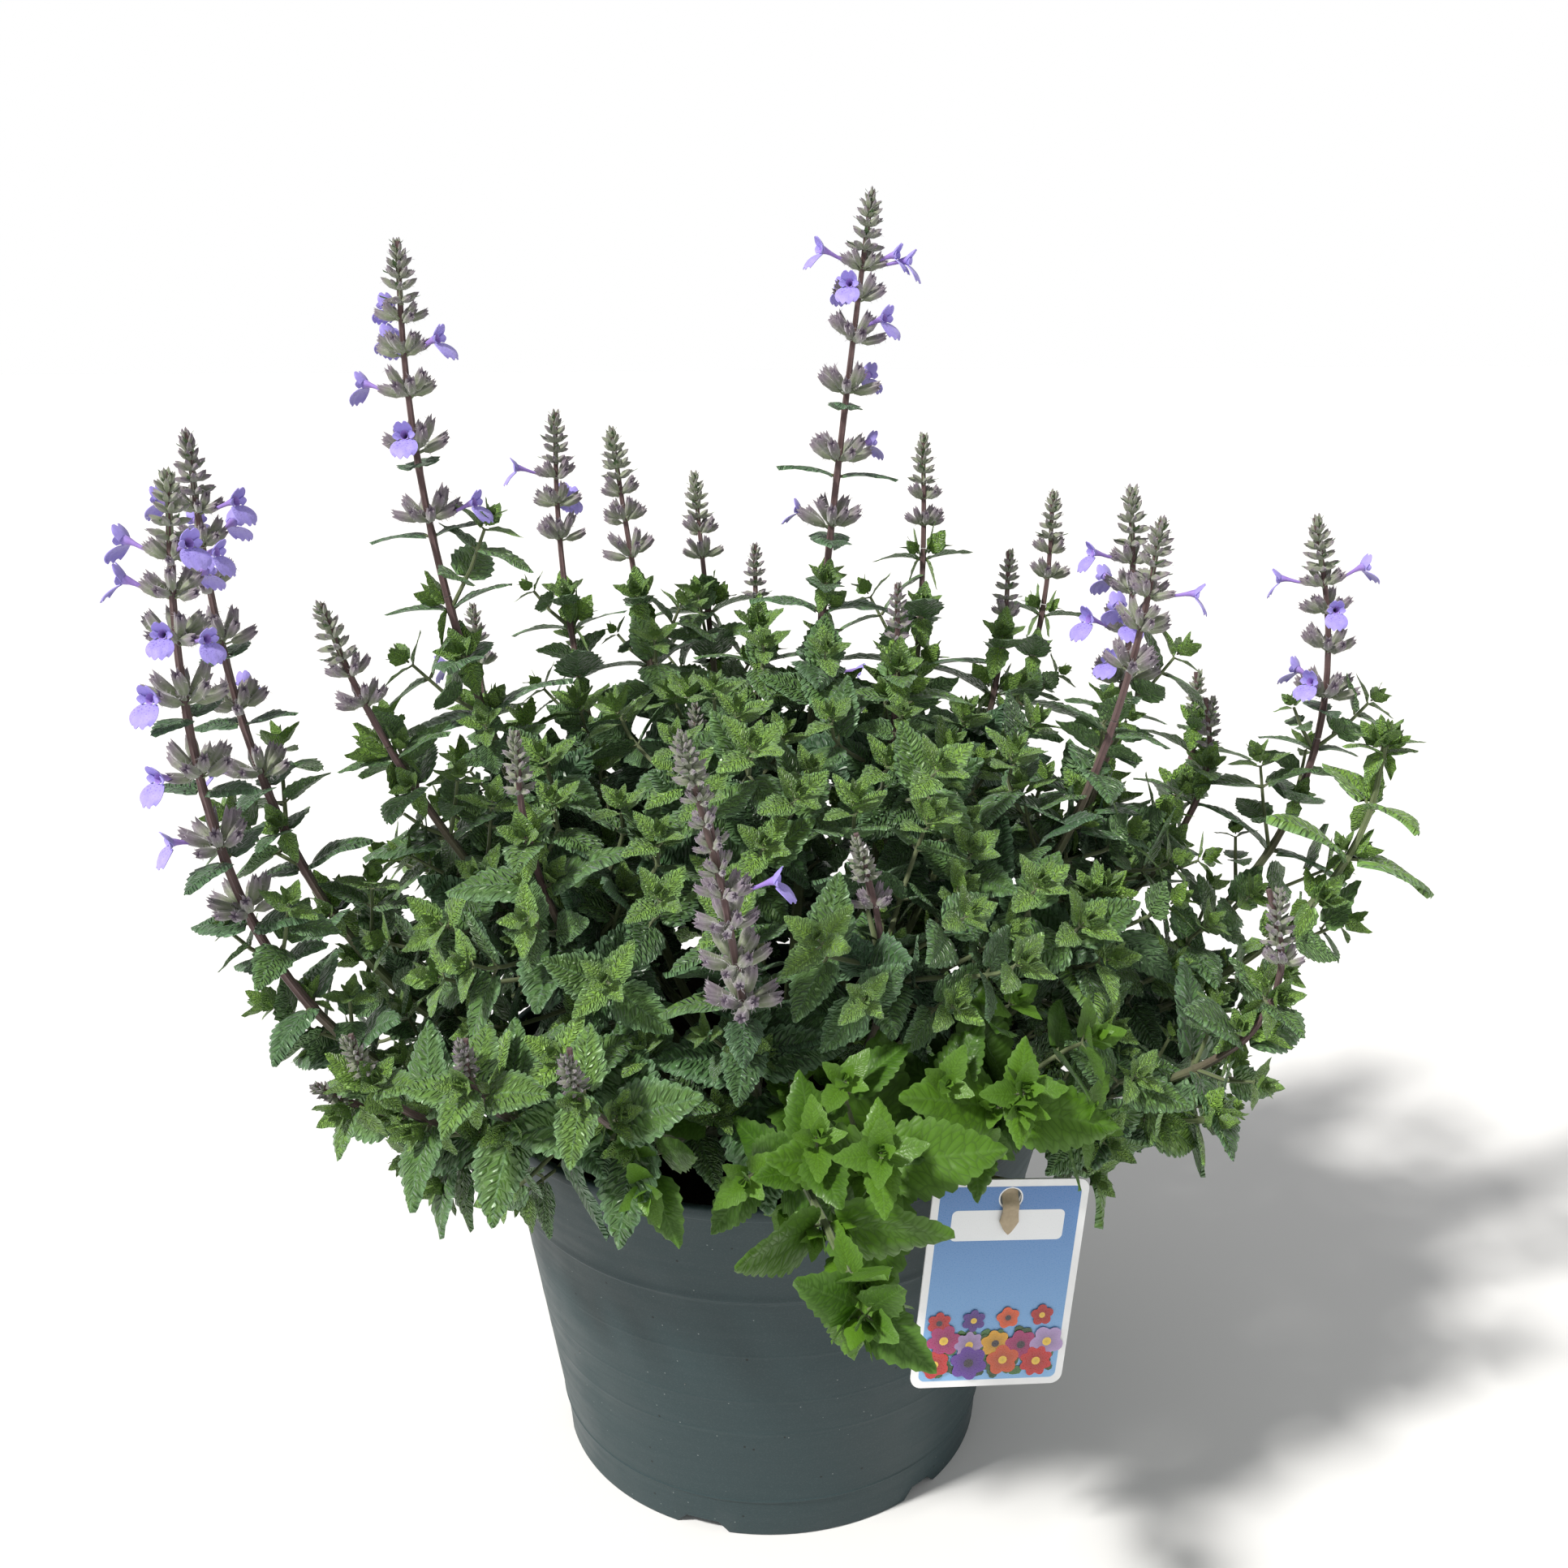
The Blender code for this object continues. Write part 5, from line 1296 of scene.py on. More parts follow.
# Side shoots in the axils
AXIL_BARE = 0.15
SHOOT_BELOW = 0.72
SHOOT_CHANCE = 0.62
SHOOT_LENGTH = (16 * MM, 36 * MM)
AXIL_TUFT = (10 * MM, 18 * MM)
SHOOT_RADII = (0.85 * MM, 0.75 * MM, 0.6 * MM)
TWO_PAIRS = 24 * MM
SHOOT_LEAF = 28 * MM
SHOOT_TRIES = 4

# Filler shoots: tries over the dome, how near and how many parts are enough there, and their reach
FILL_TRIES = 360
FILL_NEAR = 24 * MM
FILL_ENOUGH = 4
FILL_ROOT_STEP = 7 * MM
FILL_REACH = (24 * MM, 100 * MM)
FILL_SLACK = 0.07
FILL_WORST = 0.14
FILL_YOUTH = 0.14
GOLDEN_TURN = 2.39996
SPINE_STEPS = 7
SPINE_RADII = (1.15 * MM, 0.65 * MM)
SPINE_PITCH = (17 * MM, 22 * MM)
SPINE_LEAF = (31, 42)
SPINE_TRIES = 6

# Stems whose spike stands higher in the photo than its solid does
LONGER_SPIKES = {"spike_front_spike": 31 * MM, "spike_front_right_spike": 4 * MM}
SMALL_WHORL_GAP = 8.5 * MM

# How young, and so how light, the leaves of a stem are: low down, more toward its tip, and without a spike
LOW_YOUTH = 0.12
TIP_YOUTH = 0.60
LEAFY_YOUTH = 0.20
BRACT_YOUTH = 0.08
BACK_Y = 0.03
BACK_SEEN = 0.62
SHORTER = 0.62
MORE_FLOWERS = 0.022
HANGING_TUFT = 27 * MM
TIP_TUFT = 15 * MM


class Crowd:
    """What stands already, for quick overlap tests between leaves."""

    def __init__(self):
        self.lows = np.zeros((0, 3))
        self.highs = np.zeros((0, 3))
        self.trees = []

    def near(self, point, reach):
        """How many parts lie within reach of a point."""
        away = (self.lows + self.highs) * 0.5 - np.array(point)
        return int((np.einsum("ij,ij->i", away, away) < reach * reach).sum())

    def add(self, organ):
        verts, faces = organ_mesh(organ)
        points = np.array(verts)
        self.lows = np.concatenate([self.lows, points.min(0)[None]])
        self.highs = np.concatenate([self.highs, points.max(0)[None]])
        self.trees.append(BVHTree.FromPolygons(verts, faces))

    def hits(self, organ):
        """How many parts an organ crosses."""
        verts, faces = organ_mesh(organ)
        points = np.array(verts)
        near = np.all((self.lows <= points.max(0)) & (self.highs >= points.min(0)), axis=1)
        tree = BVHTree.FromPolygons(verts, faces)
        return sum(1 for i in np.flatnonzero(near) if tree.overlap(self.trees[i]))


class Bounds:
    """The box that the foliage stays in, the pot, and the label with the strap."""

    def __init__(self):
        self.low = np.array(cad_box[0]) - BOX_PLAY
        self.high = np.array(cad_box[1]) + BOX_PLAY
        self.card = [np.array(vector) for vector in (CARD_TOP, *card_axes())]

    def holds(self, organ):
        """Whether an organ stays in the box and clear of the pot, the soil and the label."""
        points = np.array(organ_mesh(organ)[0][1:])
        if (points < self.low).any() or (points > self.high).any():
            return False
        radius = np.hypot(points[:, 0], points[:, 1])
        wall = collar_radius(points[:, 2])
        if ((points[:, 2] < POT_HEIGHT + MM) & (np.abs(radius - wall) < WALL_PLAY)).any():
            return False
        if ((radius < wall) & (points[:, 2] < SOIL_TOP + MM)).any():
            return False
        return not self.hides_card(points, LABEL_PLAY)

    def hides_card(self, points, margin):
        """Whether any of the points lies close in front of the label."""
        top, right, up, out = self.card
        ahead = np.array(points) - top
        before = (np.abs(ahead @ right) < CARD_WIDTH * 0.5 + margin) & (
            np.abs(ahead @ up + CARD_HEIGHT * 0.5) < CARD_HEIGHT * 0.5 + margin)
        return (before & (ahead @ out > -BEHIND_LABEL) & (ahead @ out < BEFORE_LABEL)).any()


def settles(leaf, crossing=1):
    """Add a leaf to the crowd if the bounds hold it and it crosses no more parts than that."""
    if not bounds.holds(leaf) or crowd.hits(leaf) > crossing:
        return False
    crowd.add(leaf)
    return True


def green_at(piece, point):
    """The bright smooth green of the low front shoots, darkened as painted shade, or the piece's own."""
    low, high = BRIGHT_ZONE
    return YOUNG if all(a < p < b for a, p, b in zip(low, point, high)) else piece.green


def tuft(piece, base, axis, side, length, draw, youth):
    """A rosette of small opposite leaves round an axis, the inner ones shorter and more upright."""
    for rank, (share, outward, upward) in enumerate(TUFT_RANKS):
        size = length * share * draw.uniform(0.9, 1.1)
        if size < SMALLEST_LEAF:
            continue
        for half_turn in (0, 1):
            out = around(axis, side, math.pi * (0.5 * rank + half_turn) + draw.uniform(-0.2, 0.2))
            heading = (out * outward + axis * upward).normalized()
            leaf = Leaf(base + axis * rank * TUFT_STEP * length, heading, axis, size, 0.35, 0.30)
            if bounds.holds(leaf):
                blade(piece, leaf, draw, green_at(piece, base), min(1.0, youth + TUFT_YOUTH * rank), seen=0.6)


def side_shoot(piece, base, heading, side, length, draw, youth):
    """A short shoot out of an axil with leaf pairs along it and a tuft at its tip."""
    lifted = (heading + Vector((0, 0, 0.35))).normalized()
    end = base + (heading * 0.55 + lifted * 0.45).normalized() * length
    points = [np.array(base), np.array(base + heading * length * 0.5), np.array(end)]
    if bounds.hides_card(points, SHOOT_PLAY):
        return
    tube(piece, STEM, points, SHOOT_RADII, (draw.random(), 0.05, 0, 0), 6, side)
    axis = (end - base).normalized()
    side = (side - axis * side.dot(axis)).normalized()
    pairs = 2 if length > TWO_PAIRS else 1
    for rank in range(pairs):
        at = base + axis * length * ((rank + 0.75) / (pairs + 0.35))
        for half_turn in (0, 1):
            out = around(axis, side, math.pi * (0.5 * rank + half_turn + 0.5) + draw.uniform(-0.2, 0.2))
            for trial in range(SHOOT_TRIES):
                size = min(0.85 * length, SHOOT_LEAF) * draw.uniform(0.8, 1.05) * (1 - 0.12 * trial)
                leaf_heading = (out + axis * draw.uniform(0.3, 0.7)).normalized()
                leaf = Leaf(at, leaf_heading, axis, size, draw.uniform(0.3, 0.8), 0.24)
                if settles(leaf):
                    blade(piece, leaf, draw, green_at(piece, at), youth, narrow=1.03, seen=0.8)
                    break
    tuft(piece, end, axis, side, min(14 * MM, 0.5 * length), draw, youth + 0.60)


def lower_leaves(piece, stem, route, draw):
    """The leaf pairs below those of the solid, down to the soil; gives back their places and faces."""
    rank = draw.randrange(2)
    pairs = []
    for s, length in leafy_places(stem, route)[:-LEAF_PAIRS]:
        rank += 1
        pairs.append((s, rank))
        for half_turn in (0, 2):
            face = (rank + half_turn) % 4
            for leaf in leaf_tries(route, s, face, length * draw.uniform(0.8, 1.0), draw):
                if settles(leaf, 0):
                    blade(piece, leaf, draw, green_at(piece, leaf.base), 0.0, seen=0.64)
                    break
    return pairs


def axil_growth(piece, route, pairs, draw):
    """A tuft or a short shoot above each leaf of a pair, except in the dome's hollow middle."""
    for s, face in pairs:
        rise = s / route.total
        for half_turn in (0, 2):
            where, along, side = route.at(s + 1.5 * MM)
            inward = Vector((where.x, where.y, DOME_FLATTEN * (where.z - DOME_CENTRE.z))).length
            if draw.random() < AXIL_BARE or inward < HOLLOW:
                continue
            out = around(along, side, (face + half_turn) * math.pi / 2 + draw.uniform(-0.2, 0.2))
            heading = (out * 0.75 + along * 0.85).normalized()
            base = where + out * 1.2 * MM
            if rise < SHOOT_BELOW and draw.random() < SHOOT_CHANCE:
                side_shoot(piece, base, heading, along, draw.uniform(*SHOOT_LENGTH), draw, 0.15 + 0.3 * rise)
            else:
                tuft(piece, base, heading, along, draw.uniform(*AXIL_TUFT), draw, 0.75 + 0.25 * rise)


def longer_spike(piece, head, more, draw):
    """Carry a spike's stem on with small close whorls; gives back its head, moved to the new end."""
    lean = (head.axis + Vector((-0.10, 0.0, 0.06))).normalized()
    start = head.base - head.axis * 2 * MM
    end = head.base + lean * more
    tube(piece, STEM, np.array([tuple(start), tuple(end)]), [1.3 * MM, 0.9 * MM],
         (draw.random(), 0.9, 0, 0), 8, head.side)
    count = round(more / SMALL_WHORL_GAP)
    for i in range(count):
        at = head.base + lean * more * (i + 0.15) / count
        side = head.side if i % 2 else lean.cross(head.side)
        radius = head.radius * (1.05 - 0.06 * i)
        whorl(piece, Whorl(at, lean, side.normalized(), radius, 0.0, 0, 0.0, 0), draw, 0.0)
    side = (head.side - lean * head.side.dot(lean)).normalized()
    return Head(end, lean, side, head.length * 0.75, head.radius * 0.85, head.at, head.turn)


def dress_node(name, organs, route):
    """The fine piece that stands for one node of the plant."""
    stem = next(row for row in STEMS if name.split("_", 1)[1] == row.name)
    spray = name.startswith("spray_")
    draw = random.Random("%s %d" % (name, SEED))
    piece = Piece(YOUNG if stem.name in BRIGHT_SHOOTS else LEAF)
    leaves = [organ for organ in organs if isinstance(organ, Leaf)]
    pairs = lower_leaves(piece, stem, route, draw) if spray else []
    joints = sorted({leaf.at for leaf in leaves} | {s for s, _ in pairs})
    purple_from = route.total - (stem.spike + 45 * MM if stem.spike else -60 * MM)
    fine_stem(piece, route, organs[0].start, organs[0].end, joints, purple_from, draw)
    for organ in organs[1:]:
        if isinstance(organ, Leaf):
            hides = bounds.hides_card(organ_mesh(organ)[0][1:], -LABEL_OVERLAP)
            if hides or stem.name == "label_side" and not bounds.holds(organ):
                organ = organ._replace(length=organ.length * SHORTER)
            youth = LOW_YOUTH + TIP_YOUTH * max(0.0, (organ.at / route.total - 0.50) / 0.50) ** 2
            youth += 0.0 if stem.spike else LEAFY_YOUTH
            seen = BACK_SEEN if organ.base.y > BACK_Y else 1.0
            if spray:
                blade(piece, organ, draw, piece.green, youth, seen=seen)
            else:
                blade(piece, organ, draw, LEAF, BRACT_YOUTH, seen=seen)
        elif isinstance(organ, Whorl):
            whorl(piece, organ, draw, MORE_FLOWERS * stem.flowers if stem.flowers > 1 else 0.0)
        elif isinstance(organ, Head):
            if name in LONGER_SPIKES:
                organ = longer_spike(piece, organ, LONGER_SPIKES[name], draw)
            head_of_buds(piece, organ, draw)
        elif isinstance(organ, Flower):
            flower(piece, organ, draw)
    if spray:
        faces = {}
        for leaf in leaves:
            faces.setdefault(leaf.at, leaf.face)
        axil_growth(piece, route, pairs + sorted(faces.items()), draw)
        if stem.name == "front_hanging":
            where, along, side = route.at(route.total - 2 * MM)
            facing = (along * 0.35 + Vector((-0.05, -0.85, 0.50))).normalized()
            side = facing.cross(Vector((0.55, 0.0, 0.84))).normalized()
            tuft(piece, where, facing, side, HANGING_TUFT, draw, 0.25)
        elif not stem.spike:
            where, along, side = route.at(route.total)
            tuft(piece, where, along, side, TIP_TUFT, draw, 0.7)
    return piece


def leafy_shoot(piece, base, along, target, outward, draw, youth):
    """A side shoot curved from a stem to a target point, with leaf pairs along it and a tuft at its tip."""
    length = (target - base).length
    first = base + along * 0.30 * length
    second = target - outward * 0.35 * length
    spine = []
    for i in range(SPINE_STEPS + 1):
        t = i / SPINE_STEPS
        near = base * (1 - t) ** 3 + first * 3 * t * (1 - t) ** 2
        spine.append(near + second * 3 * t * t * (1 - t) + target * t ** 3)
    points = np.array([tuple(point) for point in spine])
    if bounds.hides_card(points, SHOOT_PLAY):
        return
    radii = np.interp(range(SPINE_STEPS + 1), (0, SPINE_STEPS), SPINE_RADII)
    side = outward.orthogonal().normalized()
    tube(piece, STEM, points, radii, (draw.random(), 0.1, 0, 0), 6, side)
    pairs = max(2, round(length / draw.uniform(*SPINE_PITCH)))
    for rank in range(pairs):
        part = (rank + 0.75) / (pairs + 0.25)
        k = min(int(part * SPINE_STEPS), SPINE_STEPS - 1)
        at = spine[k].lerp(spine[k + 1], part * SPINE_STEPS - k)
        axis = (spine[k + 1] - spine[k]).normalized()
        side = (side - axis * side.dot(axis)).normalized()
        side = axis.cross(side)
        for sign in (1, -1):
            size = draw.uniform(*SPINE_LEAF) * MM * (1.0 - 0.42 * part)
            for trial in range(SPINE_TRIES):
                swing = draw.uniform(-0.25, 0.25) * (1 + 0.4 * trial)
                out = side * math.cos(swing) * sign + axis.cross(side) * math.sin(swing)
                heading = (out + axis * draw.uniform(0.2, 0.6)).normalized()
                leaf = Leaf(at, heading, axis, size * (1 - 0.06 * trial), draw.uniform(0.2, 0.6), 0.20)
                if settles(leaf):
                    seen = 0.60 if at.y > 0.02 or part < 0.45 else 1.0
                    blade(piece, leaf, draw, green_at(piece, at), youth + 0.45 * part ** 4, 1.04, seen)
                    break
    end_axis = (spine[-1] - spine[-2]).normalized()
    side = end_axis.orthogonal().normalized()
    tuft(piece, target, end_axis, side, draw.uniform(13, 19) * MM, draw, youth + 0.80)


def fill_dome(sprays):
    """More side shoots wherever the dome of leaves would show holes."""
    draw = random.Random(SEED + 4)
    spots = []
    for stem in STEMS:
        route = routes[stem.name]
        s = HOLE_DEPTH + FILL_ROOT_STEP
        while s < route.total - stem.spike - 12 * MM:
            spots.append((stem.name, *route.at(s)[:2]))
            s += FILL_ROOT_STEP
    places = np.array([tuple(spot[1]) for spot in spots])
    order = list(range(FILL_TRIES))
    draw.shuffle(order)
    for i in order:
        rise = DOME_LOW + (1 - DOME_LOW) * (i + 0.5) / FILL_TRIES
        flat = math.sqrt(1 - rise * rise)
        outward = Vector((flat * math.cos(i * GOLDEN_TURN), flat * math.sin(i * GOLDEN_TURN), rise))
        scale = draw.uniform(0.80, 1.0)
        target = DOME_CENTRE + Vector(a * b * scale for a, b in zip(outward, DOME_SIZE))
        if crowd.near(target, FILL_NEAR) > FILL_ENOUGH:
            continue
        away = np.array(target) - places
        reach = np.linalg.norm(away, axis=1)
        lift = Vector((outward.x, outward.y, max(outward.z, 0.0) + 0.35)).normalized()
        slack = 1 - away @ np.array(lift) / reach
        within = (reach > FILL_REACH[0]) & (reach < FILL_REACH[1])
        cost = np.where(within, reach + FILL_SLACK * slack, math.inf)
        pick = int(np.argmin(cost))
        if cost[pick] <= FILL_WORST:
            name, where, along = spots[pick]
            leafy_shoot(sprays[name], where, along, target, lift, draw, draw.uniform(0.0, FILL_YOUTH))


# Pot, soil and label

FINE_SEGMENTS = 128
SOIL_ROWS = 32
SOIL_COLUMNS = 96
CRUMBS = 420
CRUMB_SIZE = (0.8, 2.6)
RING = 0.10 * MM
RING_HALF = 0.9 * MM
RING_EASE = 0.4 * MM
RING_LINES = (52 * MM, 68 * MM, 90 * MM)


def turned(piece, surface, profile, segments, shape):
    """A body turned round Z from a closed profile that runs from axis to axis; shape moves its points."""
    profile = np.asarray(profile, float)
    turn = 2 * np.pi * np.arange(segments) / segments
    rings = shape(np.stack([ring_at(radius, turn, z) for radius, z in profile[1:-1]]))
    ends = np.array([[0, 0, profile[0, 1]], [0, 0, profile[-1, 1]]])
    points = np.concatenate([rings.reshape(-1, 3), ends])
    piece.add(surface, points, [block[:, ::-1] for block in capped(len(rings), segments)], points * 100)


def eased(points, radii, steps=3):
    """A profile with each corner rounded to its own radius; a radius of 0 leaves it sharp."""
    made = [np.array(points[0], float)]
    for before, corner, after, radius in zip(points, points[1:], points[2:], radii[1:-1]):
        corner = np.array(corner, float)
        back = np.array(before, float) - corner
        ahead = np.array(after, float) - corner
        reach = min(radius, 0.45 * np.linalg.norm(back), 0.45 * np.linalg.norm(ahead))
        if reach <= 0:
            made.append(corner)
            continue
        start = corner + unit(back) * reach
        end = corner + unit(ahead) * reach
        for i in range(steps + 1):
            t = i / steps
            made.append(start * (1 - t) ** 2 + corner * 2 * t * (1 - t) + end * t * t)
    made.append(np.array(points[-1], float))
    return made


def between(z, low_z, low_radius, high_z, high_radius):
    """The radius at a height on the straight line between two heights."""
    return low_radius + (high_radius - low_radius) * (z - low_z) / (high_z - low_z)


def wall_radius(z):
    """The pot's outer radius below its collar."""
    return between(z, BASE_LINE_Z, BASE_LINE_RADIUS, COLLAR_Z, COLLAR_RADIUS)


def collar_radius(z):
    """The radius of the pot's wall at its collar."""
    return between(z, COLLAR_Z, COLLAR_RADIUS, POT_HEIGHT, RIM_RADIUS)


def fine_pot(surfaces):
    """The pot with its rolled rim, collar step, faint ring lines, base line and notched foot."""
    step_z = COLLAR_Z + 1.6 * MM
    collar = COLLAR_RADIUS + COLLAR_STEP + 0.7 * MM
    rows = [
        (0.0, FLOOR_Z, 0), (BASE_LINE_RADIUS - WALL - 2 * MM, FLOOR_Z, 3 * MM),
        (COLLAR_RADIUS - WALL, step_z, 2 * MM), (RIM_RADIUS - RIM_LIP, POT_HEIGHT, 1.0 * MM),
        (RIM_RADIUS - 0.4 * MM, POT_HEIGHT, 1.0 * MM), (RIM_RADIUS, POT_HEIGHT - 2.4 * MM, 1.2 * MM),
        (RIM_RADIUS - 0.5 * MM, POT_HEIGHT - 4.6 * MM, 0.5 * MM),
        (RIM_RADIUS - 2.0 * MM, POT_HEIGHT - 5.2 * MM, 0.6 * MM),
        (collar, step_z + 3.0 * MM, 2 * MM), (collar, step_z, 0.5 * MM),
        (COLLAR_RADIUS, COLLAR_Z - 0.4 * MM, 0.5 * MM),
    ]
    for ring_z in reversed(RING_LINES):
        for z, more in ((ring_z + RING_HALF, 0.0), (ring_z, RING), (ring_z - RING_HALF, 0.0)):
            rows.append((wall_radius(z) + more, z, RING_EASE))
    rows += [
        (BASE_LINE_RADIUS + 0.2 * MM, BASE_LINE_Z + 0.8 * MM, 0.3 * MM),
        (BASE_LINE_RADIUS + 0.5 * MM, BASE_LINE_Z, 0.3 * MM),
        (BASE_LINE_RADIUS - 0.5 * MM, BASE_LINE_Z - 0.9 * MM, 0.3 * MM),
        (FOOT_RADIUS, 0.0, 0.8 * MM), (FOOT_RADIUS - FOOT_WIDTH, 0.0, 0.6 * MM),
        (FOOT_RADIUS - FOOT_WIDTH - MM, FLOOR_Z - 2 * MM, 0.8 * MM),
        (PAD_RADIUS + 2 * MM, FLOOR_Z - 2 * MM, 0.8 * MM), (PAD_RADIUS, 0.0, 0.6 * MM), (0.0, 0.0, 0),
    ]
    profile = eased([row[:2] for row in rows], [row[2] for row in rows])

    def notched(rings):
        """The foot ring pushed up where its notches are."""
        turn = 2 * np.pi * np.arange(FINE_SEGMENTS) / FINE_SEGMENTS
        pitch = 2 * np.pi / FOOT_NOTCHES
        off = np.abs((turn - pitch * NOTCH_TURN + pitch / 2) % pitch - pitch / 2)
        inside = off < NOTCH_WIDTH * 0.5 / FOOT_RADIUS
        ring = np.hypot(rings[:, 0, 0], rings[:, 0, 1]) > FOOT_RADIUS - FOOT_WIDTH - 2 * MM
        pick = ring[:, None] & inside[None, :] & (rings[..., 2] < NOTCH_HEIGHT)
        rings[..., 2] = np.where(pick, NOTCH_HEIGHT, rings[..., 2])
        return rings

    piece = Piece()
    turned(piece, "pot", profile, FINE_SEGMENTS, notched)
    made = piece.make("fine_pot", surfaces, 35)
    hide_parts("pot")


def lumps(x, y, draw, waves=26):
    """Soft bumps of several sizes, from -1 to 1."""
    total = np.zeros_like(x)
    for i in range(waves):
        pitch = 6 * MM * 0.86 ** (i % 9) + 1.2 * MM
        angle = draw.uniform(0, 2 * math.pi)
        total += np.sin((x * math.cos(angle) + y * math.sin(angle)) * 2 * math.pi / (2.6 * pitch)
                        + draw.uniform(0, 6.3)) * pitch / (7 * MM)
    return total / math.sqrt(waves)


def icosahedron():
    """Points and faces of a ball with twenty faces."""
    gold = (1 + math.sqrt(5)) / 2
    points = []
    for a in (-1, 1):
        for b in (-gold, gold):
            points += [(0, a, b), (a, b, 0), (b, 0, a)]
    points = unit(np.array(points, float))
    faces = []
    for i, j, k in combinations(range(12), 3):
        a, b, c = points[[i, j, k]]
        if max(np.linalg.norm(a - b), np.linalg.norm(b - c), np.linalg.norm(a - c)) < 1.1:
            facing = np.cross(b - a, c - a) @ a
            faces.append((i, j, k) if facing > 0 else (i, k, j))
    return points, np.array(faces)


def fine_soil(surfaces):
    """Crumbly compost to just below the rim."""
    draw = random.Random(SEED + 2)
    edge = collar_radius(SOIL_TOP) - (WALL + FIT + 1.4 * MM)
    radii = edge * np.linspace(0, 1, SOIL_ROWS) ** 0.8
    profile = [(radius, SOIL_TOP) for radius in radii]
    profile += [(COLLAR_RADIUS - WALL - MM, COLLAR_Z), (BASE_LINE_RADIUS - WALL - MM, BASE_LINE_Z),
                (BASE_LINE_RADIUS - WALL - 4 * MM, FLOOR_Z + FIT), (0.0, FLOOR_Z + FIT)]

    def crumbly(rings):
        """The top made lumpy."""
        top = rings[..., 2] > SOIL_TOP - MM
        rise = lumps(rings[..., 0], rings[..., 1], draw) * 1.5 * MM - 0.8 * MM
        rings[..., 2] += np.where(top, rise, 0.0)
        return rings

    piece = Piece()
    turned(piece, "soil", profile[::-1], SOIL_COLUMNS, crumbly)
    ball, faces = icosahedron()
    for _ in range(CRUMBS):
        radius = (edge - 3 * MM) * math.sqrt(draw.random())
        angle = draw.uniform(0, 2 * math.pi)
        size = draw.uniform(*CRUMB_SIZE) * MM
        shape = ball * np.array([[draw.uniform(0.7, 1.3)] for _ in range(12)])
        where = np.array([radius * math.cos(angle), radius * math.sin(angle), SOIL_TOP - 0.3 * MM])
        points = shape * size * (1, 1, 0.75) + where
        piece.add("soil", points, [faces], points * 100, (draw.random(), 0, 0, 0))
    made = piece.make("fine_soil", surfaces, 50)
    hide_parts("soil")


# The label: card, print and strap

CARD_BORDER = 2.6 * MM
PRINT_RISE = 0.05 * MM
PANEL_SIZE = (40 * MM, 11.5 * MM)
PANEL_TOP = 11.4 * MM
INK_LAYER = 0.02 * MM
SKY_TOP = (0.055, 0.175, 0.440)
SKY_LOW = (0.210, 0.420, 0.700)
PANEL_WHITE = (0.80, 0.82, 0.84)
GRASS = (0.025, 0.085, 0.015)
PETAL_INKS = ((0.48, 0.012, 0.010), (0.66, 0.33, 0.010), (0.090, 0.022, 0.250), (0.40, 0.020, 0.15),
              (0.58, 0.08, 0.015), (0.40, 0.28, 0.52))
YELLOW_MIDDLE = (0.75, 0.50, 0.05)
DARK_MIDDLE = (0.03, 0.02, 0.03)
OUTLINE_PITCH = 2.5 * MM

# Printed bed: its number of leaves, and rows of flowers by height in mm, number and size in mm
PRINTED_LEAVES = 90
FLOWER_ROWS = ((22.5, 4, 4.2), (15.0, 5, 5.8), (7.2, 4, 6.4))


def card_point(x, y, depth=0.0):
    """Points of the label's own plane, from its top middle: x to the right, y up, depth outward."""
    right, up, out = (np.array(axis) for axis in card_axes())
    x = np.asarray(x, float)[..., None]
    y = np.asarray(y, float)[..., None]
    return np.array(CARD_TOP) + right * x + up * y + out * depth


def rounded_outline(left, right, low, high, corner, steps=8):
    """A rectangle with round corners, counter-clockwise."""
    points = []
    for cx, cy, start in ((right - corner, high - corner, 0), (left + corner, high - corner, 90),
                          (left + corner, low + corner, 180), (right - corner, low + corner, 270)):
        for i in range(steps + 1):
            turn = math.radians(start + 90 * i / steps)
            points.append((cx + corner * math.cos(turn), cy + corner * math.sin(turn)))
    return np.array(points)


def dense(outline, pitch):
    """The outline with points no further apart than pitch."""
    made = []
    for a, b in zip(outline, np.roll(outline, -1, 0)):
        count = max(1, math.ceil(np.linalg.norm(b - a) / pitch))
        made += [a + (b - a) * i / count for i in range(count)]
    return np.array(made)


def ink(colour):
    return (*colour, 0.0)


def print_places(flat):
    """Places of points of the card's plane, for its finish."""
    return np.concatenate([flat * 100, np.zeros((len(flat), 1))], 1)


def card_layer(piece, surface, outline, hole, depth, tones, rows=10):
    """A flat face between a round hole and an outline."""
    centre = np.array([0.0, -CARD_HOLE_DROP])
    inner = centre + unit(outline - centre) * hole
    part = np.linspace(0, 1, rows)[:, None, None]
    flat = inner * (1 - part) + outline * part
    points = card_point(flat[..., 0], flat[..., 1], depth).reshape(-1, 3)
    flat = flat.reshape(-1, 2)
    faces = grid_faces(rows, len(outline), True)[:, ::-1]
    piece.add(surface, points, [faces], print_places(flat), tones(flat))
    return inner


def band(piece, surface, ring, depths, tone, inward=False):
    """The thin wall along a ring of the card's plane, between depths."""
    points = np.concatenate([card_point(ring[:, 0], ring[:, 1], depth) for depth in depths])
    faces = grid_faces(len(depths), len(ring), True)
    piece.add(surface, points, [faces if inward else faces[:, ::-1]], points * 100, tone)


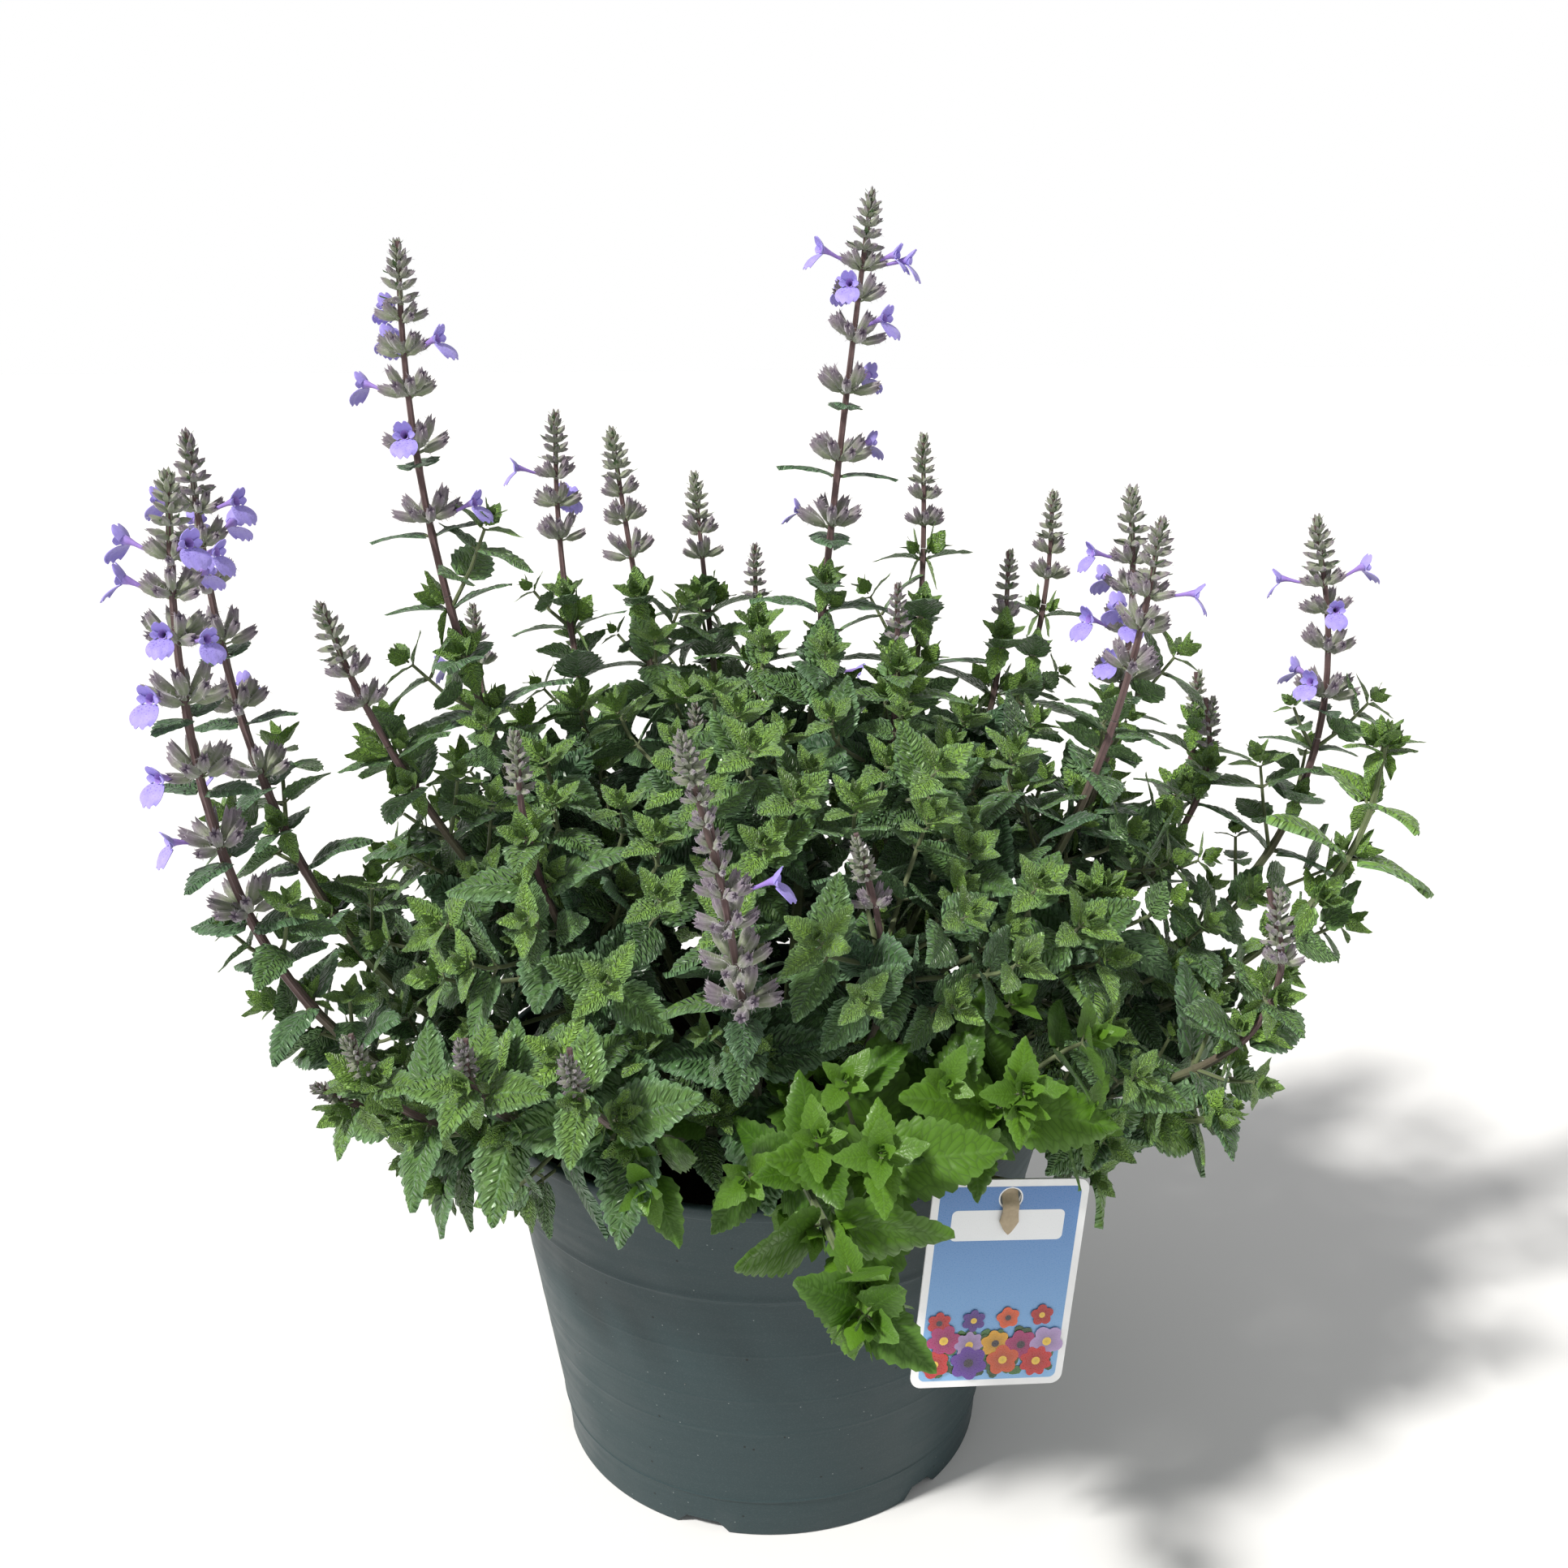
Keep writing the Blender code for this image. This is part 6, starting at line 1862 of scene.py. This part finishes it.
def fine_card(surfaces):
    """The white card, with its hole."""
    piece = Piece()
    half = CARD_WIDTH * 0.5
    outline = dense(rounded_outline(-half, half, -CARD_HEIGHT, 0.0, CARD_CORNER), OUTLINE_PITCH)

    def plain(_):
        return PLAIN_TONE

    inner = card_layer(piece, "card", outline, CARD_HOLE_RADIUS, 0.0, plain, 4)
    card_layer(piece, "card", outline, CARD_HOLE_RADIUS, -CARD_THICK, plain, 4)
    surface, back = piece.blocks[1]
    piece.blocks[1] = (surface, back[:, ::-1])
    band(piece, "card", outline, (0.0, -CARD_THICK), PLAIN_TONE)
    band(piece, "card", inner, (0.0, -CARD_THICK), PLAIN_TONE, True)
    made = piece.make("fine_label_card", surfaces, 30)
    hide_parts("label_card")


def disc_mesh(piece, x, y, radius, sides, depth, colour, wave=0.0, lobes=5, spin=0.0, dark=0.55):
    """A printed round or lobed shape, darker toward its middle."""
    turn = 2 * np.pi * np.arange(sides) / sides
    reach = radius * (1 - wave + wave * np.abs(np.cos(0.5 * lobes * (turn - spin))) ** 0.8)
    ring = np.stack([x + reach * np.cos(turn), y + reach * np.sin(turn)], -1)
    inner = (ring - (x, y)) * 0.45 + (x, y)
    flat = np.concatenate([ring, inner, [[x, y]]])
    points = card_point(flat[:, 0], flat[:, 1], depth)
    tones = np.array([ink(colour)] * sides + [ink(np.array(colour) * (0.5 + 0.5 * dark))] * sides
                     + [ink(np.array(colour) * dark)])
    blocks = [grid_faces(2, sides, True), fan_faces(2 * sides, sides, sides)]
    piece.add("print", points, blocks, print_places(flat), tones)


def fine_print(surfaces):
    """The printed face: a sky that pales downward, a bare white panel and a bed of plain garden flowers."""
    draw = random.Random(SEED + 3)
    piece = Piece()
    half = CARD_WIDTH * 0.5 - CARD_BORDER
    low = -CARD_HEIGHT + CARD_BORDER
    outline = dense(rounded_outline(-half, half, low, -CARD_BORDER, 2.4 * MM), OUTLINE_PITCH)

    def sky(flat):
        part = np.clip((flat[:, 1] - low) / (-CARD_BORDER - low), 0, 1)[:, None]
        colours = np.array(SKY_LOW) * (1 - part) + np.array(SKY_TOP) * part
        return np.concatenate([colours, np.zeros((len(flat), 1))], 1)

    card_layer(piece, "print", outline, CARD_HOLE_RADIUS + 0.5 * MM, PRINT_RISE, sky)
    band(piece, "print", outline, (PRINT_RISE, 0.0), ink(SKY_LOW))
    depth = PRINT_RISE + INK_LAYER
    wide, high = PANEL_SIZE
    panel = rounded_outline(-wide * 0.5, wide * 0.5, -PANEL_TOP - high, -PANEL_TOP, 2 * MM)
    flat = np.concatenate([panel, [panel.mean(0)]])
    piece.add("print", card_point(flat[:, 0], flat[:, 1], depth), [fan_faces(len(panel), 0, len(panel))],
              print_places(flat), ink(PANEL_WHITE))
    for _ in range(PRINTED_LEAVES):
        x = draw.uniform(-half + 2.8 * MM, half - 2.8 * MM)
        y = low + 2.8 * MM + 16.5 * MM * draw.random() ** 1.2
        depth += 0.25 * INK_LAYER
        green = np.array(GRASS) * draw.uniform(0.6, 2.0)
        disc_mesh(piece, x, y, draw.uniform(1.8, 2.7) * MM, 10, depth, green, 0.5, 2, draw.uniform(0, 3), 0.7)
    for row, (height, count, size) in enumerate(FLOWER_ROWS):
        for k in range(count):
            x = (-half + 5 * MM) + (2 * half - 10 * MM) * (k + 0.25 * (row % 2)) / (count - 0.75)
            y = low + height * MM + draw.uniform(-1.3, 1.3) * MM + (2.5 * MM if row == 0 else 0) * (k / count)
            colour = PETAL_INKS[(2 * k + 3 * row) % len(PETAL_INKS)]
            depth += 0.25 * INK_LAYER
            radius = size * draw.uniform(0.85, 1.1) * MM
            lobes = draw.choice((5, 6, 8))
            petals = np.array(colour) * draw.uniform(0.8, 1.15)
            disc_mesh(piece, x, y, radius, lobes * 6, depth, petals, 0.30, lobes, draw.uniform(0, 1), 0.45)
            depth += 0.25 * INK_LAYER
            middle = YELLOW_MIDDLE if draw.random() < 0.6 else DARK_MIDDLE
            disc_mesh(piece, x, y, radius * 0.26, 10, depth, middle, dark=0.7)
    made = piece.make("label_print", surfaces, 30)


# The strap's own section, and its half width at places along its route
STRAP_SECTION = ((-1, -0.55), (-0.88, -1), (0, -1.0), (0.88, -1), (1, -0.55), (1, 0.55), (0.88, 1), (0, 1.0),
                 (-0.88, 1), (-1, 0.55))
STRAP_WIDE_AT = (0, 0.12, 0.45, 0.8, 1.0, 8)
STRAP_WIDE = (0.05, 0.5, 1.12, 0.92, 0.96, 1.0)
STRAP_ROWS = 78
STRAP_SMOOTHING = 3


def fine_strap(surfaces):
    """The strap: a leaf-shaped tongue before the card, then through its hole and over the rim."""
    right, up, out = card_axes()
    hole = CARD_TOP - up * CARD_HOLE_DROP
    back = CARD_THICK + 1.0 * MM
    inward = Vector((-hole.x, -hole.y, 0)).normalized()
    crest = hole + inward * (Vector((hole.x, hole.y)).length - RIM_RADIUS + MM)
    crest.z = POT_HEIGHT + 1.6 * MM
    inside = crest + inward * 7 * MM
    route = [
        hole - up * STRAP_TONGUE + out * 0.9 * MM, hole - up * 2.4 * MM + out * 1.3 * MM,
        hole + up * 0.8 * MM - out * back, hole + up * 4.5 * MM - out * (back + MM),
        crest - inward * 3.0 * MM + Vector((0, 0, 1.2 * MM)), crest, inside,
        Vector((inside.x, inside.y, SOIL_TOP + 2.5 * MM)) + inward * 1.5 * MM,
    ]
    knots = np.array([tuple(point) for point in route])
    parts = np.linspace(0, len(route) - 1, STRAP_ROWS)
    points = np.stack([np.interp(parts, range(len(route)), knots[:, k]) for k in range(3)], -1)
    for _ in range(STRAP_SMOOTHING):
        points[1:-1] = 0.25 * points[:-2] + 0.5 * points[1:-1] + 0.25 * points[2:]
    half = STRAP_WIDTH * 0.5 * np.interp(parts, STRAP_WIDE_AT, STRAP_WIDE)
    ahead = unit(np.gradient(points, axis=0))
    right = np.array(right)
    thick = unit(np.cross(ahead, right)) * STRAP_THICK * 0.5
    rings = np.stack([points + right * (half * a)[:, None] + thick * b for a, b in STRAP_SECTION], 1)
    verts = np.concatenate([rings.reshape(-1, 3), points[:1], points[-1:]])
    piece = Piece()
    piece.add("strap", verts, capped(len(points), len(STRAP_SECTION)), verts * 100)
    made = piece.make("fine_label_strap", surfaces, 50)
    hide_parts("label_strap")


# Materials

class Finish:
    """A Principled material built up from procedural nodes."""

    def __init__(self, name, **sockets):
        self.material = bpy.data.materials.new(name)
        self.material.use_nodes = True
        self.tree = self.material.node_tree
        self.shader = self.tree.nodes["Principled BSDF"]
        for socket, value in sockets.items():
            self.shader.inputs[socket.replace("_", " ")].default_value = value

    def node(self, kind, sockets=(), **settings):
        """A node with its settings, its sockets fed by name or number."""
        made = self.tree.nodes.new("ShaderNode" + kind)
        for key, value in settings.items():
            setattr(made, key, value)
        for key, value in dict(sockets).items():
            self.feed(made.inputs[key], value)
        return made

    def feed(self, socket, value):
        """Link a socket to another one, or set it to a number or a colour."""
        if isinstance(value, bpy.types.NodeSocket):
            self.tree.links.new(value, socket)
        elif isinstance(value, tuple) and len(value) == 3 and socket.type == "RGBA":
            socket.default_value = (*value, 1.0)
        else:
            socket.default_value = value

    def math(self, operation, *values, clamp=False):
        return self.node("Math", enumerate(values), operation=operation, use_clamp=clamp).outputs[0]

    def times(self, *values, clamp=False):
        return self.math("MULTIPLY", *values, clamp=clamp)

    def plus(self, *values, clamp=False):
        return self.math("ADD", *values, clamp=clamp)

    def mix(self, factor, first, second):
        """Two colours mixed; the node's colour sockets are numbers 6 and 7, and its result is number 2."""
        return self.node("Mix", {0: factor, 6: first, 7: second}, data_type="RGBA").outputs[2]

    def range(self, *values):
        """A value eased between two bounds to 0 and 1, or to two values of its own."""
        return self.node("MapRange", enumerate(values), interpolation_type="SMOOTHSTEP").outputs[0]

    def place(self):
        return self.node("Attribute", attribute_name="place").outputs["Vector"]

    def tone(self):
        """The four shares of the tone attribute."""
        source = self.node("Attribute", attribute_name="tone")
        split = self.node("SeparateColor", {0: source.outputs["Color"]})
        return *split.outputs[:3], source.outputs["Alpha"]

    def axes(self, vector):
        return self.node("SeparateXYZ", {0: vector}).outputs[:3]

    def noise(self, vector, scale, detail=3.0, roughness=0.55):
        sockets = {"Vector": vector, "Scale": scale, "Detail": detail, "Roughness": roughness}
        return self.node("TexNoise", sockets).outputs[0]

    def cells(self, vector, scale, feature="DISTANCE_TO_EDGE"):
        made = self.node("TexVoronoi", {"Vector": vector, "Scale": scale}, feature=feature)
        return made.outputs["Distance"]

    def bump(self, height, strength, distance):
        made = self.node("Bump", {"Strength": strength, "Distance": distance, "Height": height})
        self.feed(self.shader.inputs["Normal"], made.outputs[0])

    def colour(self, value):
        self.feed(self.shader.inputs["Base Color"], value)

    def rough(self, value):
        self.feed(self.shader.inputs["Roughness"], value)

    def rough_over(self, noise, low, high):
        """Roughness from low to high over the middle of a noise."""
        self.rough(self.range(noise, 0.3, 0.7, low, high))


def leaf_finish(name, dark, middle, young, pale, under, relief, sheen):
    """A quilted leaf: side veins and a net of grooves darkened as painted shade, cells and rim lightened as
    painted highlight, a paler midrib and a paler underside.
    """
    made = Finish(name, Sheen_Weight=sheen, Sheen_Roughness=0.4, Sheen_Tint=(0.80, 0.95, 0.88, 1.0),
                  Specular_IOR_Level=0.25 + 0.30 * relief)
    place = made.place()
    x, y, seed = made.axes(place)
    vary, youth, edge, below = made.tone()
    gape = made.math("ABSOLUTE", y)
    run = made.math("SUBTRACT", x, made.times(gape, VEIN_SLOPE))
    phase = made.math("FRACT", run)
    off_vein = made.math("MINIMUM", phase, made.math("SUBTRACT", 1.0, phase))
    vein = made.range(off_vein, 0.0, 0.17, 1.0, 0.0)
    rib = made.range(gape, 0.0, 0.15, 1.0, 0.0)
    quilt = made.node("CombineXYZ")
    made.feed(quilt.inputs[0], made.times(run, 1.9))
    made.feed(quilt.inputs[1], made.times(y, 1.35))
    made.feed(quilt.inputs[2], seed)
    cell = made.cells(quilt.outputs[0], 1.0)
    groove = made.range(cell, 0.0, 0.13, 1.0, 0.0)
    mottle = made.noise(place, 0.9, 4.0)
    base = made.mix(made.times(made.plus(vary, mottle), 0.60, clamp=True), dark, middle)
    base = made.mix(youth, base, young)
    # painted highlight: the raised cells lightened toward the pale green
    base = made.mix(made.range(cell, 0.10, 0.42, 0.0, 0.18), base, pale)
    # painted shade: the grooves of the net and the sunken side veins darkened toward the dark green
    shade = made.math("MAXIMUM", made.times(groove, 0.55), made.times(vein, 0.28))
    base = made.mix(shade, base, made.mix(youth, dark, tuple(0.45 * part for part in young)))
    base = made.mix(made.times(rib, 0.30), base, pale)
    # painted highlight: the rim lightened toward the pale green
    base = made.mix(made.times(edge, 0.42), base, pale)
    back = made.mix(made.times(youth, 0.85), under, young)
    base = made.mix(made.times(below, 0.72), base, back)
    made.colour(base)
    made.rough(made.range(made.plus(groove, mottle), 0.2, 1.6, 0.34, 0.60))
    height = made.math("SUBTRACT", made.range(cell, 0.0, 0.36), made.times(vein, 0.3))
    made.bump(height, relief, 0.0014)
    return made.material


def stem_finish():
    """Green below and purple-brown above, streaked and finely fuzzy."""
    made = Finish("stem_fuzzy", Sheen_Weight=0.35, Sheen_Roughness=0.5, Sheen_Tint=(0.85, 0.85, 0.85, 1.0),
                  Specular_IOR_Level=0.3)
    place = made.place()
    vary, purple, _, _ = made.tone()
    streak = made.noise(place, 5.0, 4.0)
    green = made.mix(streak, (0.085, 0.130, 0.050), (0.165, 0.205, 0.085))
    brown = made.mix(streak, (0.062, 0.034, 0.036), (0.150, 0.090, 0.088))
    made.colour(made.mix(made.plus(purple, made.times(vary, 0.15), clamp=True), green, brown))
    made.rough_over(streak, 0.5, 0.72)
    made.bump(made.noise(place, 34.0, 3.0), 0.35, 0.0002)
    return made.material


def calyx_finish():
    """Green at the base, grey-purple above, with paler ribs and painted shade darkening the inside of the
    mouth.
    """
    made = Finish("calyx_fuzzy", Sheen_Weight=0.55, Sheen_Roughness=0.4, Sheen_Tint=(0.86, 0.82, 0.92, 1.0),
                  Specular_IOR_Level=0.25)
    place = made.place()
    vary, along, rib, _ = made.tone()
    speck = made.noise(place, 3.0, 4.0)
    green = made.mix(speck, (0.130, 0.175, 0.085), (0.350, 0.400, 0.260))
    purple = made.mix(speck, (0.070, 0.046, 0.072), (0.300, 0.250, 0.310))
    share = made.range(made.plus(along, made.times(vary, 0.6)), 0.45, 1.35)
    base = made.mix(share, green, purple)
    base = made.mix(made.times(rib, 0.30), base, (0.48, 0.44, 0.46))
    # painted shade: the inside of the mouth darkened toward dark purple
    base = made.mix(made.range(along, 1.15, 1.4, 0.0, 0.8), base, (0.060, 0.034, 0.080))
    made.colour(base)
    made.rough_over(speck, 0.6, 0.8)
    made.bump(made.noise(place, 9.0, 3.0), 0.5, 0.0002)
    return made.material


def corolla_finish():
    """Lavender lips on a more purple tube, with violet spots on the lower lip."""
    made = Finish("corolla_lilac", Sheen_Weight=0.2, Specular_IOR_Level=0.3)
    place = made.place()
    vary, along, spots, _ = made.tone()
    wash = made.noise(place, 0.9, 3.0)
    tube_colour = made.mix(wash, (0.26, 0.15, 0.50), (0.36, 0.24, 0.62))
    lip = made.mix(wash, (0.27, 0.22, 0.66), (0.45, 0.39, 0.86))
    base = made.mix(made.range(along, 0.4, 0.8), tube_colour, lip)
    base = made.mix(made.times(vary, 0.22), base, (0.22, 0.15, 0.60))
    dots = made.times(made.range(made.cells(place, 2.6, "F1"), 0.22, 0.34, 1.0, 0.0), spots)
    made.colour(made.mix(made.times(dots, 0.75), base, (0.12, 0.05, 0.38)))
    made.rough_over(wash, 0.45, 0.62)
    made.bump(made.noise(place, 2.2, 4.0), 0.4, 0.0004)
    return made.material


def hair_finish():
    made = Finish("pale_hair", Specular_IOR_Level=0.3)
    made.colour(made.mix(made.noise(made.place(), 8.0), (0.44, 0.41, 0.43), (0.66, 0.64, 0.66)))
    made.rough(0.7)
    return made.material


def pot_finish():
    """Slate-green recycled plastic: cloudy, finely speckled, rubbed and scuffed."""
    made = Finish("slate_plastic", Specular_IOR_Level=0.32)
    place = made.place()
    cloud = made.noise(place, 0.35, 4.0)
    base = made.mix(cloud, (0.017, 0.034, 0.038), (0.030, 0.053, 0.058))
    fine = made.noise(place, 16.0, 2.0)
    base = made.mix(made.range(fine, 0.45, 0.75, 0.0, 0.16), base, (0.09, 0.125, 0.125))
    dark_specks = made.range(made.cells(place, 1.15, "F1"), 0.045, 0.075, 1.0, 0.0)
    pale_specks = made.range(made.cells(place, 1.9, "F1"), 0.035, 0.060, 1.0, 0.0)
    base = made.mix(made.times(dark_specks, 0.85), base, (0.006, 0.008, 0.008))
    base = made.mix(made.times(pale_specks, 0.55), base, (0.30, 0.34, 0.33))
    x, y, z = made.axes(place)
    flat = made.node("CombineXYZ")
    made.feed(flat.inputs[0], made.times(x, 0.25))
    made.feed(flat.inputs[1], made.times(y, 0.25))
    made.feed(flat.inputs[2], made.times(z, 3.0))
    drawn = made.noise(flat.outputs[0], 1.0, 4.0)
    base = made.mix(made.range(drawn, 0.58, 0.85, 0.0, 0.15), base, (0.09, 0.125, 0.125))
    made.colour(base)
    made.rough(made.range(made.plus(cloud, made.times(drawn, 0.6)), 0.5, 1.1, 0.40, 0.60))
    made.bump(made.plus(made.times(drawn, 0.25), made.times(fine, 0.2)), 0.20, 0.0003)
    return made.material


def soil_finish():
    made = Finish("dark_compost", Specular_IOR_Level=0.2)
    place = made.place()
    coarse = made.noise(place, 2.5, 6.0, 0.7)
    base = made.mix(coarse, (0.004, 0.003, 0.0025), (0.026, 0.018, 0.013))
    fibres = made.range(made.cells(place, 5.0, "F1"), 0.08, 0.16, 1.0, 0.0)
    made.colour(made.mix(made.times(fibres, 0.35), base, (0.12, 0.085, 0.05)))
    made.rough_over(coarse, 0.85, 1.0)
    made.bump(coarse, 1.0, 0.0012)
    return made.material


def card_finish():
    made = Finish("card_white", Specular_IOR_Level=0.5, Coat_Weight=0.25, Coat_Roughness=0.2)
    cloud = made.noise(made.place(), 1.2, 4.0)
    made.colour(made.mix(cloud, (0.74, 0.75, 0.76), (0.86, 0.87, 0.88)))
    made.rough_over(cloud, 0.28, 0.42)
    made.bump(made.noise(made.place(), 9.0, 2.0), 0.08, 0.0002)
    return made.material


def print_finish():
    """Printing ink whose colour each point carries, with the grain of the paper."""
    made = Finish("card_print", Specular_IOR_Level=0.5, Coat_Weight=0.25, Coat_Roughness=0.2)
    tone = made.node("Attribute", attribute_name="tone").outputs["Color"]
    grain = made.noise(made.place(), 22.0, 2.0)
    made.colour(made.mix(made.range(grain, 0.3, 0.7, 0.0, 0.06), tone, (0.70, 0.74, 0.78)))
    made.rough_over(grain, 0.26, 0.38)
    return made.material


def strap_finish():
    made = Finish("tan_strap", Specular_IOR_Level=0.35)
    place = made.place()
    grain = made.noise(place, 7.0, 4.0)
    made.colour(made.mix(grain, (0.30, 0.235, 0.150), (0.52, 0.43, 0.30)))
    made.rough_over(grain, 0.45, 0.65)
    made.bump(grain, 0.4, 0.0003)
    return made.material


def floor_finish():
    made = Finish("pale_floor", Specular_IOR_Level=0.2)
    where = made.node("NewGeometry").outputs["Position"]
    cloud = made.noise(where, 3.0, 3.0)
    made.colour(made.mix(cloud, (0.83, 0.83, 0.83), (0.86, 0.86, 0.86)))
    made.rough_over(cloud, 0.85, 0.95)
    return made.material


# Studio

CAMERA_PLACE = (0.0, -0.587, 0.460)
CAMERA_PITCH = math.radians(17.5)
CAMERA_YAW = math.radians(-0.65)
CAMERA_ROLL = math.radians(-0.30)
SENSOR = 36.0
LENS = 1976 / 1932 * SENSOR
CLIP_START = 0.01
FLOOR_HALF = 8.0
KEY_LIGHT = 4.0
KEY_COLOUR = (1.0, 0.975, 0.93)
KEY_SOFTNESS = math.radians(7)
KEY_FROM = (-0.62, -0.42, 0.85)

# The world is at full strength up to the first height of a direction and SKY_LIGHT above the second
SKY_FADE = (0.16, 0.45)
SKY_LIGHT = 0.38


def turn_about(angle, axis):
    return Matrix.Rotation(angle, 4, axis)


def studio():
    """A pale floor, a soft key sun from the upper left, a world brightest near the horizon, the camera."""
    size = FLOOR_HALF
    mesh = bpy.data.meshes.new("floor")
    mesh.from_pydata([(-size, -size, 0), (size, -size, 0), (size, size, 0), (-size, size, 0)], [],
                     [(0, 1, 2, 3)])
    mesh.materials.append(floor_finish())
    floor = placed("floor", mesh)
    sun = bpy.data.lights.new("key", "SUN")
    sun.energy = KEY_LIGHT
    sun.angle = KEY_SOFTNESS
    sun.color = KEY_COLOUR
    placed("key", sun).rotation_euler = Vector(KEY_FROM).to_track_quat("Z", "Y").to_euler()
    world = bpy.data.worlds.new("studio")
    world.use_nodes = True
    tree = world.node_tree
    direction = tree.nodes.new("ShaderNodeTexCoord")
    split = tree.nodes.new("ShaderNodeSeparateXYZ")
    fade = tree.nodes.new("ShaderNodeMapRange")
    tree.links.new(direction.outputs["Generated"], split.inputs[0])
    tree.links.new(split.outputs[2], fade.inputs[0])
    for socket, value in zip(fade.inputs[1:5], (*SKY_FADE, 1.0, SKY_LIGHT)):
        socket.default_value = value
    tree.links.new(fade.outputs[0], tree.nodes["Background"].inputs["Strength"])
    tree.nodes["Background"].inputs["Color"].default_value = (1.0, 1.0, 1.0, 1.0)
    bpy.context.scene.world = world
    bpy.context.scene.view_settings.view_transform = "Standard"
    data = bpy.data.cameras.new("camera")
    data.lens = LENS
    data.sensor_width = SENSOR
    data.clip_start = CLIP_START
    camera = placed("camera", data)
    camera.matrix_world = (
        Matrix.Translation(CAMERA_PLACE) @ turn_about(CAMERA_YAW, "Z")
        @ turn_about(math.pi / 2 - CAMERA_PITCH, "X") @ turn_about(CAMERA_ROLL, "Z"))
    bpy.context.scene.camera = camera


SURFACES = {
    LEAF: leaf_finish("leaf_green", (0.012, 0.044, 0.018), (0.048, 0.138, 0.052), (0.270, 0.500, 0.045),
                      (0.205, 0.360, 0.220), (0.135, 0.250, 0.125), 1.00, 0.14),
    # painted shade: the low front shoots' smooth green is darkened for the shade that falls on them
    YOUNG: leaf_finish("young_green", (0.014, 0.050, 0.003), (0.036, 0.105, 0.006), (0.090, 0.205, 0.012),
                       (0.115, 0.225, 0.050), (0.075, 0.165, 0.022), 0.12, 0.04),
    STEM: stem_finish(),
    CALYX: calyx_finish(),
    COROLLA: corolla_finish(),
    HAIR: hair_finish(),
    "pot": pot_finish(),
    "soil": soil_finish(),
    "card": card_finish(),
    "print": print_finish(),
    "strap": strap_finish(),
}

studio()
nodes, routes = grow()
bounds = Bounds()
crowd = Crowd()
for organs in nodes.values():
    for organ in organs:
        crowd.add(organ)
pieces = {name: dress_node(name, organs, routes[name.split("_", 1)[1]]) for name, organs in nodes.items()}
fill_dome({name.split("_", 1)[1]: piece for name, piece in pieces.items() if name.startswith("spray_")})
for name, piece in pieces.items():
    made = piece.make("fine_" + name, SURFACES)
    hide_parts(name)
fine_pot(SURFACES)
fine_soil(SURFACES)
fine_card(SURFACES)
fine_print(SURFACES)
fine_strap(SURFACES)
